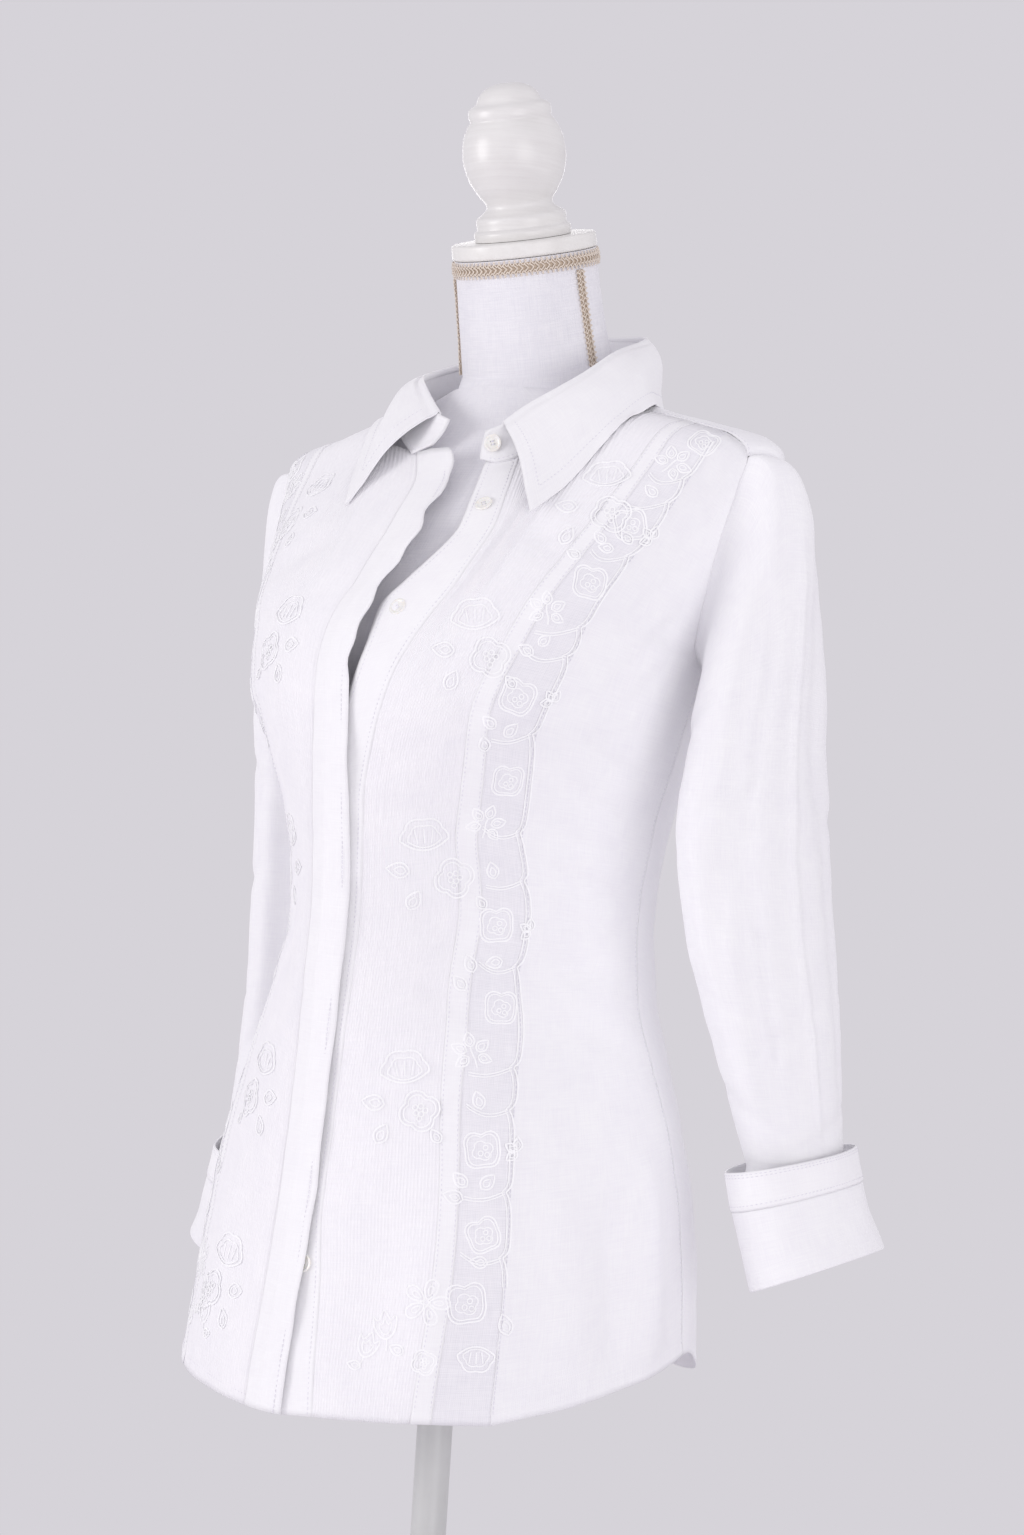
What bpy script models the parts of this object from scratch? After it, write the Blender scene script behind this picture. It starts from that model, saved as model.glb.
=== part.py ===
"""Embroidered women's shirt with turned-up cuffs, worn by a limbless dress form on a stand.

Metres, +Z up. The origin is the centre of the base's underside, on the pole's axis.
The garment faces -Y, and the wearer's left side is +X.
"""
import math

import bmesh
import bpy
import numpy as np
from mathutils import Matrix, Vector

# Cloth and seams
CLOTH = 0.0012            # wall of every sewn cloth piece
STIFF = 0.0015            # interlined pieces: collar, fly placket, cuff bands
SEAM = 0.0003             # gap between two sewn pieces
TUCKS = 35                # pintucks in each front
TUCK_HEIGHT = 0.0005      # how far a tuck stands off the cloth
INNER_COLUMNS = 8         # columns of the plain inside of a tucked panel
FLY_LIFT = 0.0042         # free edge of the fly placket above the body line, over the buttons

# Stand
BASE_RADIUS = 0.170
BASE_HEIGHT = 0.018
HUB_RADIUS = 0.026
HUB_HEIGHT = 0.045
POLE_RADIUS = 0.0115
FORM_CLEARANCE = 0.0003
NECK_TILT = math.radians(16.0)

# Body of the shirt, by height: half width at the side line, front and back depth,
# the side line's own place, and the roundness of the front and back curve
BODY_ROWS = (
    (0.660, 0.160, -0.178, 0.178, 0.004, 2.00, 2.0),
    (0.720, 0.158, -0.170, 0.174, 0.004, 2.00, 2.0),
    (0.776, 0.157, -0.158, 0.170, 0.004, 2.00, 2.0),
    (0.823, 0.154, -0.150, 0.160, 0.004, 1.95, 2.0),
    (0.868, 0.146, -0.145, 0.146, 0.004, 1.90, 2.0),
    (0.915, 0.132, -0.141, 0.135, 0.004, 1.80, 2.0),
    (0.950, 0.121, -0.139, 0.128, 0.005, 1.70, 2.0),
    (1.005, 0.116, -0.137, 0.123, 0.006, 1.55, 2.0),
    (1.060, 0.122, -0.140, 0.122, 0.008, 1.65, 2.1),
    (1.100, 0.132, -0.1425, 0.123, 0.010, 1.90, 2.2),
    (1.140, 0.142, -0.141, 0.124, 0.013, 2.35, 2.2),
    (1.170, 0.149, -0.134, 0.125, 0.017, 2.35, 2.2),
    (1.200, 0.160, -0.120, 0.123, 0.021, 2.40, 2.2),
    (1.230, 0.169, -0.101, 0.119, 0.025, 2.30, 2.2),
    (1.255, 0.178, -0.082, 0.114, 0.028, 2.20, 2.1),
    (1.275, 0.187, -0.064, 0.109, 0.030, 2.10, 2.0),
    (1.290, 0.193, -0.050, 0.105, 0.031, 2.00, 2.0),
    (1.300, 0.194, -0.041, 0.102, 0.032, 2.00, 2.0),
    (1.309, 0.184, -0.034, 0.099, 0.032, 2.00, 2.0),
    (1.318, 0.150, -0.028, 0.096, 0.032, 2.00, 2.0),
    (1.327, 0.110, -0.023, 0.093, 0.033, 2.00, 2.0),
    (1.336, 0.080, -0.019, 0.090, 0.034, 2.00, 2.0),
    (1.345, 0.068, -0.016, 0.087, 0.035, 2.00, 2.0),
    (1.362, 0.062, -0.014, 0.084, 0.035, 2.00, 2.0),
)

# Dress form under the shirt, in the same columns
FORM_ROWS = (
    (0.760, 0.139, -0.116, 0.118, 0.004, 2.0, 2.0),
    (0.820, 0.144, -0.116, 0.126, 0.004, 2.0, 2.0),
    (0.870, 0.138, -0.112, 0.124, 0.004, 2.0, 2.0),
    (0.930, 0.120, -0.104, 0.112, 0.004, 2.0, 2.0),
    (1.005, 0.104, -0.096, 0.094, 0.006, 2.0, 2.0),
    (1.060, 0.110, -0.104, 0.098, 0.008, 2.0, 2.0),
    (1.100, 0.122, -0.116, 0.106, 0.010, 2.1, 2.0),
    (1.140, 0.137, -0.126, 0.112, 0.013, 2.4, 2.1),
    (1.170, 0.146, -0.124, 0.116, 0.017, 2.4, 2.1),
    (1.200, 0.154, -0.112, 0.115, 0.021, 2.3, 2.1),
    (1.230, 0.163, -0.094, 0.112, 0.025, 2.2, 2.1),
    (1.255, 0.171, -0.076, 0.107, 0.028, 2.1, 2.0),
    (1.275, 0.178, -0.058, 0.102, 0.030, 2.0, 2.0),
    (1.290, 0.178, -0.044, 0.098, 0.031, 2.0, 2.0),
    (1.300, 0.178, -0.036, 0.095, 0.032, 1.8, 1.8),
    (1.3080, 0.172, -0.029, 0.092, 0.032, 1.6, 1.6),
    (1.3160, 0.1480, -0.023, 0.090, 0.032, 1.6, 1.6),
    (1.3246, 0.1080, -0.019, 0.088, 0.033, 1.6, 1.6),
    (1.3344, 0.0785, -0.016, 0.086, 0.034, 1.7, 1.7),
    (1.340, 0.055, -0.015, 0.085, 0.035, 2.0, 2.0),
)

# The right shoulder of the form and the shirt sits lower: drop, and where it starts and is full
SHOULDER_DROP = 0.009
DROP_FROM = 0.052
DROP_FULL = 0.130
DROP_LOW = 1.080
DROP_HIGH = 1.290

# Neck of the form above the collar: distance up the tilted neck line, radius
NECK_FOOT = (0.0, 0.041, 1.347)
NECK_ROWS = ((0.012, 0.0495), (0.036, 0.0477), (0.064, 0.0465), (0.087, 0.0462))
NECK_FOOT_RING = (0.037, 0.052, 0.050)     # centre's depth, half width and half depth where the neck meets the form
CAP_EDGE = (0.0010, 0.0015)                # rounding of the cap's lower and upper edge
BRAID_BELOW_CAP = 0.0004
NECK_BRAID_ANGLES = (-6.0, 212.0)
NECK_BRAID_WIDTH = 0.008
NECK_BRAID_MIDDLE = 0.05
NECK_BRAID_FOOT = 0.013
NECK_BRAID_GAP = 0.0012
BRAID_EDGE = 0.6                           # share of the braid's thickness at its edges
CAP_RADIUS = 0.0472
CAP_HEIGHT = 0.010
BRAID_WIDTH = 0.0105
BRAID_DEPTH = 0.0020

# Turned finial: height above the neck cap, radius
FINIAL_PROFILE = (
    (0.0000, 0.0312), (0.0050, 0.0316), (0.0068, 0.0300), (0.0080, 0.0292), (0.0140, 0.0290),
    (0.0170, 0.0252), (0.0200, 0.0218), (0.0235, 0.0220), (0.0290, 0.0258), (0.0380, 0.0306),
    (0.0480, 0.0331), (0.0560, 0.0333), (0.0660, 0.0316), (0.0735, 0.0280), (0.0760, 0.0262),
    (0.0785, 0.0268), (0.0830, 0.0264), (0.0850, 0.0244), (0.0870, 0.0212), (0.0920, 0.0186),
    (0.0960, 0.0140), (0.0985, 0.0070), (0.0990, 0.0),
)

# Rows of every body panel, as a share of the way from the hem to the panel's top
LEVELS = (0.0, 0.085, 0.175, 0.265, 0.35, 0.43, 0.505, 0.58, 0.655, 0.73, 0.80, 0.865, 0.925, 0.97, 1.0)
UNDERARM_ROW = 10         # the row where the side seam becomes the armhole
YOKE_BACK_HEIGHT = 1.252

# Lines of the fronts: height, the left placket's free edge and seam, and the fly's free edge
FRONT_ROWS = (
    (0.700, 0.012, 0.040, 0.0200),
    (0.773, 0.002, 0.030, 0.0180),
    (0.835, -0.007, 0.021, 0.0170),
    (1.000, -0.007, 0.021, 0.0150),
    (1.070, -0.004, 0.023, 0.0150),
    (1.105, 0.002, 0.029, 0.0150),
    (1.140, 0.011, 0.038, 0.0120),
    (1.170, 0.0165, 0.048, 0.0100),
    (1.188, 0.0170, 0.056, 0.0130),
    (1.207, 0.0280, 0.064, 0.0200),
    (1.242, 0.0460, 0.070, 0.0230),
    (1.268, 0.0400, 0.064, 0.0210),
    (1.292, 0.0320, 0.056, 0.0040),
)
FLY_WIDTH = 0.028         # width of the fly placket
FLY_LAP = 0.0020          # how far the fly lies on the tucked panel

# Sheer strip of the left front: height, its inner and outer edge from the centre line
STRIP_ROWS = (
    (0.700, 0.1015, 0.1250),
    (0.775, 0.1010, 0.1225),
    (0.830, 0.0970, 0.1180),
    (0.915, 0.0845, 0.1050),
    (0.980, 0.0770, 0.0930),
    (1.045, 0.0765, 0.0925),
    (1.100, 0.0870, 0.1040),
    (1.140, 0.0985, 0.1190),
    (1.187, 0.1130, 0.1325),
    (1.225, 0.1255, 0.1455),
    (1.267, 0.1385, 0.1600),
    (1.316, 0.1480, 0.1720),
)
BAND_WIDTH = 0.009        # plain band between the tucks and the sheer strip

# Hem: angle from the centre front in degrees, height
HEM_ROWS = ((0.0, 0.700), (25.0, 0.7035), (50.0, 0.7045), (70.0, 0.7080), (90.0, 0.7240),
            (108.0, 0.7350), (130.0, 0.7150), (150.0, 0.7060), (180.0, 0.7040))
RIGHT_HEM_RISE = 0.007    # how much higher the right front's hem sits midway
SIDE_SEAM_SHARE = 108.0   # the side seam's angle from the centre front at the hem

# Side seam and armhole: height and depth of the line on the front piece and the back piece
SIDE_ROWS = ((0.700, 0.056), (0.790, 0.048), (0.860, 0.040), (0.960, 0.030), (1.060, 0.030), (1.165, 0.036))
UNDERARM = 1.165
ARM_FRONT_ROWS = ((1.165, 0.036), (1.180, 0.018), (1.207, 0.0105), (1.2305, 0.0085), (1.2545, 0.0075),
                  (1.278, 0.0080), (1.2965, 0.0120))
ARM_BACK_ROWS = ((1.165, 0.036), (1.180, 0.050), (1.207, 0.062), (1.2305, 0.065), (1.262, 0.062))
ARM_REACH = 0.3           # share of the back over which its columns bend to the armhole
YOKE_FRONT_Y = 0.012      # front yoke seam, ahead of the shoulder ridge
YOKE_ROWS = 7
YOKE_GAP = 0.0008         # gap of the front yoke seam, where two curves meet

# Neck seam on the left front, from the placket to the yoke, as x and y on the body
NECK_LEFT = ((0.063, -0.036), (0.072, -0.020), (0.080, -0.004), (0.084, 0.012))
NECK_BACK = ((0.0835, 0.030), (0.078, 0.050), (0.064, 0.070), (0.038, 0.0845), (0.013, 0.0890))
YOKE_STATIONS = (0.100, 0.120)    # stations of the front yoke seam between the neck and the band
TUCK_BEND_ROW = 9         # above this row the tucked panel's rows bend up to the neck seam
NECK_SEAM_TOP = (1.287, 1.297)    # top of the left placket at its free edge and at its seam
NECK_SEAM_TOP_RIGHT = 1.292       # top of the fly placket

# Sleeves: height, centre, half width and half depth of the hanging tube
LEFT_SLEEVE_ROWS = (
    (1.120, 0.190, 0.040, 0.0320, 0.0600),
    (1.065, 0.192, 0.0385, 0.0355, 0.0680),
    (1.005, 0.1975, 0.044, 0.0350, 0.0660),
    (0.955, 0.205, 0.052, 0.0330, 0.0580),
    (0.910, 0.212, 0.059, 0.0290, 0.0500),
    (0.862, 0.220, 0.066, 0.0240, 0.0410),
)
RIGHT_SLEEVE_ROWS = (
    (1.120, 0.185, 0.050, 0.0290, 0.0550),
    (1.055, 0.184, 0.056, 0.0290, 0.0550),
    (1.000, 0.186, 0.059, 0.0290, 0.0540),
    (0.950, 0.190, 0.062, 0.0285, 0.0520),
    (0.892, 0.197, 0.063, 0.0280, 0.0480),
    (0.822, 0.210, 0.063, 0.0240, 0.0420),
)
SLEEVE_HEAD_ROWS = 5
SLEEVE_COLUMNS = 20
FOLD_FADE = 0.050         # length over which a fold fades at its ends

# Lengthwise folds of the sleeves: angle from the outer side in degrees (front negative), its slant in
# degrees per metre down, top and bottom height, half width in degrees, and depth (troughs negative)
LEFT_FOLDS = (
    (-30.0, -150.0, 1.230, 0.990, 20.0, -0.0065),
    (-38.0, -60.0, 1.120, 0.880, 18.0, -0.0050),
    (-8.0, 0.0, 1.240, 0.870, 14.0, 0.0040),
    (70.0, 60.0, 1.220, 0.930, 22.0, -0.0060),
    (150.0, 0.0, 1.140, 0.900, 24.0, -0.0060),
)
RIGHT_FOLDS = (
    (-42.0, 80.0, 1.210, 0.960, 20.0, -0.0050),
    (-8.0, 0.0, 1.230, 0.840, 14.0, 0.0040),
    (55.0, -60.0, 1.180, 0.880, 22.0, -0.0060),
    (150.0, 0.0, 1.120, 0.900, 24.0, -0.0050),
)
ARMHOLE_OUTWARD = (1.0, 0.0, 0.25)          # direction in which a sleeve leaves its armhole
ARMHOLE_GAP = 0.0006
ARMHOLE_INSET = 0.0012
HEAD_LEAVE = (0.030, 0.090)                # pull outward at the underarm, and what the head's top adds
HEAD_DIP = 0.02
HEAD_ARRIVE = (0.05, 0.17)                 # pull downward at the underarm, and what the head's top adds
CUFF_START = 0.004                         # in from the sleeve's last ring, and up from it
CUFF_STEPS = 12
CUFF_BACKWARD = 0.10
CUFF_SLACK = 0.0006
CUFF_JOIN = ((0.18, 0.75), (0.5, 0.25), (1.0, 0.0))   # share of the drop, part of the sleeve's narrower ring
CUFF_LEAN = (math.radians(11.0), math.radians(22.0))   # outward lean at the cuff's top and at its fold
CUFF_DROP = 0.070                 # height of the turned-up cuff
CUFF_BAND = 0.023                 # width of the band sewn to the sleeve's end
CUFF_HALF = (0.0330, 0.0565)      # half width and half depth of the turned-up cuff
CUFF_FLARE = 0.05         # how much wider the cuff is at its fold

# Collar stations from the left front round the back to the right front:
# neck seam x, y, z; fold x, y, z; leaf edge x, y, z
COLLAR_ROWS = (
    ((0.0440, -0.0530, 1.2850), (0.0440, -0.0500, 1.3110), (0.0930, -0.0800, 1.2530)),
    ((0.0580, -0.0460, 1.2890), (0.0540, -0.0400, 1.3225), (0.1010, -0.0560, 1.2720)),
    ((0.0700, -0.0240, 1.3170), (0.0660, -0.0260, 1.3345), (0.1070, -0.0360, 1.2930)),
    ((0.0800, -0.0040, 1.3290), (0.0740, -0.0080, 1.3470), (0.1130, -0.0140, 1.3140)),
    ((0.0840, 0.0180, 1.3345), (0.0770, 0.0180, 1.3630), (0.1130, 0.0110, 1.3290)),
    ((0.0800, 0.0440, 1.3370), (0.0750, 0.0460, 1.3730), (0.0930, 0.0440, 1.3330)),
    ((0.0680, 0.0660, 1.3360), (0.0620, 0.0720, 1.3800), (0.0740, 0.0760, 1.3330)),
    ((0.0400, 0.0835, 1.3370), (0.0370, 0.0920, 1.3840), (0.0430, 0.1010, 1.3290)),
    ((0.0000, 0.0895, 1.3370), (0.0000, 0.1000, 1.3850), (0.0000, 0.1120, 1.3260)),
    ((-0.0400, 0.0835, 1.3370), (-0.0370, 0.0920, 1.3820), (-0.0430, 0.1010, 1.3290)),
    ((-0.0680, 0.0660, 1.3360), (-0.0620, 0.0720, 1.3750), (-0.0760, 0.0760, 1.3330)),
    ((-0.0800, 0.0440, 1.3370), (-0.0720, 0.0440, 1.3650), (-0.0920, 0.0440, 1.3330)),
    ((-0.0840, 0.0180, 1.3345), (-0.0710, 0.0160, 1.3560), (-0.0970, 0.0130, 1.3320)),
    ((-0.0780, -0.0060, 1.3270), (-0.0610, -0.0060, 1.3480), (-0.0910, -0.0080, 1.3210)),
    ((-0.0600, -0.0280, 1.3140), (-0.0430, -0.0220, 1.3360), (-0.0780, -0.0400, 1.2940)),
    ((-0.0300, -0.0475, 1.2920), (-0.0180, -0.0390, 1.3200), (-0.0560, -0.0780, 1.2570)),
)
# Free ends of the stand beyond the leaf, left then right: foot and brim
STAND_ENDS = (((0.0330, -0.0575, 1.2885), (0.0350, -0.0560, 1.3060)),
              ((-0.0120, -0.0510, 1.2990), (-0.0060, -0.0430, 1.3160)))
STAND_SEAT = 0.0027       # foot of the stand above the body line, clear of the tucks
LEAF_ROWS = 4
LEAF_BULGE = 0.004        # how far the leaf rolls off the straight line from fold to edge

# Buttons: size, the one on the stand, and the height and x of those on the placket
BUTTON_RADIUS = 0.0057
BUTTON_THICKNESS = 0.0016
BUTTON_SEAT = 0.0004      # gap under a button
STAND_BUTTON = (1.2975, 0.0400)
BUTTON_PLACES = ((1.2560, 0.0550), (1.1880, 0.0310), (1.0880, 0.0060), (0.9880, 0.0060), (0.8890, 0.0085),
                 (0.7890, 0.0160))

WHITE = (0.90, 0.90, 0.93)
SHEER_WHITE = (0.84, 0.84, 0.88)
LINEN = (0.83, 0.83, 0.86)
PAINT = (0.87, 0.85, 0.82)
CREAM = (0.72, 0.65, 0.55)
SHELL = (0.88, 0.86, 0.80)
STEEL_PAINT = (0.80, 0.80, 0.80)


def clear_scene():
    """Remove whatever the scene holds."""
    for thing in list(bpy.data.objects):
        bpy.data.objects.remove(thing, do_unlink=True)


def material(name, colour, roughness, metallic=0.0):
    """A plain finish for one object."""
    mat = bpy.data.materials.new(name)
    mat.use_nodes = True
    shader = mat.node_tree.nodes["Principled BSDF"]
    shader.inputs["Base Color"].default_value = (*colour, 1.0)
    shader.inputs["Roughness"].default_value = roughness
    shader.inputs["Metallic"].default_value = metallic
    return mat


def table(rows, where):
    """Smooth reading of a table whose first column is the place: one array of the others."""
    data = np.array(rows, dtype=float)
    if data[0, 0] > data[-1, 0]:
        data = data[::-1]
    places = data[:, 0]
    values = data[:, 1:]
    where = min(max(where, places[0]), places[-1])
    steps = np.diff(places)[:, None]
    slopes = np.diff(values, axis=0) / steps
    inner = np.where(slopes[1:] * slopes[:-1] > 0.0,
                     2.0 * slopes[1:] * slopes[:-1] / (slopes[1:] + slopes[:-1] + 1e-12), 0.0)
    tangents = np.vstack([slopes[:1], inner, slopes[-1:]])
    k = min(int(np.searchsorted(places, where, side="right")) - 1, len(places) - 2)
    width = places[k + 1] - places[k]
    s = (where - places[k]) / width
    return ((2 * s**3 - 3 * s**2 + 1) * values[k] + (s**3 - 2 * s**2 + s) * width * tangents[k]
            + (3 * s**2 - 2 * s**3) * values[k + 1] + (s**3 - s**2) * width * tangents[k + 1])


def body_point(turn, height, rows=BODY_ROWS):
    """Point of a body section: turn 0 is the centre front, a quarter turn the left side line."""
    half, front, back, side, front_power, back_power = table(rows, height)
    sine = math.sin(turn)
    cosine = math.cos(turn)
    power = front_power if cosine >= 0.0 else back_power
    depth = side - front if cosine >= 0.0 else back - side
    x = half * math.copysign(abs(sine) ** (2.0 / power), sine)
    y = side - depth * math.copysign(abs(cosine) ** (2.0 / power), cosine)
    return np.array((x, y, height))


def turn_at_x(x, height):
    """Turn of the front point at a distance from the centre line."""
    half, front, back, side, power, back_power = table(BODY_ROWS, height)
    share = min(abs(x) / half, 1.0)
    return math.copysign(math.asin(share ** (power / 2.0)), x)


def turn_at_y(y, height, rows=BODY_ROWS):
    """Turn of the left side's point at a depth."""
    half, front, back, side, front_power, back_power = table(rows, height)
    if y < side:
        share = min((side - y) / (side - front), 1.0)
        return math.acos(share ** (front_power / 2.0))
    share = min((y - side) / (back - side), 1.0)
    return math.pi - math.acos(share ** (back_power / 2.0))


def body_normal(turn, height):
    """Outward direction of the body at a point."""
    step_turn = 0.01
    step_up = 0.002
    across = body_point(turn + step_turn, height) - body_point(turn - step_turn, height)
    up = body_point(turn, height + step_up) - body_point(turn, height - step_up)
    normal = np.cross(across, up)
    return normal / (np.linalg.norm(normal) + 1e-12)


def height_over(x, y):
    """Height of the shoulder's top surface over a point of the plan."""
    low = 1.20
    high = 1.36
    for _ in range(40):
        middle = 0.5 * (low + high)
        half, front, back, side, front_power, back_power = table(BODY_ROWS, middle)
        power = front_power if y < side else back_power
        depth = side - front if y < side else back - side
        inside = (abs(x) / half) ** power + (abs(y - side) / depth) ** power < 1.0
        if inside:
            low = middle
        else:
            high = middle
    return low


def hem_height(degrees):
    """Height of the curved hem at an angle from the centre front, positive to the wearer's left."""
    rise = 0.0
    if -SIDE_SEAM_SHARE < degrees < 0.0:
        rise = RIGHT_HEM_RISE * math.sin(math.pi * degrees / -SIDE_SEAM_SHARE)
    return float(table(HEM_ROWS, abs(degrees))[0]) + rise


def grid_normals(points, closed=False):
    """Outward normals of a grid of points, rows first."""
    if closed:
        across = np.roll(points, -1, axis=1) - np.roll(points, 1, axis=1)
    else:
        across = np.gradient(points, axis=1)
    along = np.gradient(points, axis=0)
    normals = np.cross(across, along)
    return normals / (np.linalg.norm(normals, axis=2, keepdims=True) + 1e-12)


def add_object(name, mesh, collection, mat, smooth=35.0):
    """Link a finished mesh as one named object with its own finish."""
    mesh.materials.clear()
    mesh.materials.append(mat)
    mesh.shade_smooth()
    mesh.set_sharp_from_angle(angle=math.radians(smooth))
    thing = bpy.data.objects.new(name, mesh)
    collection.objects.link(thing)
    return thing


def solid_between(name, inside, outside, collection, mat, closed=False):
    """Closed wall between an inside and an outside grid of equal size."""
    rows, columns = outside.shape[:2]
    bm = bmesh.new()
    skins = []
    for grid in (inside, outside):
        skins.append([[bm.verts.new(grid[r, c]) for c in range(columns)] for r in range(rows)])
    inner, outer = skins
    spans = columns if closed else columns - 1
    for r in range(rows - 1):
        for c in range(spans):
            d = (c + 1) % columns
            bm.faces.new((outer[r][c], outer[r][d], outer[r + 1][d], outer[r + 1][c]))
            bm.faces.new((inner[r][c], inner[r + 1][c], inner[r + 1][d], inner[r][d]))
    for c in range(spans):
        d = (c + 1) % columns
        bm.faces.new((outer[0][c], inner[0][c], inner[0][d], outer[0][d]))
        bm.faces.new((outer[-1][c], outer[-1][d], inner[-1][d], inner[-1][c]))
    if not closed:
        for r in range(rows - 1):
            bm.faces.new((outer[r][0], outer[r + 1][0], inner[r + 1][0], inner[r][0]))
            bm.faces.new((outer[r][-1], inner[r][-1], inner[r + 1][-1], outer[r + 1][-1]))
    return finish_mesh(name, bm, collection, mat)


def shoulder_drop(point):
    """How far a point sinks with the wearer's right shoulder, which hangs lower than the left."""
    across = min(max((-point[0] - DROP_FROM) / (DROP_FULL - DROP_FROM), 0.0), 1.0)
    up = min(max((point[2] - DROP_LOW) / (DROP_HIGH - DROP_LOW), 0.0), 1.0)
    return SHOULDER_DROP * across * up * up * (3.0 - 2.0 * up)


def finish_mesh(name, bm, collection, mat):
    """Make the faces consistent and pointing out, and link the object."""
    for vert in bm.verts:
        vert.co.z -= shoulder_drop(vert.co)
    bmesh.ops.recalc_face_normals(bm, faces=bm.faces)
    if bm.calc_volume(signed=True) < 0.0:
        bmesh.ops.reverse_faces(bm, faces=bm.faces)
    mesh = bpy.data.meshes.new(name)
    bm.to_mesh(mesh)
    bm.free()
    return add_object(name, mesh, collection, mat)


def stitch_faces(bm, first, second):
    """Faces between two open rows of vertices that start and end together."""
    i = 0
    j = 0
    while i < len(first) - 1 or j < len(second) - 1:
        ahead_first = (i + 1) / (len(first) - 1)
        ahead_second = (j + 1) / (len(second) - 1)
        if j == len(second) - 1 or (i < len(first) - 1 and ahead_first <= ahead_second):
            bm.faces.new((first[i], first[i + 1], second[j]))
            i += 1
        else:
            bm.faces.new((first[i], second[j + 1], second[j]))
            j += 1


def ribbed_solid(name, inside, outside, collection, mat):
    """Closed wall whose outside has more columns than its plain inside."""
    bm = bmesh.new()
    outer = [[bm.verts.new(point) for point in row] for row in outside]
    inner = [[bm.verts.new(point) for point in row] for row in inside]
    for skin in (outer, inner):
        for r in range(len(skin) - 1):
            for c in range(len(skin[0]) - 1):
                bm.faces.new((skin[r][c], skin[r][c + 1], skin[r + 1][c + 1], skin[r + 1][c]))
    stitch_faces(bm, outer[0], inner[0])
    stitch_faces(bm, outer[-1], inner[-1])
    for side in (0, -1):
        for r in range(len(outer) - 1):
            bm.faces.new((outer[r][side], outer[r + 1][side], inner[r + 1][side], inner[r][side]))
    return finish_mesh(name, bm, collection, mat)


def panel_grid(left, right, columns, margin=0.5 * SEAM):
    """Turns and heights of a panel between two seam lines of equal length, inset by half a seam."""
    grid = []
    for (turn_a, height_a), (turn_b, height_b) in zip(left, right):
        span = np.linalg.norm(body_point(turn_b, height_b) - body_point(turn_a, height_a))
        inset = margin / max(span, 4.0 * margin)
        row = []
        for c in range(columns + 1):
            share = inset + (1.0 - 2.0 * inset) * c / columns
            row.append((turn_a + (turn_b - turn_a) * share, height_a + (height_b - height_a) * share))
        grid.append(row)
    return grid


def raised(grid, lift):
    """Points of a panel's places, moved out from the body; lift is a number or a function of share."""
    rows = []
    for row in grid:
        points = []
        for c, (turn, height) in enumerate(row):
            amount = lift(c / (len(row) - 1)) if callable(lift) else lift
            points.append(body_point(turn, height) + body_normal(turn, height) * amount)
        rows.append(points)
    return np.array(rows)


def seam_line(rows, column, top, hem_degrees, sign=1.0):
    """Points of a front seam from the hem up to its top height, in the rows of the panels."""
    bottom = hem_height(hem_degrees * sign)
    line = []
    for share in LEVELS:
        height = bottom + (top - bottom) * share
        x = float(table(rows, height)[column]) * sign
        line.append((turn_at_x(x, height), height))
    return line


def side_line(sign, arm_rows, top):
    """Side seam up to the underarm, then one edge of the armhole up to the yoke."""
    bottom = hem_height(SIDE_SEAM_SHARE)
    line = []
    for k, share in enumerate(LEVELS):
        if k <= UNDERARM_ROW:
            height = bottom + (UNDERARM - bottom) * share / LEVELS[UNDERARM_ROW]
            y = float(table(SIDE_ROWS, height)[0])
        else:
            part = (share - LEVELS[UNDERARM_ROW]) / (1.0 - LEVELS[UNDERARM_ROW])
            height = UNDERARM + (top - UNDERARM) * part
            y = float(table(arm_rows, height)[0])
        line.append((sign * turn_at_y(y, height), height))
    return line


def build_front_lines(sign):
    """Every seam line of one front: placket or fly seam, band, strip edges and side."""
    strip_in_top = height_over(0.148, YOKE_FRONT_Y)
    strip_out_top = height_over(0.172, YOKE_FRONT_Y)
    band_top = height_over(0.148 - BAND_WIDTH, YOKE_FRONT_Y)
    band_rows = [(row[0], row[1] - BAND_WIDTH) for row in STRIP_ROWS]
    lines = {
        "band": seam_line(band_rows, 0, band_top, 33.0, sign),
        "strip_in": seam_line(STRIP_ROWS, 0, strip_in_top, 38.0, sign),
        "strip_out": seam_line(STRIP_ROWS, 1, strip_out_top, 46.0, sign),
        "side": side_line(sign, ARM_FRONT_ROWS, ARM_FRONT_ROWS[-1][0]),
    }
    if sign > 0.0:
        lines["placket"] = seam_line(FRONT_ROWS, 1, NECK_SEAM_TOP[1], 14.0)
    else:
        fly_seam = [(row[0], row[3] - FLY_WIDTH + FLY_LAP) for row in FRONT_ROWS]
        lines["placket"] = seam_line(fly_seam, 0, NECK_SEAM_TOP_RIGHT, -4.0)
    return lines


def neck_line(sign, start, end):
    """Top edge of the tucked panel as a function of share: the neck seam, then the yoke seam."""
    points = [start]
    for x, y in NECK_LEFT:
        points.append(np.array((x * sign, y, height_over(x, y))))
    for x in YOKE_STATIONS:
        points.append(np.array((x * sign, YOKE_FRONT_Y, height_over(x, YOKE_FRONT_Y))))
    points.append(end)
    lengths = [0.0]
    for a, b in zip(points[:-1], points[1:]):
        lengths.append(lengths[-1] + float(np.linalg.norm(b - a)))
    shares = np.array(lengths) / lengths[-1]
    data = np.array(points)

    def at(share):
        return np.array([np.interp(share, shares, data[:, axis]) for axis in range(3)])

    return at


def on_body(point):
    """The point of the body on the line from its inner axis through a near point."""
    centre = np.array((point[0] * 0.5, 0.035, min(point[2], 1.27) - 0.01))
    direction = point - centre
    return surface_from(centre, direction / np.linalg.norm(direction))


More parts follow.
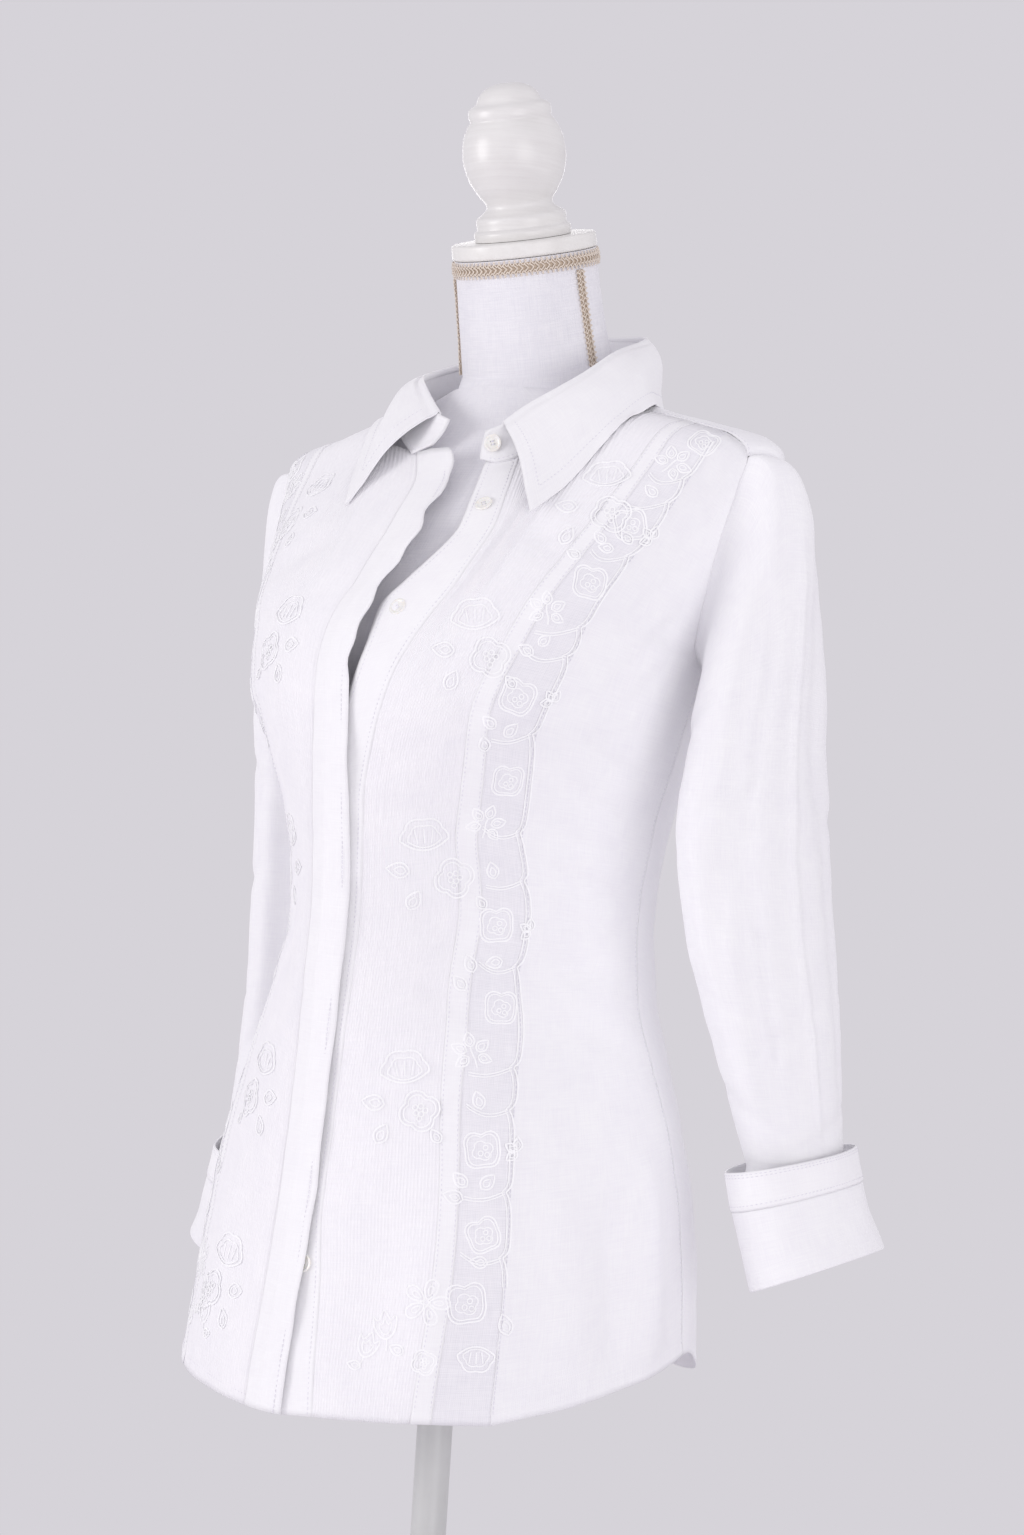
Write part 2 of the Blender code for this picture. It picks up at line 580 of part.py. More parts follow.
def tucked_grid(inner, outer, columns, sign):
    """Points and normals of the tucked panel; above the bust its rows bend up to the neck seam."""
    places = panel_grid(inner, outer, columns)
    points = raised(places, 0.0)
    start = points[-1, 0]
    end = points[-1, -1]
    top = neck_line(sign, start, end)
    base = TUCK_BEND_ROW
    span = LEVELS[-1] - LEVELS[base]
    left = points[:, 0].copy()
    right = points[:, -1].copy()
    for r in range(base + 1, len(places)):
        w = (LEVELS[r] - LEVELS[base]) / span
        first = left[base] + (start - left[base]) * w
        last = right[base] + (end - right[base]) * w
        for c in range(1, columns):
            share = c / columns
            point = points[base, c] * (1.0 - w) + top(share) * w
            point = point + (left[r] - first) * (1.0 - share) + (right[r] - last) * share
            points[r, c] = on_body(point)
    normals = np.array([[gradient_normal(point) for point in row] for row in points])
    return points, normals


def front_side(sign, word, collection, finishes):
    """All the flat-sewn pieces of one front except its placket."""
    lines = build_front_lines(sign)
    inside, normals = tucked_grid(lines["placket"], lines["band"], INNER_COLUMNS, sign)
    outside, normals = tucked_grid(lines["placket"], lines["band"], 2 * TUCKS, sign)
    outside = outside + normals * CLOTH
    outside[:, 3:-2:2] += normals[:, 3:-2:2] * TUCK_HEIGHT
    ribbed_solid("front_tucked_" + word, inside, outside, collection, finishes["cloth"])
    pieces = (("front_band_", "band", "strip_in", 1, "cloth"),
              ("front_sheer_strip_", "strip_in", "strip_out", 3, "sheer"),
              ("front_outer_", "strip_out", "side", 9, "cloth"))
    for name, first, second, columns, finish in pieces:
        grid = panel_grid(lines[first], lines[second], columns)
        solid_between(name + word, raised(grid, 0.0), raised(grid, CLOTH), collection, finishes[finish])
    return lines


def plackets(collection, finishes):
    """The button placket on the left front, and the fly placket that closes over it."""
    edge = seam_line(FRONT_ROWS, 0, NECK_SEAM_TOP[0], 2.0)
    seam = seam_line(FRONT_ROWS, 1, NECK_SEAM_TOP[1], 14.0)
    grid = panel_grid(edge, seam, 3)
    left_outside = raised(grid, CLOTH)
    solid_between("placket_left", raised(grid, 0.0), left_outside, collection, finishes["cloth"])
    fly_seam = [(row[0], row[3] - FLY_WIDTH) for row in FRONT_ROWS]
    free = seam_line(FRONT_ROWS, 2, NECK_SEAM_TOP_RIGHT, 5.0)
    sewn = seam_line(fly_seam, 0, NECK_SEAM_TOP_RIGHT, -5.0)
    grid = panel_grid(sewn, free, 4)

    def lift(share):
        seat = CLOTH + SEAM
        return seat + (FLY_LIFT - seat) * min(1.0, share * 2.2)

    def lift_outside(share):
        return lift(share) + STIFF

    solid_between("placket_right_fly", raised(grid, lift), raised(grid, lift_outside),
                  collection, finishes["cloth"])
    return left_outside


def back_piece(collection, finishes):
    """The back below the yoke, from side seam to side seam."""
    left = side_line(1.0, ARM_BACK_ROWS, ARM_BACK_ROWS[-1][0])
    columns = 16
    grid = []
    for k, (turn, height) in enumerate(left):
        row = []
        steady = left[min(k, UNDERARM_ROW)][0]
        centre_bottom = hem_height(180.0)
        centre = centre_bottom + (YOKE_BACK_HEIGHT - centre_bottom) * LEVELS[k]
        inset = 0.5 * SEAM / 0.3
        for c in range(columns + 1):
            share = inset + (1.0 - 2.0 * inset) * c / columns
            near = max(0.0, 1.0 - share / ARM_REACH) - max(0.0, 1.0 - (1.0 - share) / ARM_REACH)
            at = steady + (2.0 * math.pi - 2.0 * steady) * share + (turn - steady) * near
            blend = 4.0 * share * (1.0 - share)
            if k == 0:
                z = hem_height(math.degrees(min(at, 2.0 * math.pi - at)))
            else:
                z = height + (centre - height) * blend
            row.append((at, z))
        grid.append(row)
    solid_between("back_panel", raised(grid, 0.0), raised(grid, CLOTH), collection, finishes["cloth"])
    return left


def implicit_inside(point):
    """Whether a point lies within the body of the shirt."""
    x, y, z = point
    half, front, back, side, front_power, back_power = table(BODY_ROWS, z)
    power = front_power if y < side else back_power
    depth = side - front if y < side else back - side
    return (abs(x) / half) ** power + (abs(y - side) / depth) ** power < 1.0


def surface_from(centre, direction):
    """Where a line from an inner point leaves the body."""
    low = 0.0
    high = 0.25
    for _ in range(36):
        middle = 0.5 * (low + high)
        if implicit_inside(centre + direction * middle):
            low = middle
        else:
            high = middle
    return centre + direction * low


def gradient_normal(point):
    """Outward direction of the body at a point near its surface."""
    step = 0.0004

    def value(p):
        half, front, back, side, front_power, back_power = table(BODY_ROWS, p[2])
        power = front_power if p[1] < side else back_power
        depth = side - front if p[1] < side else back - side
        return (abs(p[0]) / half) ** power + (abs(p[1] - side) / depth) ** power

    slope = []
    for axis in range(3):
        ahead = np.array(point, dtype=float)
        behind = np.array(point, dtype=float)
        ahead[axis] += step
        behind[axis] -= step
        slope.append(value(ahead) - value(behind))
    slope = np.array(slope)
    return slope / (np.linalg.norm(slope) + 1e-12)


def fan(centre, first, last, count):
    """Points on the body between two points, spread by angle about an inner point."""
    a = first - centre
    b = last - centre
    a = a / np.linalg.norm(a)
    b = b / np.linalg.norm(b)
    angle = math.acos(max(-1.0, min(1.0, float(np.dot(a, b)))))
    points = []
    for k in range(count + 1):
        share = k / count
        direction = (math.sin((1.0 - share) * angle) * a + math.sin(share * angle) * b) / math.sin(angle)
        points.append(surface_from(centre, direction / np.linalg.norm(direction)))
    return points


def yoke_centre(x):
    """Inner point about which a column of the yoke fans out."""
    return np.array((0.82 * x, 0.040, 1.258))


def yoke_back_point(x, end):
    """Point of the back yoke seam at a distance from the centre."""
    height = YOKE_BACK_HEIGHT + (end[2] - YOKE_BACK_HEIGHT) * (x / end[0]) ** 2
    half, front, back, side, front_power, power = table(BODY_ROWS, height)
    return np.array((x, side + (back - side) * (1.0 - (x / half) ** power) ** (1.0 / power), height))


def yoke_columns():
    """Columns of the left half of the yoke, from the armhole to the centre back."""
    arm_back = body_point(turn_at_y(ARM_BACK_ROWS[-1][1], ARM_BACK_ROWS[-1][0]), ARM_BACK_ROWS[-1][0])
    front_height = ARM_FRONT_ROWS[-1][0] + 0.3 * YOKE_GAP
    arm_front = body_point(turn_at_y(YOKE_FRONT_Y + YOKE_GAP, front_height), front_height)
    columns = [fan(yoke_centre(arm_front[0]), arm_back, arm_front, YOKE_ROWS)]
    for x in (0.172, 0.148, 0.124, 0.104, 0.090):
        y = YOKE_FRONT_Y + YOKE_GAP
        front = np.array((x, y, height_over(x, y)))
        back_x = x * (1.0 + (arm_back[0] / arm_front[0] - 1.0) * (x / arm_front[0]) ** 2)
        columns.append(fan(yoke_centre(x), yoke_back_point(back_x, arm_back), front, YOKE_ROWS))
    for x, y in NECK_BACK:
        neck = np.array((x, y, height_over(x, y)))
        columns.append(fan(yoke_centre(x), yoke_back_point(x, arm_back), neck, YOKE_ROWS))
    return columns


def yoke(collection, finishes):
    """The yoke over both shoulders and the upper back."""
    half = [np.array(column) for column in yoke_columns()]
    other = [column * np.array((-1.0, 1.0, 1.0)) for column in half[::-1]]
    columns = half + other
    grid = np.array(columns).transpose(1, 0, 2)
    grid = inset_grid(grid, 0.5 * SEAM)
    normals = np.array([[gradient_normal(point) for point in row] for row in grid])
    solid_between("yoke", grid, grid + normals * CLOTH, collection, finishes["cloth"])
    return half[0]


def inset_grid(grid, margin):
    """The same grid with its four edges drawn in by a margin."""
    result = grid.copy()
    edges = ((0, 1, 0), (-1, -2, 0), (0, 1, 1), (-1, -2, 1))
    for edge, inner, axis in edges:
        outer_line = np.take(result, edge, axis=axis)
        inner_line = np.take(result, inner, axis=axis)
        step = inner_line - outer_line
        step = step / (np.linalg.norm(step, axis=1, keepdims=True) + 1e-12) * margin
        if axis == 0:
            result[edge] = outer_line + step
        else:
            result[:, edge] = outer_line + step
    return result


def split_longest(ring, count):
    """A closed ring of points brought to a count by halving its longest sides."""
    points = list(ring)
    while len(points) < count:
        sides = [np.linalg.norm(points[(k + 1) % len(points)] - points[k]) for k in range(len(points))]
        k = int(np.argmax(sides))
        points.insert(k + 1, 0.5 * (points[k] + points[(k + 1) % len(points)]))
    return np.array(points)


def sleeve_folds(grid, angles, folds):
    """Sink or raise the rings of a sleeve along its lengthwise folds."""
    result = grid.copy()
    for row in result[1:]:
        centre = row.mean(axis=0)
        for j, angle in enumerate(angles):
            height = row[j][2]
            amount = 0.0
            for place, slant, high, low, width, depth in folds:
                length = max(0.0, min(1.0, (high - height) / FOLD_FADE, (height - low) / FOLD_FADE))
                gap = angle - math.radians(place + slant * (high - height))
                gap = (gap + math.pi) % (2.0 * math.pi) - math.pi
                amount += depth * length * math.exp(-(gap / math.radians(width)) ** 2)
            away = row[j] - centre
            away[2] = 0.0
            row[j] = row[j] + away / (np.linalg.norm(away) + 1e-9) * amount
    return result


def sleeve(sign, word, rows, folds, lines, collection, finishes):
    """One sleeve as a tube from the armhole to the fold at the cuff's lower edge."""
    front_side_line, back_side_line, yoke_edge = lines
    ring = []
    for turn, height in back_side_line[UNDERARM_ROW:]:
        ring.append(body_point(turn, height))
    for point in yoke_edge[1:-1]:
        ring.append(np.array(point))
    for turn, height in front_side_line[:UNDERARM_ROW:-1]:
        ring.append(body_point(abs(turn), height))
    ring = split_longest(ring, SLEEVE_COLUMNS)
    outward = np.array(ARMHOLE_OUTWARD)
    outward = outward / np.linalg.norm(outward)
    middle = ring.mean(axis=0)
    inward = middle - ring
    inward = inward / np.linalg.norm(inward, axis=1, keepdims=True)
    start = ring + outward * ARMHOLE_GAP + inward * ARMHOLE_INSET
    angles = np.arctan2(ring[:, 1] - middle[1], ring[:, 2] - middle[2])
    count = len(ring)
    sections = []
    lower = []
    for height, x, y, half_x, half_y in rows:
        lower.append([np.array((x + half_x * math.cos(a), y + half_y * math.sin(a), height)) for a in angles])
    shares = np.linspace(0.0, 1.0, SLEEVE_HEAD_ROWS + 1)
    for s in shares[:-1]:
        section = []
        for j in range(count):
            top_share = 0.5 + 0.5 * math.cos(angles[j])
            leave = outward * (HEAD_LEAVE[0] + HEAD_LEAVE[1] * top_share)
            leave[2] -= HEAD_DIP * (1.0 - top_share)
            arrive = np.array((0.0, 0.0, -HEAD_ARRIVE[0] - HEAD_ARRIVE[1] * top_share))
            a = 2 * s**3 - 3 * s**2 + 1
            b = s**3 - 2 * s**2 + s
            c = 3 * s**2 - 2 * s**3
            d = s**3 - s**2
            section.append(a * start[j] + b * leave + c * lower[0][j] + d * arrive)
        sections.append(section)
    sections.extend(lower)
    grid = sleeve_folds(np.array(sections), angles, folds)
    grid = np.concatenate([grid, cuff_rings(rows[-1], angles)], axis=0)
    grid[:, :, 0] *= sign
    normals = grid_normals(grid, closed=True)
    centre = grid.mean(axis=1, keepdims=True)
    if np.sum(normals * (grid - centre)) < 0.0:
        normals = -normals
    solid_between("sleeve_" + word, grid - normals * CLOTH, grid, collection, finishes["cloth"], closed=True)
    cuff(sign, word, rows[-1], angles, collection, finishes)


def cuff_place(last_row, share):
    """Centre of the cuff's line at a share of its drop, and the direction it runs there."""
    height, x, y, half_x, half_y = last_row
    place = np.array((x - CUFF_START, y, height + CUFF_START))
    for k in range(CUFF_STEPS):
        lean = CUFF_LEAN[0] + (CUFF_LEAN[1] - CUFF_LEAN[0]) * share * (k + 0.5) / CUFF_STEPS
        place = place + lean_direction(lean) * (CUFF_DROP * share / CUFF_STEPS)
    return place, lean_direction(CUFF_LEAN[0] + (CUFF_LEAN[1] - CUFF_LEAN[0]) * share)


def lean_direction(lean):
    """Downward direction that leans outward and a little back."""
    down = np.array((math.sin(lean), CUFF_BACKWARD, -math.cos(lean)))
    return down / np.linalg.norm(down)


def oval(last_row, share, inset, angles):
    """Ring of the cuff at a share of its drop, drawn in by an inset, in step with the sleeve."""
    centre, down = cuff_place(last_row, share)
    half_x = CUFF_HALF[0] * (1.0 + CUFF_FLARE * share) - inset
    half_y = CUFF_HALF[1] * (1.0 + CUFF_FLARE * share) - inset
    depth = np.array((0.0, 1.0, 0.0)) - down * down[1]
    depth = depth / np.linalg.norm(depth)
    width = np.cross(depth, -down)
    width = width / np.linalg.norm(width)
    if width[0] < 0.0:
        width = -width
    return [centre + width * half_x * math.cos(a) + depth * half_y * math.sin(a) for a in angles]


def cuff_rings(last_row, angles):
    """Rings of the sleeve inside its turned-up cuff, down to the fold."""
    slack = STIFF + SEAM + CUFF_SLACK
    narrow = 0.5 * (CUFF_HALF[0] - last_row[3] + CUFF_HALF[1] - last_row[4])
    rings = []
    for share, part in CUFF_JOIN:
        rings.append(oval(last_row, share, slack + (narrow - slack) * part, angles))
    return np.array(rings)


def cuff(sign, word, last_row, angles, collection, finishes):
    """The turned-back end of the sleeve and the band that ends it, at its top."""
    band_share = CUFF_BAND / CUFF_DROP
    gap = SEAM / CUFF_DROP
    pieces = (("cuff_band_", 0.0, band_share, STIFF, 2), ("cuff_turnback_", band_share + gap, 1.0, CLOTH, 3))
    for name, high, low, wall, steps in pieces:
        inner = []
        outer = []
        for k in range(steps + 1):
            share = high + (low - high) * k / steps
            inner.append(oval(last_row, share, STIFF, angles))
            outer.append(oval(last_row, share, STIFF - wall, angles))
        inner = np.array(inner)
        outer = np.array(outer)
        inner[:, :, 0] *= sign
        outer[:, :, 0] *= sign
        solid_between(name + word, inner, outer, collection, finishes["cloth"], closed=True)


def collar(collection, finishes):
    """The stand sewn to the neck seam, and the leaf that falls from its fold."""
    rows = np.array(COLLAR_ROWS)
    fine = []
    steps = 2
    for k in range(len(rows) - 1):
        p0 = rows[max(k - 1, 0)]
        p1 = rows[k]
        p2 = rows[k + 1]
        p3 = rows[min(k + 2, len(rows) - 1)]
        for j in range(steps):
            s = j / steps
            fine.append(0.5 * (2 * p1 + (p2 - p0) * s + (2 * p0 - 5 * p1 + 4 * p2 - p3) * s**2
                               + (3 * p1 - p0 - 3 * p2 + p3) * s**3))
    fine.append(rows[-1])
    fine = np.array(fine)
    seam = np.array([(x, y, height_over(x, y)) for x, y, z in fine[:, 0]])
    fold = fine[:, 1]
    edge = fine[:, 2]
    away = edge - fold
    away[:, 2] = 0.0
    away = away / np.linalg.norm(away, axis=1, keepdims=True)
    normals = np.array([gradient_normal(point) for point in seam])
    ends = np.array(STAND_ENDS)
    foot = np.vstack([ends[0, :1], seam + normals * STAND_SEAT, ends[1, :1]])
    brim = np.vstack([ends[0, 1:], fold, ends[1, 1:]])
    out = np.vstack([away[:1], away, away[-1:]])
    stand = np.array([foot, 0.5 * (foot + brim) - out * 0.0015, brim])
    solid_between("collar_stand", stand - out * STIFF, stand, collection, finishes["cloth"])
    leaf_inner = []
    for r in range(LEAF_ROWS + 1):
        share = r / LEAF_ROWS
        bulge = away * LEAF_BULGE * math.sin(math.pi * min(1.0, share * 1.25)) * (share < 0.8)
        up = np.array((0.0, 0.0, LEAF_BULGE * 1.3)) * math.sin(math.pi * share)
        line = fold + (edge - fold) * share + bulge + up + away * SEAM
        leaf_inner.append(line)
    leaf_inner = np.array(leaf_inner)
    leaf_inner[0] += np.array((0.0, 0.0, 0.0008))
    leaf_inner = clear_of_body(leaf_inner, CLOTH + 0.0010)
    normals = grid_normals(leaf_inner)
    if np.sum(normals[..., 2]) < 0.0:
        normals = -normals
    normals[0] = away
    solid_between("collar_leaf", leaf_inner, leaf_inner + normals * STIFF, collection, finishes["cloth"])
    return stand


def clear_of_body(grid, distance):
    """Lift the points of a grid that would lie closer to the body than a distance."""
    result = grid.copy()
    for r in range(grid.shape[0]):
        for c in range(grid.shape[1]):
            point = result[r, c]
            for _ in range(30):
                normal = gradient_normal(point)
                if not implicit_inside(point - normal * distance):
                    break
                point = point + normal * 0.0005
            result[r, c] = point
    return result


def on_wall(grid, x, height):
    """Point and outward normal on the flat facets of a wall's outer grid."""
    for r in range(grid.shape[0] - 1):
        for c in range(grid.shape[1] - 1):
            a, b = grid[r, c], grid[r, c + 1]
            d, e = grid[r + 1, c], grid[r + 1, c + 1]
            up = (height - a[2]) / (d[2] - a[2])
            low = a + (d - a) * up
            high = b + (e - b) * up
            across = (x - low[0]) / (high[0] - low[0])
            if 0.0 <= up <= 1.0 and 0.0 <= across <= 1.0:
                normal = np.cross(high - low, (d + e) - (a + b))
                return low + (high - low) * across, normal / np.linalg.norm(normal)
    raise ValueError("no facet there")


def button_lift(grid, point, normal):
    """How far a button stands off a point of a bent wall so that its whole underside is clear."""
    lift = 0.0
    shares = np.linspace(0.0, 1.0, 6)
    for r in range(grid.shape[0] - 1):
        for c in range(grid.shape[1] - 1):
            for s in shares:
                low = grid[r, c] + (grid[r, c + 1] - grid[r, c]) * s
                high = grid[r + 1, c] + (grid[r + 1, c + 1] - grid[r + 1, c]) * s
                for t in shares:
                    offset = low + (high - low) * t - point
                    rise = float(np.dot(offset, normal))
                    if np.linalg.norm(offset - normal * rise) < BUTTON_RADIUS and abs(rise) < BUTTON_RADIUS:
                        lift = max(lift, rise)
    return lift + BUTTON_SEAT


def buttons(stand_wall, left_placket, collection, finishes):
    """The button of the stand and those of the placket, each on its cloth."""
    places = [(stand_wall, STAND_BUTTON)] + [(left_placket, place) for place in BUTTON_PLACES]
    for number, (wall, (height, x)) in enumerate(places, start=1):
        point, normal = on_wall(wall, x, height)
        place = point + normal * button_lift(wall, point, normal)
        button("button_%d" % number, place, normal, collection, finishes["button"])


def button(name, point, normal, collection, mat):
    """A flat round button with a raised rim."""
    bm = bmesh.new()
    bmesh.ops.create_cone(bm, cap_ends=True, segments=16, radius1=BUTTON_RADIUS, radius2=BUTTON_RADIUS,
                          depth=BUTTON_THICKNESS)
    top = [face for face in bm.faces if face.normal.z > 0.9]
    bmesh.ops.inset_region(bm, faces=top, thickness=0.0010, depth=0.0)
    top = [face for face in bm.faces if face.normal.z > 0.9 and len(face.verts) > 4]
    for face in top:
        for vert in face.verts:
            vert.co.z -= 0.0005
    turn = Vector(normal).to_track_quat("Z", "Y").to_matrix().to_4x4()
    centre = Vector(point) + Vector(normal) * (0.5 * BUTTON_THICKNESS)
    bmesh.ops.transform(bm, matrix=Matrix.Translation(centre) @ turn, verts=bm.verts)
    finish_mesh(name, bm, collection, mat)


def loft(name, rings, collection, mat):
    """Closed solid through rings of equal count, with flat ends."""
    bm = bmesh.new()
    loops = [[bm.verts.new(point) for point in ring] for ring in rings]
    count = len(loops[0])
    for a, b in zip(loops[:-1], loops[1:]):
        for c in range(count):
            d = (c + 1) % count
            bm.faces.new((a[c], a[d], b[d], b[c]))
    bm.faces.new(loops[0][::-1])
    bm.faces.new(loops[-1])
    return finish_mesh(name, bm, collection, mat)


def form_torso(collection, finishes):
    """Padded torso of the form, without limbs, closed flat below over the pole."""
    segments = 24
    rings = []
    for row in FORM_ROWS:
        height = row[0]
        rings.append([body_point(2.0 * math.pi * k / segments, height, FORM_ROWS) for k in range(segments)])
    loft("form_torso", rings, collection, finishes["linen"])


def neck_matrix(distance):
    """Frame at a distance up the neck's tilted line."""
    foot = Matrix.Translation(Vector(NECK_FOOT)) @ Matrix.Rotation(NECK_TILT, 4, "X")
    return foot @ Matrix.Translation((0.0, 0.0, distance))


def form_neck(collection, finishes):
    """Neck, cap, braid ring and finial, all on the neck's tilted line."""
    segments = 28
    rings = []
    foot_ring = []
    for k in range(segments):
        angle = 2.0 * math.pi * k / segments
        foot_ring.append(np.array((NECK_FOOT_RING[1] * math.cos(angle),
                                   NECK_FOOT_RING[0] + NECK_FOOT_RING[2] * math.sin(angle),
                                   FORM_ROWS[-1][0] + FORM_CLEARANCE)))
    rings.append(foot_ring)
    for distance, radius in NECK_ROWS:
        frame = neck_matrix(distance)
        ring = []
        for k in range(segments):
            angle = 2.0 * math.pi * k / segments
            ring.append(np.array(frame @ Vector((radius * math.cos(angle), radius * math.sin(angle), 0.0))))
        rings.append(ring)
    loft("form_neck", rings, collection, finishes["linen"])
    top = NECK_ROWS[-1][0]
    low_edge, high_edge = CAP_EDGE
    cap = ((0.0, CAP_RADIUS - low_edge), (low_edge, CAP_RADIUS), (CAP_HEIGHT - high_edge, CAP_RADIUS),
           (CAP_HEIGHT, CAP_RADIUS - high_edge))
    turned("neck_cap", cap, top + SEAM, 40, collection, finishes["paint"])
    profile = [(height, radius) for height, radius in FINIAL_PROFILE]
    turned("finial", profile, top + CAP_HEIGHT + 2 * SEAM, 20, collection, finishes["paint"])
    braid_ring(top, collection, finishes)
    for name, angle in zip(("neck_braid_left", "neck_braid_right"), NECK_BRAID_ANGLES):
        neck_braid(name, math.radians(angle), top - BRAID_WIDTH - NECK_BRAID_GAP, collection, finishes)


def turned(name, profile, distance, segments, collection, mat):
    """A turned piece on the neck's line, from a profile of heights and radii."""
    outline = list(profile)
    if outline[-1][1] > 0.0:
        outline.append((outline[-1][0], 0.0))
    outline = [(outline[0][0], 0.0)] + outline
    outline = outline[::-1]
    bm = bmesh.new()
    verts = [bm.verts.new((radius, 0.0, height)) for height, radius in outline]
    for a, b in zip(verts[:-1], verts[1:]):
        bm.edges.new((a, b))
    mesh = bpy.data.meshes.new(name)
    bm.to_mesh(mesh)
    bm.free()
    thing = add_object(name, mesh, collection, mat)
    thing.matrix_world = neck_matrix(distance)
    screw = thing.modifiers.new("turn", "SCREW")
    screw.axis = "Z"
    screw.angle = 2.0 * math.pi
    screw.steps = segments
    screw.render_steps = segments
    screw.use_merge_vertices = True
    screw.merge_threshold = 0.00005
    return thing


def braid_ring(top, collection, finishes):
    """Gimp braid round the neck under its cap."""
    segments = 40
    inside = []
    outside = []
    for share in (0.0, 0.5, 1.0):
        distance = top - BRAID_BELOW_CAP - BRAID_WIDTH * (1.0 - share)
        radius = neck_radius(distance) + SEAM
        swell = BRAID_DEPTH * (BRAID_EDGE + (1.0 - BRAID_EDGE) * math.sin(math.pi * share))
        frame = neck_matrix(distance)
        inside.append([np.array(frame @ Vector((radius * math.cos(a), radius * math.sin(a), 0.0)))
                       for a in np.linspace(0.0, 2.0 * math.pi, segments, endpoint=False)])
        outside.append([np.array(frame @ Vector(((radius + swell) * math.cos(a), (radius + swell) * math.sin(a), 0.0)))
                        for a in np.linspace(0.0, 2.0 * math.pi, segments, endpoint=False)])
    solid_between("neck_braid_ring", np.array(inside), np.array(outside), collection, finishes["braid"],
                  closed=True)


def neck_radius(distance):
    """Radius of the neck at a distance up its line."""
    return float(np.interp(distance, [row[0] for row in NECK_ROWS], [row[1] for row in NECK_ROWS]))


def neck_braid(name, angle, high, collection, finishes):
    """Gimp braid that runs down the neck into the collar."""
    half_turn = 0.5 * NECK_BRAID_WIDTH / neck_radius(NECK_BRAID_MIDDLE)
    low = NECK_BRAID_FOOT
    steps = 6
    inside = []
    outside = []
    for k in range(steps + 1):
        distance = low + (high - low) * k / steps
        frame = neck_matrix(distance)
        radius = neck_radius(distance) + SEAM + BRAID_BELOW_CAP
        row_in = []
        row_out = []
        for side, swell in ((-1.0, BRAID_EDGE), (0.0, 1.0), (1.0, BRAID_EDGE)):
            a = angle + side * half_turn
            row_in.append(np.array(frame @ Vector((radius * math.cos(a), radius * math.sin(a), 0.0))))
            far = radius + BRAID_DEPTH * swell
            row_out.append(np.array(frame @ Vector((far * math.cos(a), far * math.sin(a), 0.0))))
        inside.append(row_in)
        outside.append(row_out)
    solid_between(name, np.array(inside), np.array(outside), collection, finishes["braid"])


def stand(collection, finishes):
    """Round base with a hub, and the pole up into the form."""
    upright("stand_base", ((0.0, BASE_RADIUS - 0.002), (0.002, BASE_RADIUS), (BASE_HEIGHT - 0.006, BASE_RADIUS),
                                  (BASE_HEIGHT - 0.002, BASE_RADIUS - 0.003), (BASE_HEIGHT, BASE_RADIUS - 0.008)),
                   0.0, 48, collection, finishes["paint"])
    upright("stand_hub", ((0.0, HUB_RADIUS), (0.004, HUB_RADIUS), (0.010, HUB_RADIUS - 0.007),
                          (HUB_HEIGHT - 0.004, POLE_RADIUS + 0.006), (HUB_HEIGHT, POLE_RADIUS + 0.004)),
            BASE_HEIGHT + SEAM, 28, collection, finishes["pole"])
    bottom = BASE_HEIGHT + HUB_HEIGHT + 2 * SEAM
    top = FORM_ROWS[0][0] - FORM_CLEARANCE
    upright("stand_pole", ((0.0, POLE_RADIUS), (top - bottom, POLE_RADIUS)), bottom, 24, collection,
            finishes["pole"])


def upright(name, profile, height, segments, collection, mat):
    """A turned piece on the pole's axis."""
    thing = turned(name, profile, 0.0, segments, collection, mat)
    thing.matrix_world = Matrix.Translation((0.0, 0.0, height))
    return thing


def main():
    """Build every piece."""
    clear_scene()
    collection = bpy.data.collections.new("embroidered_shirt_on_dress_form")
    bpy.context.scene.collection.children.link(collection)
    finishes = {
        "cloth": material("white_cotton", WHITE, 0.85),
        "sheer": material("sheer_white_cotton", SHEER_WHITE, 0.85),
        "linen": material("form_linen", LINEN, 0.9),
        "paint": material("painted_wood", PAINT, 0.35),
        "braid": material("cream_gimp_braid", CREAM, 0.9),
        "button": material("ivory_button", SHELL, 0.3),
        "pole": material("painted_steel", STEEL_PAINT, 0.4),
    }
    left = front_side(1.0, "left", collection, finishes)
    front_side(-1.0, "right", collection, finishes)
    left_placket = plackets(collection, finishes)
    back = back_piece(collection, finishes)
    edge = yoke(collection, finishes)
    lines = (left["side"], back, edge)
    sleeve(1.0, "left", LEFT_SLEEVE_ROWS, LEFT_FOLDS, lines, collection, finishes)
    sleeve(-1.0, "right", RIGHT_SLEEVE_ROWS, RIGHT_FOLDS, lines, collection, finishes)
    stand_wall = collar(collection, finishes)
    buttons(stand_wall, left_placket, collection, finishes)
    form_torso(collection, finishes)
    form_neck(collection, finishes)
    stand(collection, finishes)


main()
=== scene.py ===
"""Looks of the embroidered white shirt on its dress form: fine cloth, sewing, embroidery, braid and paint.

Metres, +Z up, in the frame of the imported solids. The shirt faces -Y; the wearer's left is +X.
"""

import math

import bmesh
import bpy
import numpy as np
from mathutils import Matrix, Vector


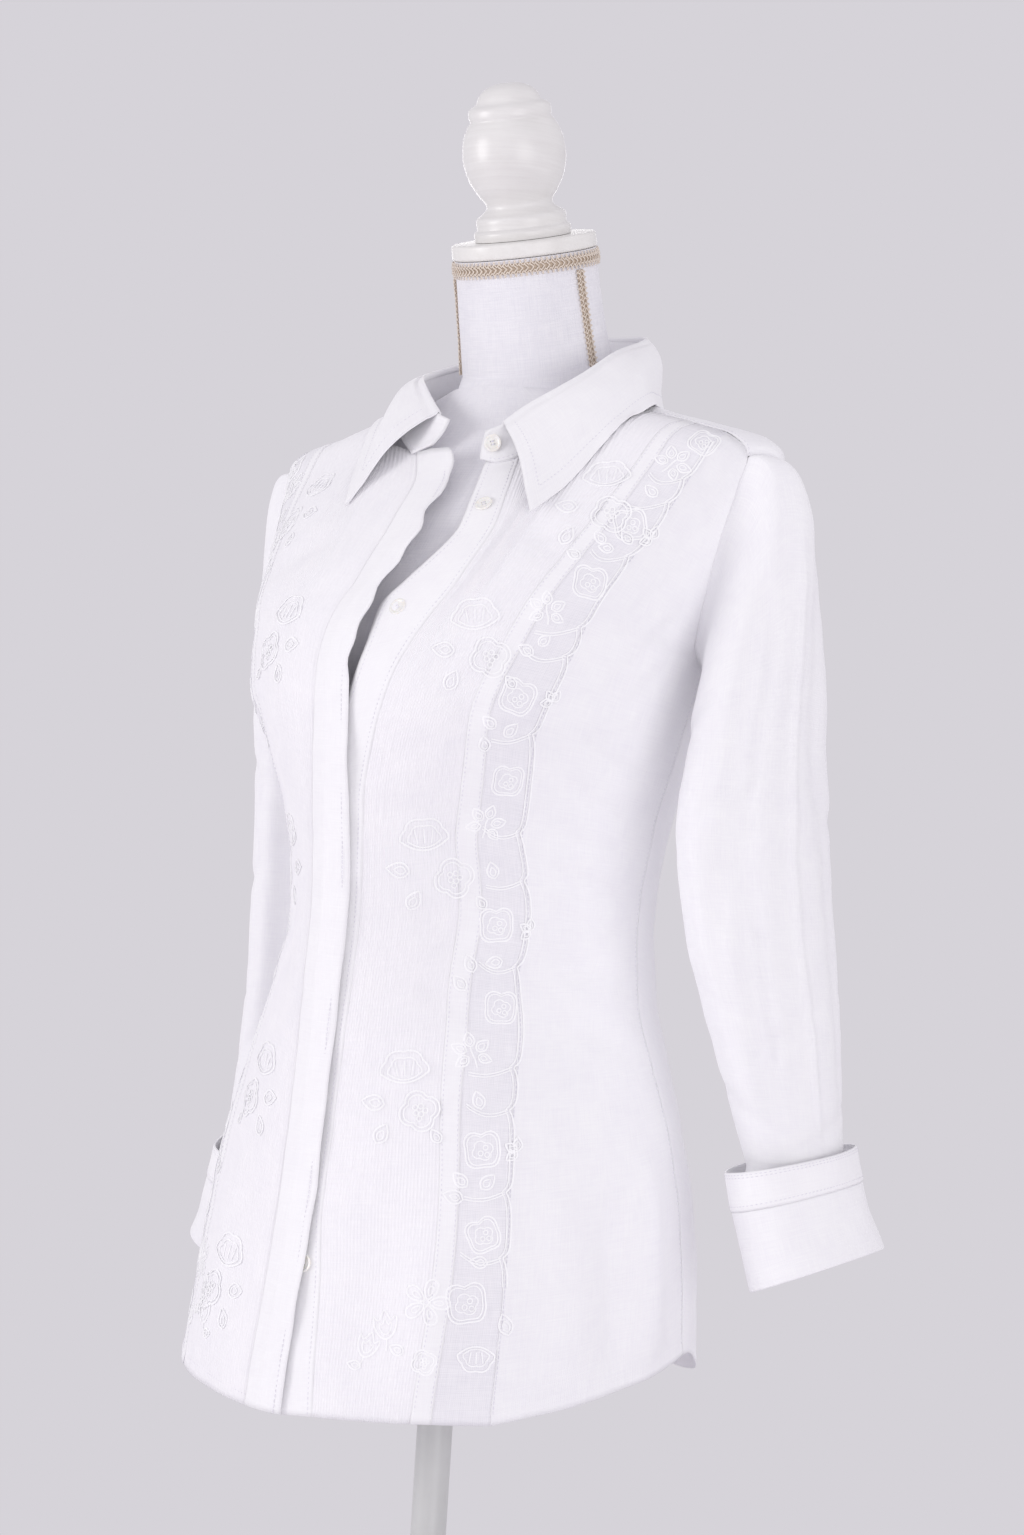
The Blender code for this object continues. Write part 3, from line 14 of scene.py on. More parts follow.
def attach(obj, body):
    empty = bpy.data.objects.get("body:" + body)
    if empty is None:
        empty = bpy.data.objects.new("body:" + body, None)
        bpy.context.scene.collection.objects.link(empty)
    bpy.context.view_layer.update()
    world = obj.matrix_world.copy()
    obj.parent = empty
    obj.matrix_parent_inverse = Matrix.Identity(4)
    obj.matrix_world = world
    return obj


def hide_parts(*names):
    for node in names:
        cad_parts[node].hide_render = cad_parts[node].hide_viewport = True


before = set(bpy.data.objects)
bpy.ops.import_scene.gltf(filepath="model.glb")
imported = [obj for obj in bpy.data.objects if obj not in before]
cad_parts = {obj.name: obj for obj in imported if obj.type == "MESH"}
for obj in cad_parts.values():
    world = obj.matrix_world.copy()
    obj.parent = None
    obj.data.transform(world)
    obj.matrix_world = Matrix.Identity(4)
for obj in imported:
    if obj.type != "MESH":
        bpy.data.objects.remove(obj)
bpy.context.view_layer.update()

# Cloth
CLOTH = 0.0012            # outer face of the sewn cloth above the body line
STIFF = 0.0015            # wall of the collar and the cuffs' bands
SEAM = 0.0003
LAP = 0.0004              # how far a panel reaches under its neighbour
POPLIN = 0.00045          # thickness of the shown cotton
INTERLINED = 0.0010       # thickness of plackets, collar and bands
TUCKS = 35                # pintucks in each front
TUCK_STEPS = 6            # columns of one tuck
TUCK_SHAPE = (0.0, 0.55, 1.0, 0.62, 0.18, 0.03)   # a tuck's height across its pitch, pressed to one side
TUCK_HEIGHT = 0.00038
FLY_LIFT = 0.0042
FLY_WIDTH = 0.028
FLY_LAP = 0.0020
BAND_WIDTH = 0.009
ROWS = 140                # rows of a front panel from hem to top

# Body sections: height, half width, front, back, side line's y, front power, back power
BODY_ROWS = (
    (0.660, 0.160, -0.178, 0.178, 0.004, 2.00, 2.0),
    (0.720, 0.158, -0.170, 0.174, 0.004, 2.00, 2.0),
    (0.776, 0.157, -0.158, 0.170, 0.004, 2.00, 2.0),
    (0.823, 0.154, -0.150, 0.160, 0.004, 1.95, 2.0),
    (0.868, 0.146, -0.145, 0.146, 0.004, 1.90, 2.0),
    (0.915, 0.132, -0.141, 0.135, 0.004, 1.80, 2.0),
    (0.950, 0.121, -0.139, 0.128, 0.005, 1.70, 2.0),
    (1.005, 0.116, -0.137, 0.123, 0.006, 1.55, 2.0),
    (1.060, 0.122, -0.140, 0.122, 0.008, 1.65, 2.1),
    (1.100, 0.132, -0.1425, 0.123, 0.010, 1.90, 2.2),
    (1.140, 0.142, -0.141, 0.124, 0.013, 2.35, 2.2),
    (1.170, 0.149, -0.134, 0.125, 0.017, 2.35, 2.2),
    (1.200, 0.160, -0.120, 0.123, 0.021, 2.40, 2.2),
    (1.230, 0.169, -0.101, 0.119, 0.025, 2.30, 2.2),
    (1.255, 0.178, -0.082, 0.114, 0.028, 2.20, 2.1),
    (1.275, 0.187, -0.064, 0.109, 0.030, 2.10, 2.0),
    (1.290, 0.193, -0.050, 0.105, 0.031, 2.00, 2.0),
    (1.300, 0.194, -0.041, 0.102, 0.032, 2.00, 2.0),
    (1.309, 0.184, -0.034, 0.099, 0.032, 2.00, 2.0),
    (1.318, 0.150, -0.028, 0.096, 0.032, 2.00, 2.0),
    (1.327, 0.110, -0.023, 0.093, 0.033, 2.00, 2.0),
    (1.336, 0.080, -0.019, 0.090, 0.034, 2.00, 2.0),
    (1.345, 0.068, -0.016, 0.087, 0.035, 2.00, 2.0),
    (1.362, 0.062, -0.014, 0.084, 0.035, 2.00, 2.0),
)

# Dress form under the shirt, in the same columns
FORM_ROWS = (
    (0.760, 0.139, -0.116, 0.118, 0.004, 2.0, 2.0),
    (0.820, 0.144, -0.116, 0.126, 0.004, 2.0, 2.0),
    (0.870, 0.138, -0.112, 0.124, 0.004, 2.0, 2.0),
    (0.930, 0.120, -0.104, 0.112, 0.004, 2.0, 2.0),
    (1.005, 0.104, -0.096, 0.094, 0.006, 2.0, 2.0),
    (1.060, 0.110, -0.104, 0.098, 0.008, 2.0, 2.0),
    (1.100, 0.122, -0.116, 0.106, 0.010, 2.1, 2.0),
    (1.140, 0.137, -0.126, 0.112, 0.013, 2.4, 2.1),
    (1.170, 0.146, -0.124, 0.116, 0.017, 2.4, 2.1),
    (1.200, 0.154, -0.112, 0.115, 0.021, 2.3, 2.1),
    (1.230, 0.163, -0.094, 0.112, 0.025, 2.2, 2.1),
    (1.255, 0.171, -0.076, 0.107, 0.028, 2.1, 2.0),
    (1.275, 0.178, -0.058, 0.102, 0.030, 2.0, 2.0),
    (1.290, 0.178, -0.044, 0.098, 0.031, 2.0, 2.0),
    (1.300, 0.178, -0.036, 0.095, 0.032, 1.8, 1.8),
    (1.3080, 0.172, -0.029, 0.092, 0.032, 1.6, 1.6),
    (1.3160, 0.1480, -0.023, 0.090, 0.032, 1.6, 1.6),
    (1.3246, 0.1080, -0.019, 0.088, 0.033, 1.6, 1.6),
    (1.3344, 0.0785, -0.016, 0.086, 0.034, 1.7, 1.7),
    (1.340, 0.055, -0.015, 0.085, 0.035, 2.0, 2.0),
)

# The right shoulder hangs lower
SHOULDER_DROP = 0.009
DROP_FROM = 0.052
DROP_FULL = 0.130
DROP_LOW = 1.080
DROP_HIGH = 1.290

# Fronts: height, left placket's free edge and seam, fly's free edge
FRONT_ROWS = (
    (0.700, 0.012, 0.040, 0.0200),
    (0.773, 0.002, 0.030, 0.0180),
    (0.835, -0.007, 0.021, 0.0170),
    (1.000, -0.007, 0.021, 0.0150),
    (1.070, -0.004, 0.023, 0.0150),
    (1.105, 0.002, 0.029, 0.0150),
    (1.140, 0.011, 0.038, 0.0120),
    (1.170, 0.0165, 0.048, 0.0100),
    (1.188, 0.0170, 0.056, 0.0130),
    (1.207, 0.0280, 0.064, 0.0200),
    (1.242, 0.0460, 0.070, 0.0230),
    (1.268, 0.0400, 0.064, 0.0210),
    (1.292, 0.0320, 0.056, 0.0040),
)
# Sheer strip: height, its inner and outer edge from the centre line
STRIP_ROWS = (
    (0.700, 0.1015, 0.1250),
    (0.775, 0.1010, 0.1225),
    (0.830, 0.0970, 0.1180),
    (0.915, 0.0845, 0.1050),
    (0.980, 0.0770, 0.0930),
    (1.045, 0.0765, 0.0925),
    (1.100, 0.0870, 0.1040),
    (1.140, 0.0985, 0.1190),
    (1.187, 0.1130, 0.1325),
    (1.225, 0.1255, 0.1455),
    (1.267, 0.1385, 0.1600),
    (1.316, 0.1480, 0.1720),
)
HEM_ROWS = ((0.0, 0.700), (25.0, 0.7035), (50.0, 0.7045), (70.0, 0.7080), (90.0, 0.7240),
            (108.0, 0.7350), (130.0, 0.7150), (150.0, 0.7060), (180.0, 0.7040))
RIGHT_HEM_RISE = 0.007
HEM_FOLD = 0.0075         # depth of the turned-up hem
SIDE_SEAM_SHARE = 108.0
SIDE_ROWS = ((0.700, 0.056), (0.790, 0.048), (0.860, 0.040), (0.960, 0.030), (1.060, 0.030), (1.165, 0.036))
UNDERARM = 1.165
UNDERARM_SHARE = 0.80     # share of the side line at which the side seam becomes the armhole
ARM_FRONT_ROWS = ((1.165, 0.036), (1.180, 0.018), (1.207, 0.0105), (1.2305, 0.0085), (1.2545, 0.0075),
                  (1.278, 0.0080), (1.2965, 0.0120))
ARM_BACK_ROWS = ((1.165, 0.036), (1.180, 0.050), (1.207, 0.062), (1.2305, 0.065), (1.262, 0.062))
ARM_REACH = 0.3
YOKE_FRONT_Y = 0.012
YOKE_BACK_HEIGHT = 1.252
TUCK_BEND = 0.73          # share above which the tucked panel's rows bend up to the neck seam
NECK_LEFT = ((0.063, -0.036), (0.072, -0.020), (0.080, -0.004), (0.084, 0.012))
NECK_BACK = ((0.0835, 0.030), (0.078, 0.050), (0.064, 0.070), (0.038, 0.0845), (0.013, 0.0890))
YOKE_STATIONS = (0.100, 0.120)
NECK_SEAM_TOP = (1.287, 1.297)
NECK_SEAM_TOP_RIGHT = 1.292

# Sleeves: height, centre x and y, half width, half depth
LEFT_SLEEVE_ROWS = (
    (1.120, 0.190, 0.040, 0.0320, 0.0600),
    (1.065, 0.192, 0.0385, 0.0355, 0.0680),
    (1.005, 0.1975, 0.044, 0.0350, 0.0660),
    (0.955, 0.205, 0.052, 0.0330, 0.0580),
    (0.910, 0.212, 0.059, 0.0290, 0.0500),
    (0.862, 0.220, 0.066, 0.0240, 0.0410),
)
RIGHT_SLEEVE_ROWS = (
    (1.120, 0.185, 0.050, 0.0290, 0.0550),
    (1.055, 0.184, 0.056, 0.0290, 0.0550),
    (1.000, 0.186, 0.059, 0.0290, 0.0540),
    (0.950, 0.190, 0.062, 0.0285, 0.0520),
    (0.892, 0.197, 0.063, 0.0280, 0.0480),
    (0.822, 0.210, 0.063, 0.0240, 0.0420),
)
# Lengthwise folds: angle from the outer side (front negative), slant in degrees per metre down,
# top and bottom height, half width in degrees, depth
LEFT_SLEEVE_FOLDS = (
    (-34.0, -150.0, 1.230, 0.990, 13.0, -0.0060),
    (-16.0, -150.0, 1.215, 1.010, 9.0, 0.0026),
    (-40.0, -60.0, 1.120, 0.880, 12.0, -0.0050),
    (-27.0, -60.0, 1.110, 0.900, 8.0, 0.0022),
    (-8.0, 0.0, 1.270, 0.865, 3.5, 0.0022),
    (12.0, 40.0, 1.260, 1.050, 11.0, -0.0026),
    (30.0, 20.0, 1.130, 0.880, 10.0, -0.0022),
    (70.0, 60.0, 1.220, 0.930, 14.0, -0.0060),
    (94.0, 40.0, 1.180, 0.960, 10.0, 0.0022),
    (150.0, 0.0, 1.140, 0.900, 20.0, -0.0055),
    (-80.0, 30.0, 1.150, 0.930, 12.0, -0.0028),
    (-110.0, 0.0, 1.100, 0.880, 14.0, -0.0030),
)
RIGHT_SLEEVE_FOLDS = (
    (-44.0, 80.0, 1.210, 0.960, 14.0, -0.0050),
    (-24.0, 60.0, 1.190, 0.980, 9.0, 0.0022),
    (-8.0, 0.0, 1.250, 0.830, 3.5, 0.0020),
    (20.0, 30.0, 1.240, 1.020, 12.0, -0.0028),
    (55.0, -60.0, 1.180, 0.880, 16.0, -0.0058),
    (86.0, 20.0, 1.100, 0.860, 11.0, -0.0026),
    (150.0, 0.0, 1.120, 0.900, 20.0, -0.0050),
    (-84.0, 30.0, 1.130, 0.900, 12.0, -0.0028),
    (-118.0, 0.0, 1.080, 0.860, 14.0, -0.0030),
)
# Short creases round a sleeve: angle, height, reach in degrees and in metres, slope, depth
SLEEVE_CREASES = (
    (-70.0, 1.085, 42.0, 0.0070, 0.030, -0.0024),
    (-58.0, 1.010, 46.0, 0.0060, -0.022, -0.0020),
    (-30.0, 0.945, 38.0, 0.0055, 0.026, -0.0018),
    (60.0, 1.070, 48.0, 0.0080, -0.028, -0.0026),
    (100.0, 0.990, 44.0, 0.0065, 0.024, -0.0022),
    (20.0, 0.890, 50.0, 0.0050, 0.016, -0.0016),
    (-100.0, 0.900, 46.0, 0.0055, -0.018, -0.0018),
    (150.0, 1.050, 50.0, 0.0070, 0.020, -0.0022),
    (110.0, 1.140, 42.0, 0.0080, -0.034, -0.0024),
    (-118.0, 1.130, 40.0, 0.0075, 0.036, -0.0024),
)
SLEEVE_COLUMNS = 132
HEAD_ROWS = 46
CUFF_LEAN = (math.radians(11.0), math.radians(22.0))
CUFF_DROP = 0.070
CUFF_BAND = 0.023
CUFF_HALF = (0.0330, 0.0565)
CUFF_FLARE = 0.05

# Collar stations from the left front round the back: neck seam, fold, leaf edge
COLLAR_ROWS = (
    ((0.0440, -0.0530, 1.2850), (0.0440, -0.0500, 1.3110), (0.0930, -0.0800, 1.2530)),
    ((0.0580, -0.0460, 1.2890), (0.0540, -0.0400, 1.3225), (0.1010, -0.0560, 1.2720)),
    ((0.0700, -0.0240, 1.3170), (0.0660, -0.0260, 1.3345), (0.1070, -0.0360, 1.2930)),
    ((0.0800, -0.0040, 1.3290), (0.0740, -0.0080, 1.3470), (0.1130, -0.0140, 1.3140)),
    ((0.0840, 0.0180, 1.3345), (0.0770, 0.0180, 1.3630), (0.1130, 0.0110, 1.3290)),
    ((0.0800, 0.0440, 1.3370), (0.0750, 0.0460, 1.3730), (0.0930, 0.0440, 1.3330)),
    ((0.0680, 0.0660, 1.3360), (0.0620, 0.0720, 1.3800), (0.0740, 0.0760, 1.3330)),
    ((0.0400, 0.0835, 1.3370), (0.0370, 0.0920, 1.3840), (0.0430, 0.1010, 1.3290)),
    ((0.0000, 0.0895, 1.3370), (0.0000, 0.1000, 1.3850), (0.0000, 0.1120, 1.3260)),
    ((-0.0400, 0.0835, 1.3370), (-0.0370, 0.0920, 1.3820), (-0.0430, 0.1010, 1.3290)),
    ((-0.0680, 0.0660, 1.3360), (-0.0620, 0.0720, 1.3750), (-0.0760, 0.0760, 1.3330)),
    ((-0.0800, 0.0440, 1.3370), (-0.0720, 0.0440, 1.3650), (-0.0920, 0.0440, 1.3330)),
    ((-0.0840, 0.0180, 1.3345), (-0.0710, 0.0160, 1.3560), (-0.0970, 0.0130, 1.3320)),
    ((-0.0780, -0.0060, 1.3270), (-0.0610, -0.0060, 1.3480), (-0.0910, -0.0080, 1.3210)),
    ((-0.0600, -0.0280, 1.3140), (-0.0430, -0.0220, 1.3360), (-0.0780, -0.0400, 1.2940)),
    ((-0.0300, -0.0475, 1.2920), (-0.0180, -0.0390, 1.3200), (-0.0560, -0.0780, 1.2570)),
)
STAND_ENDS = (((0.0330, -0.0575, 1.2885), (0.0350, -0.0560, 1.3060)),
              ((-0.0120, -0.0510, 1.2990), (-0.0060, -0.0430, 1.3160)))
STAND_SEAT = 0.0027
LEAF_BULGE = 0.004

# Neck, cap, finial and stand
NECK_TILT = math.radians(16.0)
NECK_FOOT = (0.0, 0.041, 1.347)
NECK_ROWS = ((0.012, 0.0495), (0.036, 0.0477), (0.064, 0.0465), (0.087, 0.0462))
NECK_TOP = NECK_ROWS[-1][0]
CAP_RADIUS = 0.0472
CAP_HEIGHT = 0.010
BRAID_WIDTH = 0.0105
CORE_SHAPE = ((-0.62, 0.0002), (-0.60, 0.0008), (0.60, 0.0008), (0.62, 0.0002))   # share of half width, lift
FINIAL_PROFILE = (
    (0.0000, 0.0312), (0.0050, 0.0316), (0.0068, 0.0300), (0.0080, 0.0292), (0.0140, 0.0290),
    (0.0170, 0.0252), (0.0200, 0.0218), (0.0235, 0.0220), (0.0290, 0.0258), (0.0380, 0.0306),
    (0.0480, 0.0331), (0.0560, 0.0333), (0.0660, 0.0316), (0.0735, 0.0280), (0.0760, 0.0262),
    (0.0785, 0.0268), (0.0830, 0.0264), (0.0850, 0.0244), (0.0870, 0.0212), (0.0920, 0.0186),
    (0.0960, 0.0140), (0.0985, 0.0070), (0.0990, 0.0),
)
BASE_RADIUS = 0.170
BASE_HEIGHT = 0.018
HUB_RADIUS = 0.026
HUB_HEIGHT = 0.045
POLE_RADIUS = 0.0115
TURNED_SEGMENTS = 112

# Creases of the body: start, end, half width, depth (troughs negative)
LEFT_CREASES = (
    ((0.124, -0.071, 1.123), (0.131, 0.011, 1.097), 0.0022, -0.0016),
    ((0.126, -0.066, 1.131), (0.132, 0.006, 1.106), 0.0060, 0.0012),
    ((0.118, -0.060, 1.090), (0.128, 0.000, 1.070), 0.0080, -0.0022),
    ((0.108, -0.066, 1.062), (0.122, 0.010, 1.048), 0.0070, -0.0026),
    ((0.106, -0.060, 1.040), (0.119, 0.020, 1.022), 0.0075, -0.0030),
    ((0.104, -0.058, 1.016), (0.116, 0.020, 1.000), 0.0065, -0.0022),
    ((0.108, -0.048, 0.982), (0.117, 0.028, 0.962), 0.0080, -0.0028),
    ((0.112, -0.040, 0.944), (0.124, 0.030, 0.915), 0.0080, -0.0026),
    ((0.168, -0.006, 1.235), (0.140, -0.070, 1.170), 0.0100, -0.0022),
    ((0.164, 0.000, 1.205), (0.138, -0.060, 1.140), 0.0085, -0.0024),
    ((0.158, 0.006, 1.180), (0.140, -0.045, 1.128), 0.0070, -0.0018),
    ((0.176, 0.000, 1.265), (0.158, -0.030, 1.235), 0.0090, -0.0018),
    ((0.130, -0.060, 0.860), (0.141, -0.055, 0.715), 0.0150, 0.0042),
    ((0.145, -0.030, 0.850), (0.152, -0.020, 0.720), 0.0120, -0.0034),
    ((0.146, 0.004, 0.870), (0.157, 0.010, 0.725), 0.0130, 0.0034),
    ((0.060, -0.130, 0.840), (0.066, -0.155, 0.705), 0.0200, -0.0022),
    ((0.085, -0.118, 0.830), (0.093, -0.135, 0.705), 0.0160, 0.0022),
    ((0.060, -0.118, 1.060), (0.092, -0.085, 1.030), 0.0090, -0.0016),
    ((0.050, -0.120, 1.010), (0.088, -0.080, 0.985), 0.0090, -0.0018),
    ((0.056, -0.118, 0.965), (0.090, -0.080, 0.945), 0.0090, -0.0014),
    ((0.060, -0.132, 1.160), (0.094, -0.110, 1.120), 0.0100, -0.0012),
    ((0.094, -0.075, 1.245), (0.120, -0.070, 1.215), 0.0090, -0.0014),
    ((0.110, -0.092, 0.800), (0.144, -0.050, 0.770), 0.0100, -0.0018),
    ((0.100, -0.118, 0.765), (0.140, -0.070, 0.742), 0.0080, -0.0014),
)
RIGHT_CREASES = (
    ((-0.124, -0.071, 1.116), (-0.131, 0.011, 1.090), 0.0022, -0.0016),
    ((-0.126, -0.066, 1.124), (-0.132, 0.006, 1.099), 0.0060, 0.0012),
    ((-0.112, -0.066, 1.080), (-0.128, 0.005, 1.062), 0.0080, -0.0026),
    ((-0.104, -0.066, 1.044), (-0.120, 0.016, 1.030), 0.0075, -0.0030),
    ((-0.104, -0.060, 1.008), (-0.116, 0.020, 0.990), 0.0070, -0.0024),
    ((-0.108, -0.048, 0.972), (-0.118, 0.028, 0.950), 0.0080, -0.0026),
    ((-0.168, -0.006, 1.225), (-0.140, -0.070, 1.165), 0.0100, -0.0022),
    ((-0.162, 0.002, 1.195), (-0.138, -0.058, 1.136), 0.0080, -0.0024),
    ((-0.130, -0.060, 0.855), (-0.141, -0.055, 0.722), 0.0150, 0.0040),
    ((-0.146, -0.025, 0.850), (-0.153, -0.020, 0.725), 0.0130, -0.0034),
    ((-0.060, -0.130, 0.850), (-0.068, -0.152, 0.712), 0.0200, 0.0020),
    ((-0.050, -0.122, 1.050), (-0.088, -0.085, 1.020), 0.0090, -0.0020),
    ((-0.046, -0.124, 1.000), (-0.088, -0.080, 0.975), 0.0090, -0.0018),
    ((-0.060, -0.128, 1.150), (-0.100, -0.100, 1.110), 0.0110, -0.0016),
    ((-0.050, -0.090, 1.235), (-0.110, -0.080, 1.210), 0.0120, -0.0018),
    ((-0.096, -0.090, 0.900), (-0.128, -0.050, 0.880), 0.0090, -0.0018),
)
BACK_CREASES = (
    ((0.040, 0.108, 1.245), (0.036, 0.122, 1.060), 0.0130, -0.0030),
    ((0.014, 0.110, 1.248), (0.010, 0.122, 1.110), 0.0110, 0.0020),
    ((-0.036, 0.108, 1.245), (-0.040, 0.122, 1.080), 0.0130, -0.0030),
    ((0.090, 0.100, 1.225), (0.082, 0.104, 1.050), 0.0120, -0.0026),
    ((-0.088, 0.100, 1.220), (-0.080, 0.104, 1.040), 0.0120, -0.0026),
    ((0.100, 0.072, 1.055), (0.010, 0.124, 1.040), 0.0075, -0.0026),
    ((0.096, 0.074, 1.030), (-0.020, 0.124, 1.012), 0.0080, -0.0034),
    ((-0.100, 0.072, 1.050), (0.000, 0.124, 1.032), 0.0075, -0.0028),
    ((-0.096, 0.074, 1.018), (0.030, 0.124, 0.996), 0.0080, -0.0032),
    ((0.098, 0.074, 0.998), (0.020, 0.124, 0.972), 0.0075, -0.0026),
    ((-0.100, 0.074, 0.982), (-0.020, 0.126, 0.952), 0.0080, -0.0026),
    ((0.050, 0.134, 0.900), (0.058, 0.160, 0.715), 0.0180, 0.0046),
    ((0.000, 0.140, 0.900), (0.002, 0.172, 0.712), 0.0170, -0.0040),
    ((-0.052, 0.134, 0.900), (-0.060, 0.160, 0.712), 0.0180, 0.0044),
    ((0.104, 0.098, 0.880), (0.112, 0.122, 0.720), 0.0170, -0.0040),
    ((-0.104, 0.098, 0.880), (-0.112, 0.122, 0.720), 0.0170, -0.0038),
    ((0.160, 0.060, 1.215), (0.130, 0.092, 1.165), 0.0090, -0.0024),
    ((-0.160, 0.060, 1.208), (-0.130, 0.092, 1.160), 0.0090, -0.0024),
    ((0.150, 0.052, 1.180), (0.120, 0.088, 1.130), 0.0080, -0.0020),
    ((-0.150, 0.052, 1.176), (-0.120, 0.088, 1.128), 0.0080, -0.0020),
)
CREASES = LEFT_CREASES + RIGHT_CREASES + BACK_CREASES
CREASE_STRENGTH = 1.45


def read(rows, where):
    """Smooth reading of a table at many places; the first column is the place."""
    data = np.array(rows, dtype=float)
    places = data[:, 0]
    values = data[:, 1:]
    where = np.clip(np.asarray(where, dtype=float), places[0], places[-1])
    slopes = np.diff(values, axis=0) / np.diff(places)[:, None]
    product = slopes[1:] * slopes[:-1]
    inner = np.where(product > 0.0, 2.0 * product / (slopes[1:] + slopes[:-1] + 1e-12), 0.0)
    tangents = np.vstack([slopes[:1], inner, slopes[-1:]])
    k = np.clip(np.searchsorted(places, where, side="right") - 1, 0, len(places) - 2)
    width = (places[k + 1] - places[k])[..., None]
    s = ((where - places[k]) / width[..., 0])[..., None]
    return ((2 * s**3 - 3 * s**2 + 1) * values[k] + (s**3 - 2 * s**2 + s) * width * tangents[k]
            + (3 * s**2 - 2 * s**3) * values[k + 1] + (s**3 - s**2) * width * tangents[k + 1])


def section_point(turn, height, rows=BODY_ROWS):
    """Points of the body's sections: turn 0 is the centre front, a quarter turn the left side line."""
    turn, height = np.broadcast_arrays(np.asarray(turn, float), np.asarray(height, float))
    half, front, back, side, front_power, back_power = np.moveaxis(read(rows, height), -1, 0)
    sine = np.sin(turn)
    cosine = np.cos(turn)
    power = np.where(cosine >= 0.0, front_power, back_power)
    depth = np.where(cosine >= 0.0, side - front, back - side)
    x = half * np.sign(sine) * np.abs(sine) ** (2.0 / power)
    y = side - depth * np.sign(cosine) * np.abs(cosine) ** (2.0 / power)
    return np.stack([x, y, height], axis=-1)


def turn_at_x(x, height):
    """Turn of front points at distances from the centre line."""
    half, front, back, side, power, back_power = np.moveaxis(read(BODY_ROWS, height), -1, 0)
    share = np.clip(np.abs(x) / half, 0.0, 1.0)
    return np.sign(x) * np.arcsin(share ** (power / 2.0))


def turn_at_y(y, height):
    """Turn of the left side's points at depths."""
    half, front, back, side, front_power, back_power = np.moveaxis(read(BODY_ROWS, height), -1, 0)
    ahead = np.arccos(np.clip((side - y) / (side - front), 0.0, 1.0) ** (front_power / 2.0))
    behind = math.pi - np.arccos(np.clip((y - side) / (back - side), 0.0, 1.0) ** (back_power / 2.0))
    return np.where(y < side, ahead, behind)


def level_value(points):
    """Below 1 inside the body, above 1 outside it."""
    half, front, back, side, front_power, back_power = np.moveaxis(read(BODY_ROWS, points[..., 2]), -1, 0)
    x, y = points[..., 0], points[..., 1]
    power = np.where(y < side, front_power, back_power)
    depth = np.where(y < side, side - front, back - side)
    return (np.abs(x) / half) ** power + (np.abs(y - side) / depth) ** power


def body_normal(points):
    """Outward directions of the body at points near its surface."""
    slope = np.zeros_like(points)
    for axis in range(3):
        step = np.zeros(3)
        step[axis] = 0.0006
        slope[..., axis] = level_value(points + step) - level_value(points - step)
    return slope / (np.linalg.norm(slope, axis=-1, keepdims=True) + 1e-12)


def surface_from(centre, direction):
    """Where lines from inner points leave the body."""
    low = np.zeros(direction.shape[:-1])
    high = np.full(direction.shape[:-1], 0.25)
    for _ in range(30):
        middle = 0.5 * (low + high)
        inside = level_value(centre + direction * middle[..., None]) < 1.0
        low = np.where(inside, middle, low)
        high = np.where(inside, high, middle)
    return centre + direction * low[..., None]


def height_over(x, y):
    """Height of the shoulder's top surface over points of the plan."""
    x, y = np.broadcast_arrays(np.asarray(x, float), np.asarray(y, float))
    low = np.full(x.shape, 1.20)
    high = np.full(x.shape, 1.36)
    for _ in range(34):
        middle = 0.5 * (low + high)
        inside = level_value(np.stack([x, y, middle], axis=-1)) < 1.0
        low = np.where(inside, middle, low)
        high = np.where(inside, high, middle)
    return low


def shoulder_sink(points):
    """The same points with the wearer's right shoulder hanging lower."""
    across = np.clip((-points[..., 0] - DROP_FROM) / (DROP_FULL - DROP_FROM), 0.0, 1.0)
    up = np.clip((points[..., 2] - DROP_LOW) / (DROP_HIGH - DROP_LOW), 0.0, 1.0)
    result = points.copy()
    result[..., 2] -= SHOULDER_DROP * across * up * up * (3.0 - 2.0 * up)
    return result


def rumple(points, scale, seed):
    """Slow uneven waviness of cloth, between -1 and 1, the same each time."""
    rng = np.random.default_rng(seed)
    total = np.zeros(points.shape[:-1])
    for _ in range(7):
        direction = rng.normal(size=3)
        direction /= np.linalg.norm(direction)
        total += np.sin((points @ direction) * (2.0 * math.pi / (scale * rng.uniform(0.6, 1.8)))
                        + rng.uniform(0.0, 6.28))
    return total / 7.0


def crease_depth(points):
    """How far the cloth of the body moves out or in for its folds."""
    depth = 0.0011 * rumple(points, 0.055, 5) * np.clip((1.30 - points[..., 2]) / 0.06, 0.0, 1.0)
    depth = depth + 0.00035 * rumple(points, 0.018, 6)
    for start, end, width, amount in CREASES:
        a = np.array(start)
        line = np.array(end) - a
        length = float(np.linalg.norm(line))
        share = np.clip(((points - a) @ line) / length**2, 0.0, 1.0)
        bend = 0.10 * length * np.sin(math.pi * share) * (0.5 if amount > 0.0 else -0.5)
        nearest = a + share[..., None] * line
        nearest[..., 2] += bend * abs(line[0] + line[1]) / length
        gap = np.linalg.norm(points - nearest, axis=-1)
        ends = np.clip(np.minimum(share, 1.0 - share) / 0.28, 0.0, 1.0)
        ends = 0.12 + 0.88 * ends * ends * (3.0 - 2.0 * ends)
        depth = depth + CREASE_STRENGTH * amount * ends * np.exp(-((gap / width) ** 2))
    shoulder = np.clip((1.312 - points[..., 2]) / 0.03, 0.10, 1.0)
    return np.where(depth < 0.0, depth * shoulder, depth)


def dressed(points, lift=CLOTH, normals=None):
    """Points of the body line carried to the cloth's outer face, folds and dropped shoulder included."""
    if normals is None:
        normals = body_normal(points)
    moved = points + normals * (np.asarray(lift) + crease_depth(points))[..., None]
    return shoulder_sink(moved)


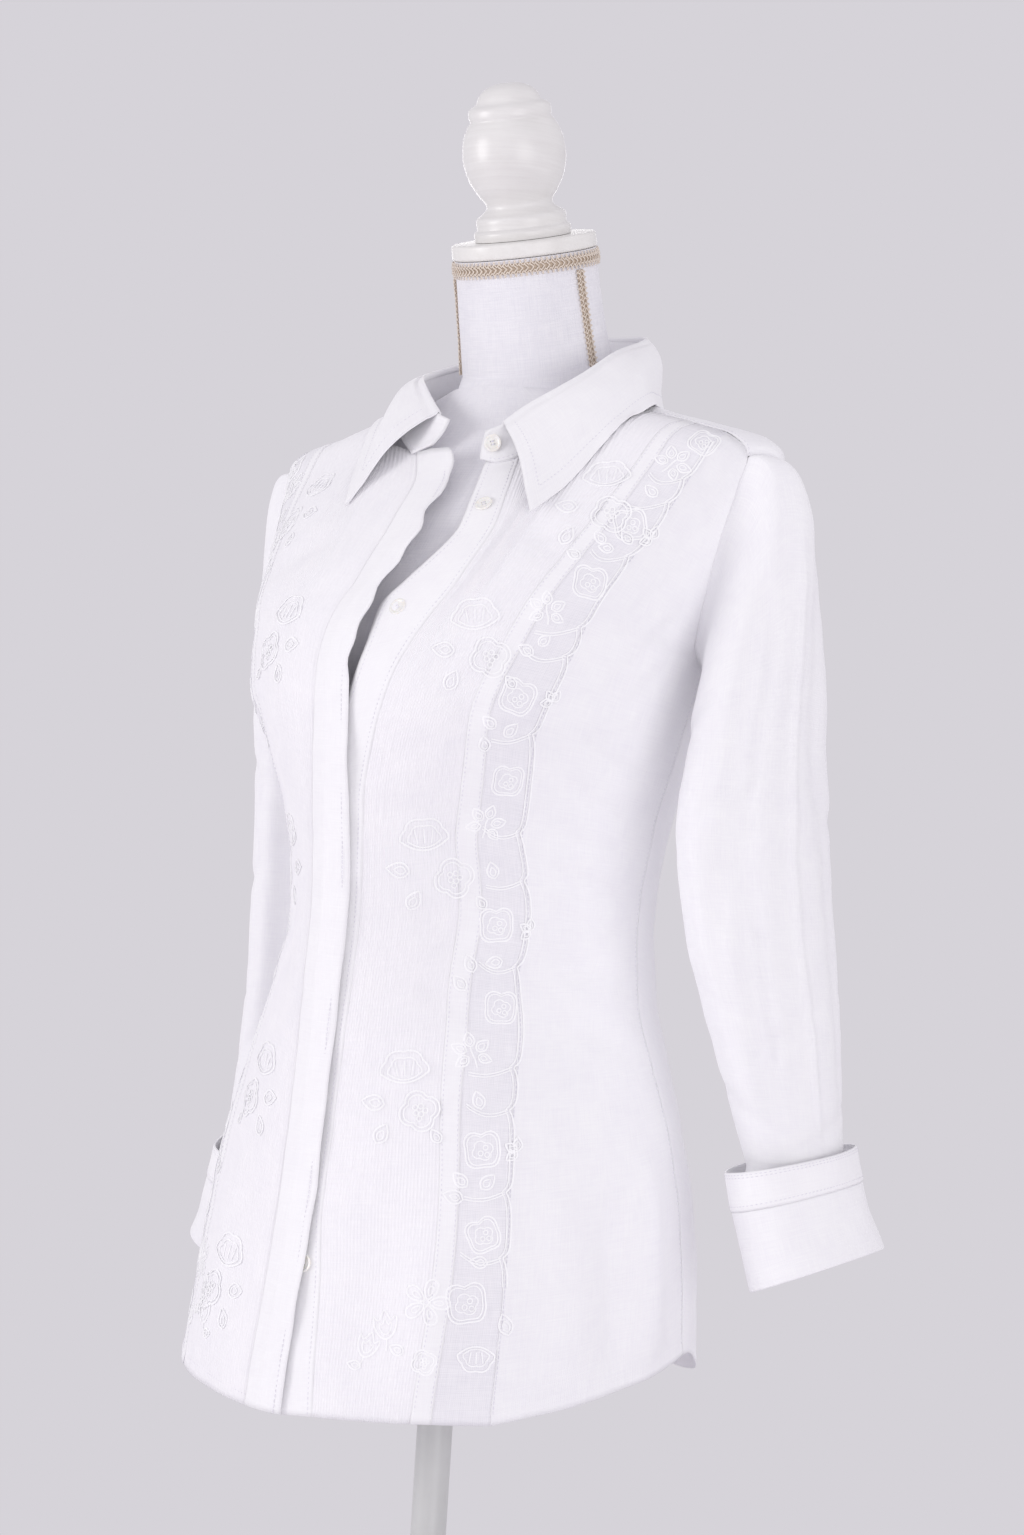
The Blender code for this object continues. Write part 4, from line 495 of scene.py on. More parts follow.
def hem_height(degrees):
    """Height of the curved hem at angles from the centre front."""
    degrees = np.asarray(degrees, float)
    rise = np.where((degrees < 0.0) & (degrees > -SIDE_SEAM_SHARE),
                    RIGHT_HEM_RISE * np.sin(math.pi * degrees / -SIDE_SEAM_SHARE), 0.0)
    return read(HEM_ROWS, np.abs(degrees))[..., 0] + rise


def hem_fold(turn, height):
    """Extra thickness where the hem is turned up."""
    degrees = np.degrees(turned_back(np.asarray(turn, float)))
    above = height - hem_height(degrees)
    return 0.0006 * np.clip((HEM_FOLD - above) / 0.0012, 0.0, 1.0)


def turned_back(angle):
    """Angles brought between minus and plus half a turn."""
    return (angle + math.pi) % (2.0 * math.pi) - math.pi


def srgb(code):
    """A hex colour as linear red, green, blue and 1."""
    channels = [int(code[k:k + 2], 16) / 255.0 for k in (1, 3, 5)]
    linear = [c / 12.92 if c <= 0.04045 else ((c + 0.055) / 1.055) ** 2.4 for c in channels]
    return (*linear, 1.0)


def node(tree, kind, links=(), **settings):
    """One shader node with its settings, and links from other nodes' outputs into its sockets."""
    made = tree.nodes.new(kind)
    for key, value in settings.items():
        if key.startswith("in_"):
            made.inputs[key[3:].replace("_", " ")].default_value = value
        else:
            setattr(made, key, value)
    for source, output, socket in links:
        tree.links.new(source.outputs[output], made.inputs[socket])
    return made


def finish_base(name, roughness, **sockets):
    """A new material with its shader, and the values that are the same all over it."""
    made = bpy.data.materials.new(name)
    made.use_nodes = True
    shader = made.node_tree.nodes["Principled BSDF"]
    shader.inputs["Roughness"].default_value = roughness
    for key, value in sockets.items():
        shader.inputs[key.replace("_", " ")].default_value = value
    return made, made.node_tree, shader


def ramp(tree, source, output, stops):
    """A colour ramp from sRGB stops."""
    made = node(tree, "ShaderNodeValToRGB", ((source, output, "Fac"),))
    bands = made.color_ramp
    while len(bands.elements) < len(stops):
        bands.elements.new(0.5)
    for element, (place, code) in zip(bands.elements, stops):
        element.position = place
        element.color = srgb(code)
    return made


def woven(name, light, shade, thread, roughness, slub, crush, alpha=None, sheen=0.25):
    """Plain-woven cloth: threads both ways at their spacing in millimetres, slubs, and crushed patches.

    The coordinates are metres along and across the cloth, so the weave follows each piece's grain.
    """
    made, tree, shader = finish_base(name, roughness, Sheen_Weight=sheen, Sheen_Roughness=0.5,
                                     IOR=1.46)
    place = node(tree, "ShaderNodeTexCoord")
    metres = node(tree, "ShaderNodeMapping", ((place, "UV", "Vector"),), in_Scale=(1000.0, 1000.0, 1.0))
    band = 0.314 / (2.0 * thread)
    warp = node(tree, "ShaderNodeTexWave", ((metres, "Vector", "Vector"),), bands_direction="X",
                in_Scale=band, in_Distortion=0.6, in_Detail=1.0, in_Detail_Scale=0.4)
    weft = node(tree, "ShaderNodeTexWave", ((metres, "Vector", "Vector"),), bands_direction="Y",
                in_Scale=band, in_Distortion=0.6, in_Detail=1.0, in_Detail_Scale=0.4)
    weave = node(tree, "ShaderNodeMath", ((warp, "Fac", 0), (weft, "Fac", 1)), operation="MULTIPLY")
    long_way = node(tree, "ShaderNodeMapping", ((place, "UV", "Vector"),), in_Scale=(1400.0, 55.0, 1.0))
    cross_way = node(tree, "ShaderNodeMapping", ((place, "UV", "Vector"),), in_Scale=(55.0, 1400.0, 1.0))
    slub_up = node(tree, "ShaderNodeTexNoise", ((long_way, "Vector", "Vector"),), in_Scale=1.0, in_Detail=2.0)
    slub_over = node(tree, "ShaderNodeTexNoise", ((cross_way, "Vector", "Vector"),), in_Scale=1.0,
                     in_Detail=2.0)
    slubs = node(tree, "ShaderNodeMath", ((slub_up, "Fac", 0), (slub_over, "Fac", 1)), operation="ADD")
    patches = node(tree, "ShaderNodeTexNoise", ((place, "Object", "Vector"),), in_Scale=38.0, in_Detail=5.0,
                   in_Roughness=0.62, in_Distortion=0.8)
    creased = node(tree, "ShaderNodeTexNoise", ((place, "Object", "Vector"),), in_Scale=95.0, in_Detail=3.0,
                   in_Distortion=1.6)
    tone = node(tree, "ShaderNodeMath", ((slubs, "Value", 0), (patches, "Fac", 1)), operation="ADD")
    level = node(tree, "ShaderNodeMapRange", ((tone, "Value", "Value"),), in_From_Min=1.1, in_From_Max=1.9)
    colour = ramp(tree, level, "Result", ((0.0, shade), (1.0, light)))
    tree.links.new(colour.outputs["Color"], shader.inputs["Base Color"])
    fine = node(tree, "ShaderNodeBump", ((weave, "Value", "Height"),), in_Strength=0.55,
                in_Distance=0.00010)
    ribs = node(tree, "ShaderNodeBump", ((slubs, "Value", "Height"), (fine, "Normal", "Normal")),
                in_Strength=slub, in_Distance=0.00022)
    soft = node(tree, "ShaderNodeBump", ((patches, "Fac", "Height"), (ribs, "Normal", "Normal")),
                in_Strength=crush, in_Distance=0.0016)
    last = node(tree, "ShaderNodeBump", ((creased, "Fac", "Height"), (soft, "Normal", "Normal")),
                in_Strength=crush * 0.7, in_Distance=0.0007)
    tree.links.new(last.outputs["Normal"], shader.inputs["Normal"])
    rough = node(tree, "ShaderNodeMapRange", ((patches, "Fac", "Value"),), in_To_Min=roughness - 0.06,
                 in_To_Max=min(1.0, roughness + 0.06))
    tree.links.new(rough.outputs["Result"], shader.inputs["Roughness"])
    if alpha is not None:
        gauze = node(tree, "ShaderNodeMath", ((weave, "Value", 0), (slubs, "Value", 1)), operation="ADD")
        gaps = node(tree, "ShaderNodeMapRange", ((gauze, "Value", "Value"),), in_From_Min=0.5,
                    in_From_Max=1.8,
                    in_To_Min=alpha[0], in_To_Max=alpha[1])
        tree.links.new(gaps.outputs["Result"], shader.inputs["Alpha"])
    return made


def corded(name, light, shade, twist, roughness, sheen=0.3, painted_glow=0.0):
    """Twisted thread: slanting plies round it, coloured lighter on their backs and darker in the grooves between them
    as painted shade; painted_glow is a faint emission in the light colour, a painted glow that stands for light coming
    through the cord.
    """
    made, tree, shader = finish_base(name, roughness, Sheen_Weight=sheen, IOR=1.46, Emission_Strength=painted_glow)
    # Painted glow: the cord gives off a little light in its own light colour, though it is no lamp.
    shader.inputs["Emission Color"].default_value = srgb(light)
    place = node(tree, "ShaderNodeTexCoord")
    slant = node(tree, "ShaderNodeMapping", ((place, "UV", "Vector"),), in_Scale=(1000.0, 1000.0, 1.0),
                 in_Rotation=(0.0, 0.0, math.radians(38.0)))
    plies = node(tree, "ShaderNodeTexWave", ((slant, "Vector", "Vector"),), bands_direction="X",
                 in_Scale=0.314 / twist, in_Distortion=0.8, in_Detail=1.0)
    fuzz = node(tree, "ShaderNodeTexNoise", ((place, "Object", "Vector"),), in_Scale=900.0, in_Detail=2.0)
    tone = node(tree, "ShaderNodeMath", ((plies, "Fac", 0), (fuzz, "Fac", 1)), operation="MULTIPLY")
    # Painted shade: the ramp colours the grooves between the plies darker and their backs lighter, with random fuzz on
    # top.
    colour = ramp(tree, tone, "Value", ((0.05, shade), (0.55, light)))
    tree.links.new(colour.outputs["Color"], shader.inputs["Base Color"])
    bump = node(tree, "ShaderNodeBump", ((plies, "Fac", "Height"),), in_Strength=0.45, in_Distance=0.00012)
    tree.links.new(bump.outputs["Normal"], shader.inputs["Normal"])
    return made


def painted(name, light, shade, grain, roughness, speck, coat=0.25):
    """Sprayed or brushed paint: soft brush lines, a few knocks and specks, and a clear gloss."""
    made, tree, shader = finish_base(name, roughness, IOR=1.5, Coat_Weight=coat, Coat_Roughness=0.22)
    place = node(tree, "ShaderNodeTexCoord")
    stretch = node(tree, "ShaderNodeMapping", ((place, "Object", "Vector"),), in_Scale=grain)
    brush = node(tree, "ShaderNodeTexNoise", ((stretch, "Vector", "Vector"),), in_Scale=1.0, in_Detail=4.0,
                 in_Roughness=0.6)
    blotch = node(tree, "ShaderNodeTexNoise", ((place, "Object", "Vector"),), in_Scale=26.0, in_Detail=3.0)
    peel = node(tree, "ShaderNodeTexNoise", ((place, "Object", "Vector"),), in_Scale=650.0, in_Detail=1.0)
    chips = node(tree, "ShaderNodeTexVoronoi", ((place, "Object", "Vector"),), in_Scale=190.0)
    tone = node(tree, "ShaderNodeMath", ((brush, "Fac", 0), (blotch, "Fac", 1)), operation="ADD")
    level = node(tree, "ShaderNodeMapRange", ((tone, "Value", "Value"),), in_From_Min=0.7, in_From_Max=1.3)
    colour = ramp(tree, level, "Result", ((0.0, shade), (1.0, light)))
    mark = node(tree, "ShaderNodeMapRange", ((chips, "Distance", "Value"),), in_From_Min=0.0,
                in_From_Max=speck, in_To_Min=0.94, in_To_Max=1.0)
    worn = node(tree, "ShaderNodeMixRGB", ((colour, "Color", "Color1"), (mark, "Result", "Color2")),
                blend_type="MULTIPLY", in_Fac=1.0)
    tree.links.new(worn.outputs["Color"], shader.inputs["Base Color"])
    rough = node(tree, "ShaderNodeMapRange", ((blotch, "Fac", "Value"),), in_To_Min=roughness - 0.07,
                 in_To_Max=roughness + 0.09)
    tree.links.new(rough.outputs["Result"], shader.inputs["Roughness"])
    strokes = node(tree, "ShaderNodeBump", ((brush, "Fac", "Height"),), in_Strength=0.18, in_Distance=0.0006)
    skin = node(tree, "ShaderNodeBump", ((peel, "Fac", "Height"), (strokes, "Normal", "Normal")),
                in_Strength=0.14, in_Distance=0.0002)
    tree.links.new(skin.outputs["Normal"], shader.inputs["Normal"])
    return made


# Bleached cotton poplin, washed and hung: matt, softly crushed, its threads just seen. The real thread
# spacing of 0.2 mm is too fine for the render and is drawn at 0.45 mm.
WASHED_POPLIN = woven("washed_cotton_poplin", "#FBFBFC", "#F4F3F7", 0.45, 0.86, 0.20, 0.20)
# The same cotton over the pintucks: pressed, so smoother between the tucks.
TUCKED_POPLIN = woven("tucked_cotton_poplin", "#FBFAFC", "#F4F3F7", 0.45, 0.86, 0.14, 0.10)
# Interlined poplin of plackets, collar and cuffs: firm and opaque, so whiter and flatter.
INTERLINED_POPLIN = woven("interlined_poplin", "#FCFCFD", "#F6F5F8", 0.45, 0.82, 0.14, 0.14, sheen=0.2)
# Cotton voile of the strips: open weave that lets the shade behind it through.
VOILE = woven("sheer_cotton_voile", "#F9F8FB", "#F2F1F6", 0.50, 0.88, 0.26, 0.10, alpha=(0.90, 1.0))
# Linen cover of the form: coarser and bluer white, with plain slubs.
LINEN = woven("form_linen_cover", "#F4F3F6", "#E7E6EC", 0.8, 0.9, 0.55, 0.16, sheen=0.15)
# Mercerised cotton cord, couched by machine: a clean white with a little silk in its light, and a painted glow from a
# faint emission.
CORD = corded("mercerised_embroidery_cord_painted_glow", "#FFFFFF", "#FAFAFC", 0.9, 0.5, 0.4, painted_glow=0.05)
# Sewing thread: spun polyester, matt; its plies are coloured darker in their grooves as painted shade.
THREAD = corded("spun_sewing_thread", "#FBFAFD", "#DDDBE6", 0.5, 0.6, 0.2)
# Gimp braid: rayon cord over cotton, cream, with painted shade in the valleys between its cords: plies coloured darker
# in their grooves, and a darker core under the cords.
GIMP = corded("rayon_gimp_braid", "#F3EADF", "#D8C8B6", 1.0, 0.55, 0.5)
# The core is coloured darker than the cords as painted shade in the gaps between them.
GIMP_CORE_PAINTED_SHADE = corded("gimp_braid_core_painted_shade", "#D9CAB8", "#BFAD99", 0.8, 0.7, 0.3)
# Turned beech under brushed satin paint: warm off-white, soft gloss, faint lines round the turning.
FINIAL_PAINT = painted("satin_painted_beech", "#EDECEA", "#E3E1DF", (18.0, 18.0, 420.0), 0.36, 0.10, 0.35)
CAP_PAINT = painted("satin_painted_cap", "#F1F0ED", "#E8E6E2", (160.0, 22.0, 160.0), 0.4, 0.10, 0.25)
# Steel tube with light grey powder coat: fine peel, satin.
POLE_PAINT = painted("powder_coated_tube", "#CFD0CE", "#C5C6C4", (60.0, 60.0, 9.0), 0.38, 0.06, 0.2)
# Pressed steel base with off-white coat, a little scuffed.
BASE_PAINT = painted("powder_coated_base", "#E6E5E4", "#D9D8D7", (14.0, 60.0, 60.0), 0.42, 0.12, 0.2)


def shell_button_finish():
    """Cast polyester button: ivory, faint cloud in its depth, polished by tumbling."""
    made, tree, shader = finish_base("cast_ivory_button", 0.24, IOR=1.54, Coat_Weight=0.3,
                                     Coat_Roughness=0.12,
                                     Subsurface_Weight=0.15, Subsurface_Scale=0.002)
    shader.inputs["Subsurface Radius"].default_value = (1.0, 0.8, 0.6)
    place = node(tree, "ShaderNodeTexCoord")
    cloud = node(tree, "ShaderNodeTexNoise", ((place, "Object", "Vector"),), in_Scale=240.0, in_Detail=3.0,
                 in_Distortion=2.2)
    colour = ramp(tree, cloud, "Fac", ((0.3, "#F2EFE7"), (0.7, "#FBFAF6")))
    tree.links.new(colour.outputs["Color"], shader.inputs["Base Color"])
    bump = node(tree, "ShaderNodeBump", ((cloud, "Fac", "Height"),), in_Strength=0.12, in_Distance=0.0002)
    tree.links.new(bump.outputs["Normal"], shader.inputs["Normal"])
    return made


BUTTON = shell_button_finish()


def show(name, mesh, finish, smooth=50.0):
    """Link a mesh as a piece of the object with its finish and material slot."""
    mesh.materials.clear()
    mesh.materials.append(finish)
    mesh.shade_smooth()
    mesh.set_sharp_from_angle(angle=math.radians(smooth))
    piece = bpy.data.objects.new(name, mesh)
    bpy.context.scene.collection.objects.link(piece)
    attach(piece, "root")
    return piece


def grid_mesh(name, points, closed=False, flip=False):
    """Mesh of a grid of points, with its lengths along and across as UV in metres."""
    rows, columns = points.shape[:2]
    index = np.arange(rows * columns).reshape(rows, columns)
    if closed:
        index = np.concatenate([index, index[:, :1]], axis=1)
        wide = np.concatenate([points, points[:, :1]], axis=1)
    else:
        wide = points
    quads = np.stack([index[:-1, :-1], index[:-1, 1:], index[1:, 1:], index[1:, :-1]], axis=-1).reshape(-1, 4)
    across = np.linalg.norm(np.diff(wide, axis=1), axis=2).mean(axis=0)
    along = np.linalg.norm(np.diff(wide, axis=0), axis=2).mean(axis=1)
    u = np.concatenate([[0.0], np.cumsum(across)])
    v = np.concatenate([[0.0], np.cumsum(along)])
    grid_uv = np.stack(np.meshgrid(u, v), axis=-1)
    corner = np.stack([grid_uv[:-1, :-1], grid_uv[:-1, 1:], grid_uv[1:, 1:], grid_uv[1:, :-1]], axis=2)
    corner = corner.reshape(-1, 4, 2)
    if flip:
        quads = quads[:, ::-1]
        corner = corner[:, ::-1]
    mesh = bpy.data.meshes.new(name)
    mesh.from_pydata(points.reshape(-1, 3).tolist(), [], quads.tolist())
    layer = mesh.uv_layers.new(name="UVMap")
    layer.data.foreach_set("uv", corner.reshape(-1).astype(np.float32))
    mesh.update()
    return mesh


def cloth_piece(name, points, finish, thickness=POPLIN, closed=False, smooth=60.0, middle=None):
    """A cut of cloth as a thin shell whose outer face is the grid; middle is what the face looks away from."""
    if middle is None:
        middle = points * np.array((0.0, 0.0, 1.0)) + np.array((0.0, 0.02, 0.0))
    normals = np.cross(points[:-1, 1:] - points[:-1, :-1], points[1:, :-1] - points[:-1, :-1])
    flip = bool(np.sum(normals * (points - middle)[:-1, :-1]) < 0.0)
    piece = show(name, grid_mesh(name, points, closed, flip), finish, smooth)
    shell = piece.modifiers.new("cloth", "SOLIDIFY")
    shell.thickness = thickness
    shell.offset = -1.0
    shell.use_even_offset = False
    return piece


def cut_of(points, spare, closed=False):
    """Measure a piece's cut from its grid: width and length with the seams' spare, and its area; nothing is kept or
    returned.
    """
    wide = np.concatenate([points, points[:, :1]], axis=1) if closed else points
    width = float(np.linalg.norm(np.diff(wide, axis=1), axis=2).sum(axis=1).max())
    length = float(np.linalg.norm(np.diff(wide, axis=0), axis=2).sum(axis=0).max())
    a = wide[1:, :-1] - wide[:-1, :-1]
    b = wide[:-1, 1:] - wide[:-1, :-1]
    area = float(np.linalg.norm(np.cross(a, b), axis=2).sum())
    width = round(width + spare, 3)
    length = round(length + spare, 3)
    area = max(0.31 * width * length, min(area * 1.02, width * length))


def tube(points, normals, radius, sides=5, closed=False, flat=0.75):
    """Vertices and faces of a thin cord along a line that lies on a surface."""
    line = np.asarray(points, float)
    if closed:
        step = np.roll(line, -1, axis=0) - np.roll(line, 1, axis=0)
    else:
        step = np.gradient(line, axis=0)
    step = step / (np.linalg.norm(step, axis=1, keepdims=True) + 1e-12)
    side = np.cross(step, normals)
    side = side / (np.linalg.norm(side, axis=1, keepdims=True) + 1e-12)
    up = np.cross(side, step)
    angles = np.linspace(0.0, 2.0 * math.pi, sides, endpoint=False)
    ring = (side[:, None] * np.cos(angles)[None, :, None] + up[:, None] * (flat * np.sin(angles))[None, :,
                                                                                                  None])
    verts = line[:, None] + ring * radius
    count = len(line)
    rows = np.arange(count * sides).reshape(count, sides)
    rows = np.concatenate([rows, rows[:, :1]], axis=1)
    if closed:
        rows = np.concatenate([rows, rows[:1]], axis=0)
    quads = np.stack([rows[:-1, :-1], rows[:-1, 1:], rows[1:, 1:], rows[1:, :-1]], axis=-1).reshape(-1, 4)
    runs = np.concatenate([[0.0], np.cumsum(np.linalg.norm(np.diff(line, axis=0), axis=1))])
    if closed:
        runs = np.append(runs, runs[-1] + np.linalg.norm(line[0] - line[-1]))
    turn = np.arange(sides + 1) / sides * 2.0 * math.pi * radius
    grid = np.stack(np.meshgrid(turn, runs), axis=-1)
    corner = np.stack([grid[:-1, :-1], grid[:-1, 1:], grid[1:, 1:], grid[1:, :-1]], axis=2).reshape(-1, 4, 2)
    faces = [tuple(q) for q in quads.tolist()]
    if not closed:
        faces.append(tuple(range(sides)))
        faces.append(tuple(range(count * sides - 1, count * sides - sides - 1, -1)))
        caps = np.zeros((2 * sides, 2))
        uv = np.concatenate([corner.reshape(-1, 2), caps])
    else:
        uv = corner.reshape(-1, 2)
    return verts.reshape(-1, 3), faces, uv


def joined(name, parts, finish, smooth=70.0):
    """One piece from many small meshes given as vertices, faces and UVs."""
    verts = []
    faces = []
    uvs = []
    base = 0
    for v, f, uv in parts:
        verts.append(v)
        faces.extend([tuple(i + base for i in face) for face in f])
        uvs.append(uv)
        base += len(v)
    mesh = bpy.data.meshes.new(name)
    mesh.from_pydata(np.concatenate(verts).tolist(), [], faces)
    layer = mesh.uv_layers.new(name="UVMap")
    layer.data.foreach_set("uv", np.concatenate(uvs).reshape(-1).astype(np.float32))
    mesh.update()
    return show(name, mesh, finish, smooth)


def seam_line(rows, column, top, hem_degrees, shares, sign=1.0):
    """Turns and heights of a front seam from the hem to its top."""
    bottom = float(hem_height(hem_degrees * sign))
    height = bottom + (top - bottom) * shares
    return turn_at_x(read(rows, height)[:, column] * sign, height), height


def side_line(sign, arm_rows, top, shares):
    """Side seam to the underarm, then one edge of the armhole."""
    bottom = float(hem_height(SIDE_SEAM_SHARE))
    low = bottom + (UNDERARM - bottom) * shares / UNDERARM_SHARE
    high = UNDERARM + (top - UNDERARM) * (shares - UNDERARM_SHARE) / (1.0 - UNDERARM_SHARE)
    height = np.where(shares <= UNDERARM_SHARE, low, high)
    y = np.where(shares <= UNDERARM_SHARE, read(SIDE_ROWS, height)[:, 0], read(arm_rows, height)[:, 0])
    return sign * turn_at_y(y, height), height


def between(first, second, columns):
    """Turns and heights of a panel between two seams, lapped a little over each so that no gap shows."""
    a = section_point(*first)
    b = section_point(*second)
    span = np.linalg.norm(b - a, axis=1)
    inset = (-LAP / np.maximum(span, 0.004))[:, None]
    share = inset + (1.0 - 2.0 * inset) * np.linspace(0.0, 1.0, columns + 1)[None, :]
    turn = first[0][:, None] + (second[0] - first[0])[:, None] * share
    height = first[1][:, None] + (second[1] - first[1])[:, None] * share
    return turn, height


def front_lines(sign, shares):
    """Every seam of one front."""
    in_top = float(height_over(0.148, YOKE_FRONT_Y))
    out_top = float(height_over(0.172, YOKE_FRONT_Y))
    band_top = float(height_over(0.148 - BAND_WIDTH, YOKE_FRONT_Y))
    band_rows = [(row[0], row[1] - BAND_WIDTH) for row in STRIP_ROWS]
    lines = {
        "band": seam_line(band_rows, 0, band_top, 33.0, shares, sign),
        "strip_in": seam_line(STRIP_ROWS, 0, in_top, 38.0, shares, sign),
        "strip_out": seam_line(STRIP_ROWS, 1, out_top, 46.0, shares, sign),
        "side": side_line(sign, ARM_FRONT_ROWS, ARM_FRONT_ROWS[-1][0], shares),
    }
    if sign > 0.0:
        lines["placket"] = seam_line(FRONT_ROWS, 1, NECK_SEAM_TOP[1], 14.0, shares)
    else:
        fly = [(row[0], row[3] - FLY_WIDTH + FLY_LAP) for row in FRONT_ROWS]
        lines["placket"] = seam_line(fly, 0, NECK_SEAM_TOP_RIGHT, -4.0, shares)
    return lines


def neck_line(sign, start, end, shares):
    """Top edge of the tucked panel: the neck seam, then the yoke seam."""
    points = [start]
    for x, y in NECK_LEFT + tuple((x, YOKE_FRONT_Y) for x in YOKE_STATIONS):
        points.append(np.array((x * sign, y, float(height_over(x, y)))))
    points.append(end)
    data = np.array(points)
    runs = np.concatenate([[0.0], np.cumsum(np.linalg.norm(np.diff(data, axis=0), axis=1))])
    return np.stack([np.interp(shares, runs / runs[-1], data[:, axis]) for axis in range(3)], axis=-1)


def tucked_points(sign, lines, shares, columns):
    """Points on the body of the tucked panel, its upper rows bent up to the neck seam."""
    turn, height = between(lines["placket"], lines["band"], columns)
    points = section_point(turn, height)
    left = points[:, 0].copy()
    right = points[:, -1].copy()
    across = np.linspace(0.0, 1.0, columns + 1)
    top = neck_line(sign, left[-1], right[-1], across)
    base = int(np.searchsorted(shares, TUCK_BEND))
    w = ((shares[base:] - shares[base]) / (1.0 - shares[base]))[:, None, None]
    share = across[None, :, None]
    bent = points[base][None] * (1.0 - w) + top[None] * w
    wl, wr = w[:, 0], w[:, 0]
    first = left[base] * (1.0 - wl) + left[-1] * wl
    last = right[base] * (1.0 - wr) + right[-1] * wr
    bent = bent + (left[base:] - first)[:, None] * (1.0 - share) + (right[base:] - last)[:, None] * share
    centre = np.stack([bent[..., 0] * 0.5, np.full(bent.shape[:-1], 0.035),
                       np.minimum(bent[..., 2], 1.27) - 0.01], axis=-1)
    direction = bent - centre
    direction = direction / np.linalg.norm(direction, axis=-1, keepdims=True)
    points[base:] = surface_from(centre, direction)
    return points


def build_front(sign, word):
    """The fine cloth of one front but its placket."""
    shares = np.linspace(0.0, 1.0, ROWS + 1)
    lines = front_lines(sign, shares)
    columns = TUCKS * TUCK_STEPS
    points = tucked_points(sign, lines, shares, columns)
    order = np.arange(columns + 1)
    shape = np.array(TUCK_SHAPE)[order % TUCK_STEPS]
    shape[:3] = 0.0
    shape[-3:] = 0.0
    tuck = order // TUCK_STEPS
    rng = np.random.default_rng(11 if sign > 0.0 else 12)
    own = rng.uniform(0.85, 1.12, TUCKS + 1)[tuck]
    pull = 1.0 + 0.06 * np.sin(shares[:, None] * 180.0 + rng.uniform(0.0, 6.28, TUCKS + 1)[tuck][None, :])
    lift = CLOTH + TUCK_HEIGHT * shape[None, :] * own[None, :] * pull
    outer = dressed(points, lift)
    piece = cloth_piece("front_tucked_%s_cloth" % word, outer, TUCKED_POPLIN, smooth=75.0)
    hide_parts("front_tucked_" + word)
    cut_of(outer, 0.02)
    panels = (("front_band_", "band", "strip_in", 6, INTERLINED_POPLIN, "cloth", 0.0003),
              ("front_sheer_strip_", "strip_in", "strip_out", 16, VOILE, "sheer", 0.0),
              ("front_outer_", "strip_out", "side", 60, WASHED_POPLIN, "cloth", 0.0))
    for name, first, second, count, finish, slot, more in panels:
        turn, height = between(lines[first], lines[second], count)
        grid = dressed(section_point(turn, height), CLOTH + more + hem_fold(turn, height))
        made = cloth_piece(name + word + "_cloth", grid, finish)
        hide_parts(name + word)
        cut_of(grid, 0.02)
    return lines


def build_plackets():
    """The button placket of the left front, and the fly that closes over it."""
    shares = np.linspace(0.0, 1.0, ROWS + 1)
    edge = seam_line(FRONT_ROWS, 0, NECK_SEAM_TOP[0], 2.0, shares)
    seam = seam_line(FRONT_ROWS, 1, NECK_SEAM_TOP[1], 14.0, shares)
    turn, height = between(edge, seam, 14)
    across = np.linspace(0.0, 1.0, 15)[None, :]
    soft = 0.00035 * np.sin(height * 165.0 + 1.3) * (across - 0.5)
    roll = -0.0007 * (np.clip(1.0 - across / 0.08, 0.0, 1.0)) ** 2
    grid = dressed(section_point(turn, height), CLOTH + 0.0002 + soft * 0.6 + roll)
    piece = cloth_piece("placket_left_cloth", grid, INTERLINED_POPLIN, 0.0009)
    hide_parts("placket_left")
    cut_of(grid, 0.02)
    fly_seam = [(row[0], row[3] - FLY_WIDTH) for row in FRONT_ROWS]
    free = seam_line(FRONT_ROWS, 2, NECK_SEAM_TOP_RIGHT, 5.0, shares)
    sewn = seam_line(fly_seam, 0, NECK_SEAM_TOP_RIGHT, -5.0, shares)
    turn, height = between(sewn, free, 20)
    across = np.linspace(0.0, 1.0, 21)[None, :]
    seat = CLOTH + SEAM
    lift = seat + (FLY_LIFT - seat) * np.minimum(1.0, across * 2.2) + STIFF
    wave = 0.0008 * np.sin(height * 58.0 + 0.8) + 0.0005 * np.sin(height * 133.0)
    lift = lift + wave * across ** 2 - 0.0010 * np.clip((across - 0.93) / 0.07, 0.0, 1.0) ** 2
    fly = dressed(section_point(turn, height), lift)
    slack = np.clip((height - 1.130) / 0.05, 0.0, 1.0) * across ** 2
    fly[..., 0] += slack * (0.0030 * np.sin(height * 118.0 + 0.6) + 0.0016 * np.sin(height * 260.0))
    fly[..., 1] -= slack * (0.0022 + 0.0022 * np.sin(height * 96.0 + 2.1))
    piece = cloth_piece("placket_right_fly_cloth", fly, INTERLINED_POPLIN, 0.0011)
    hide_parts("placket_right_fly")
    cut_of(fly, 0.02)
    return (edge, seam), (sewn, free)


BACK_COLUMNS = 120        # columns of the back from side seam to side seam


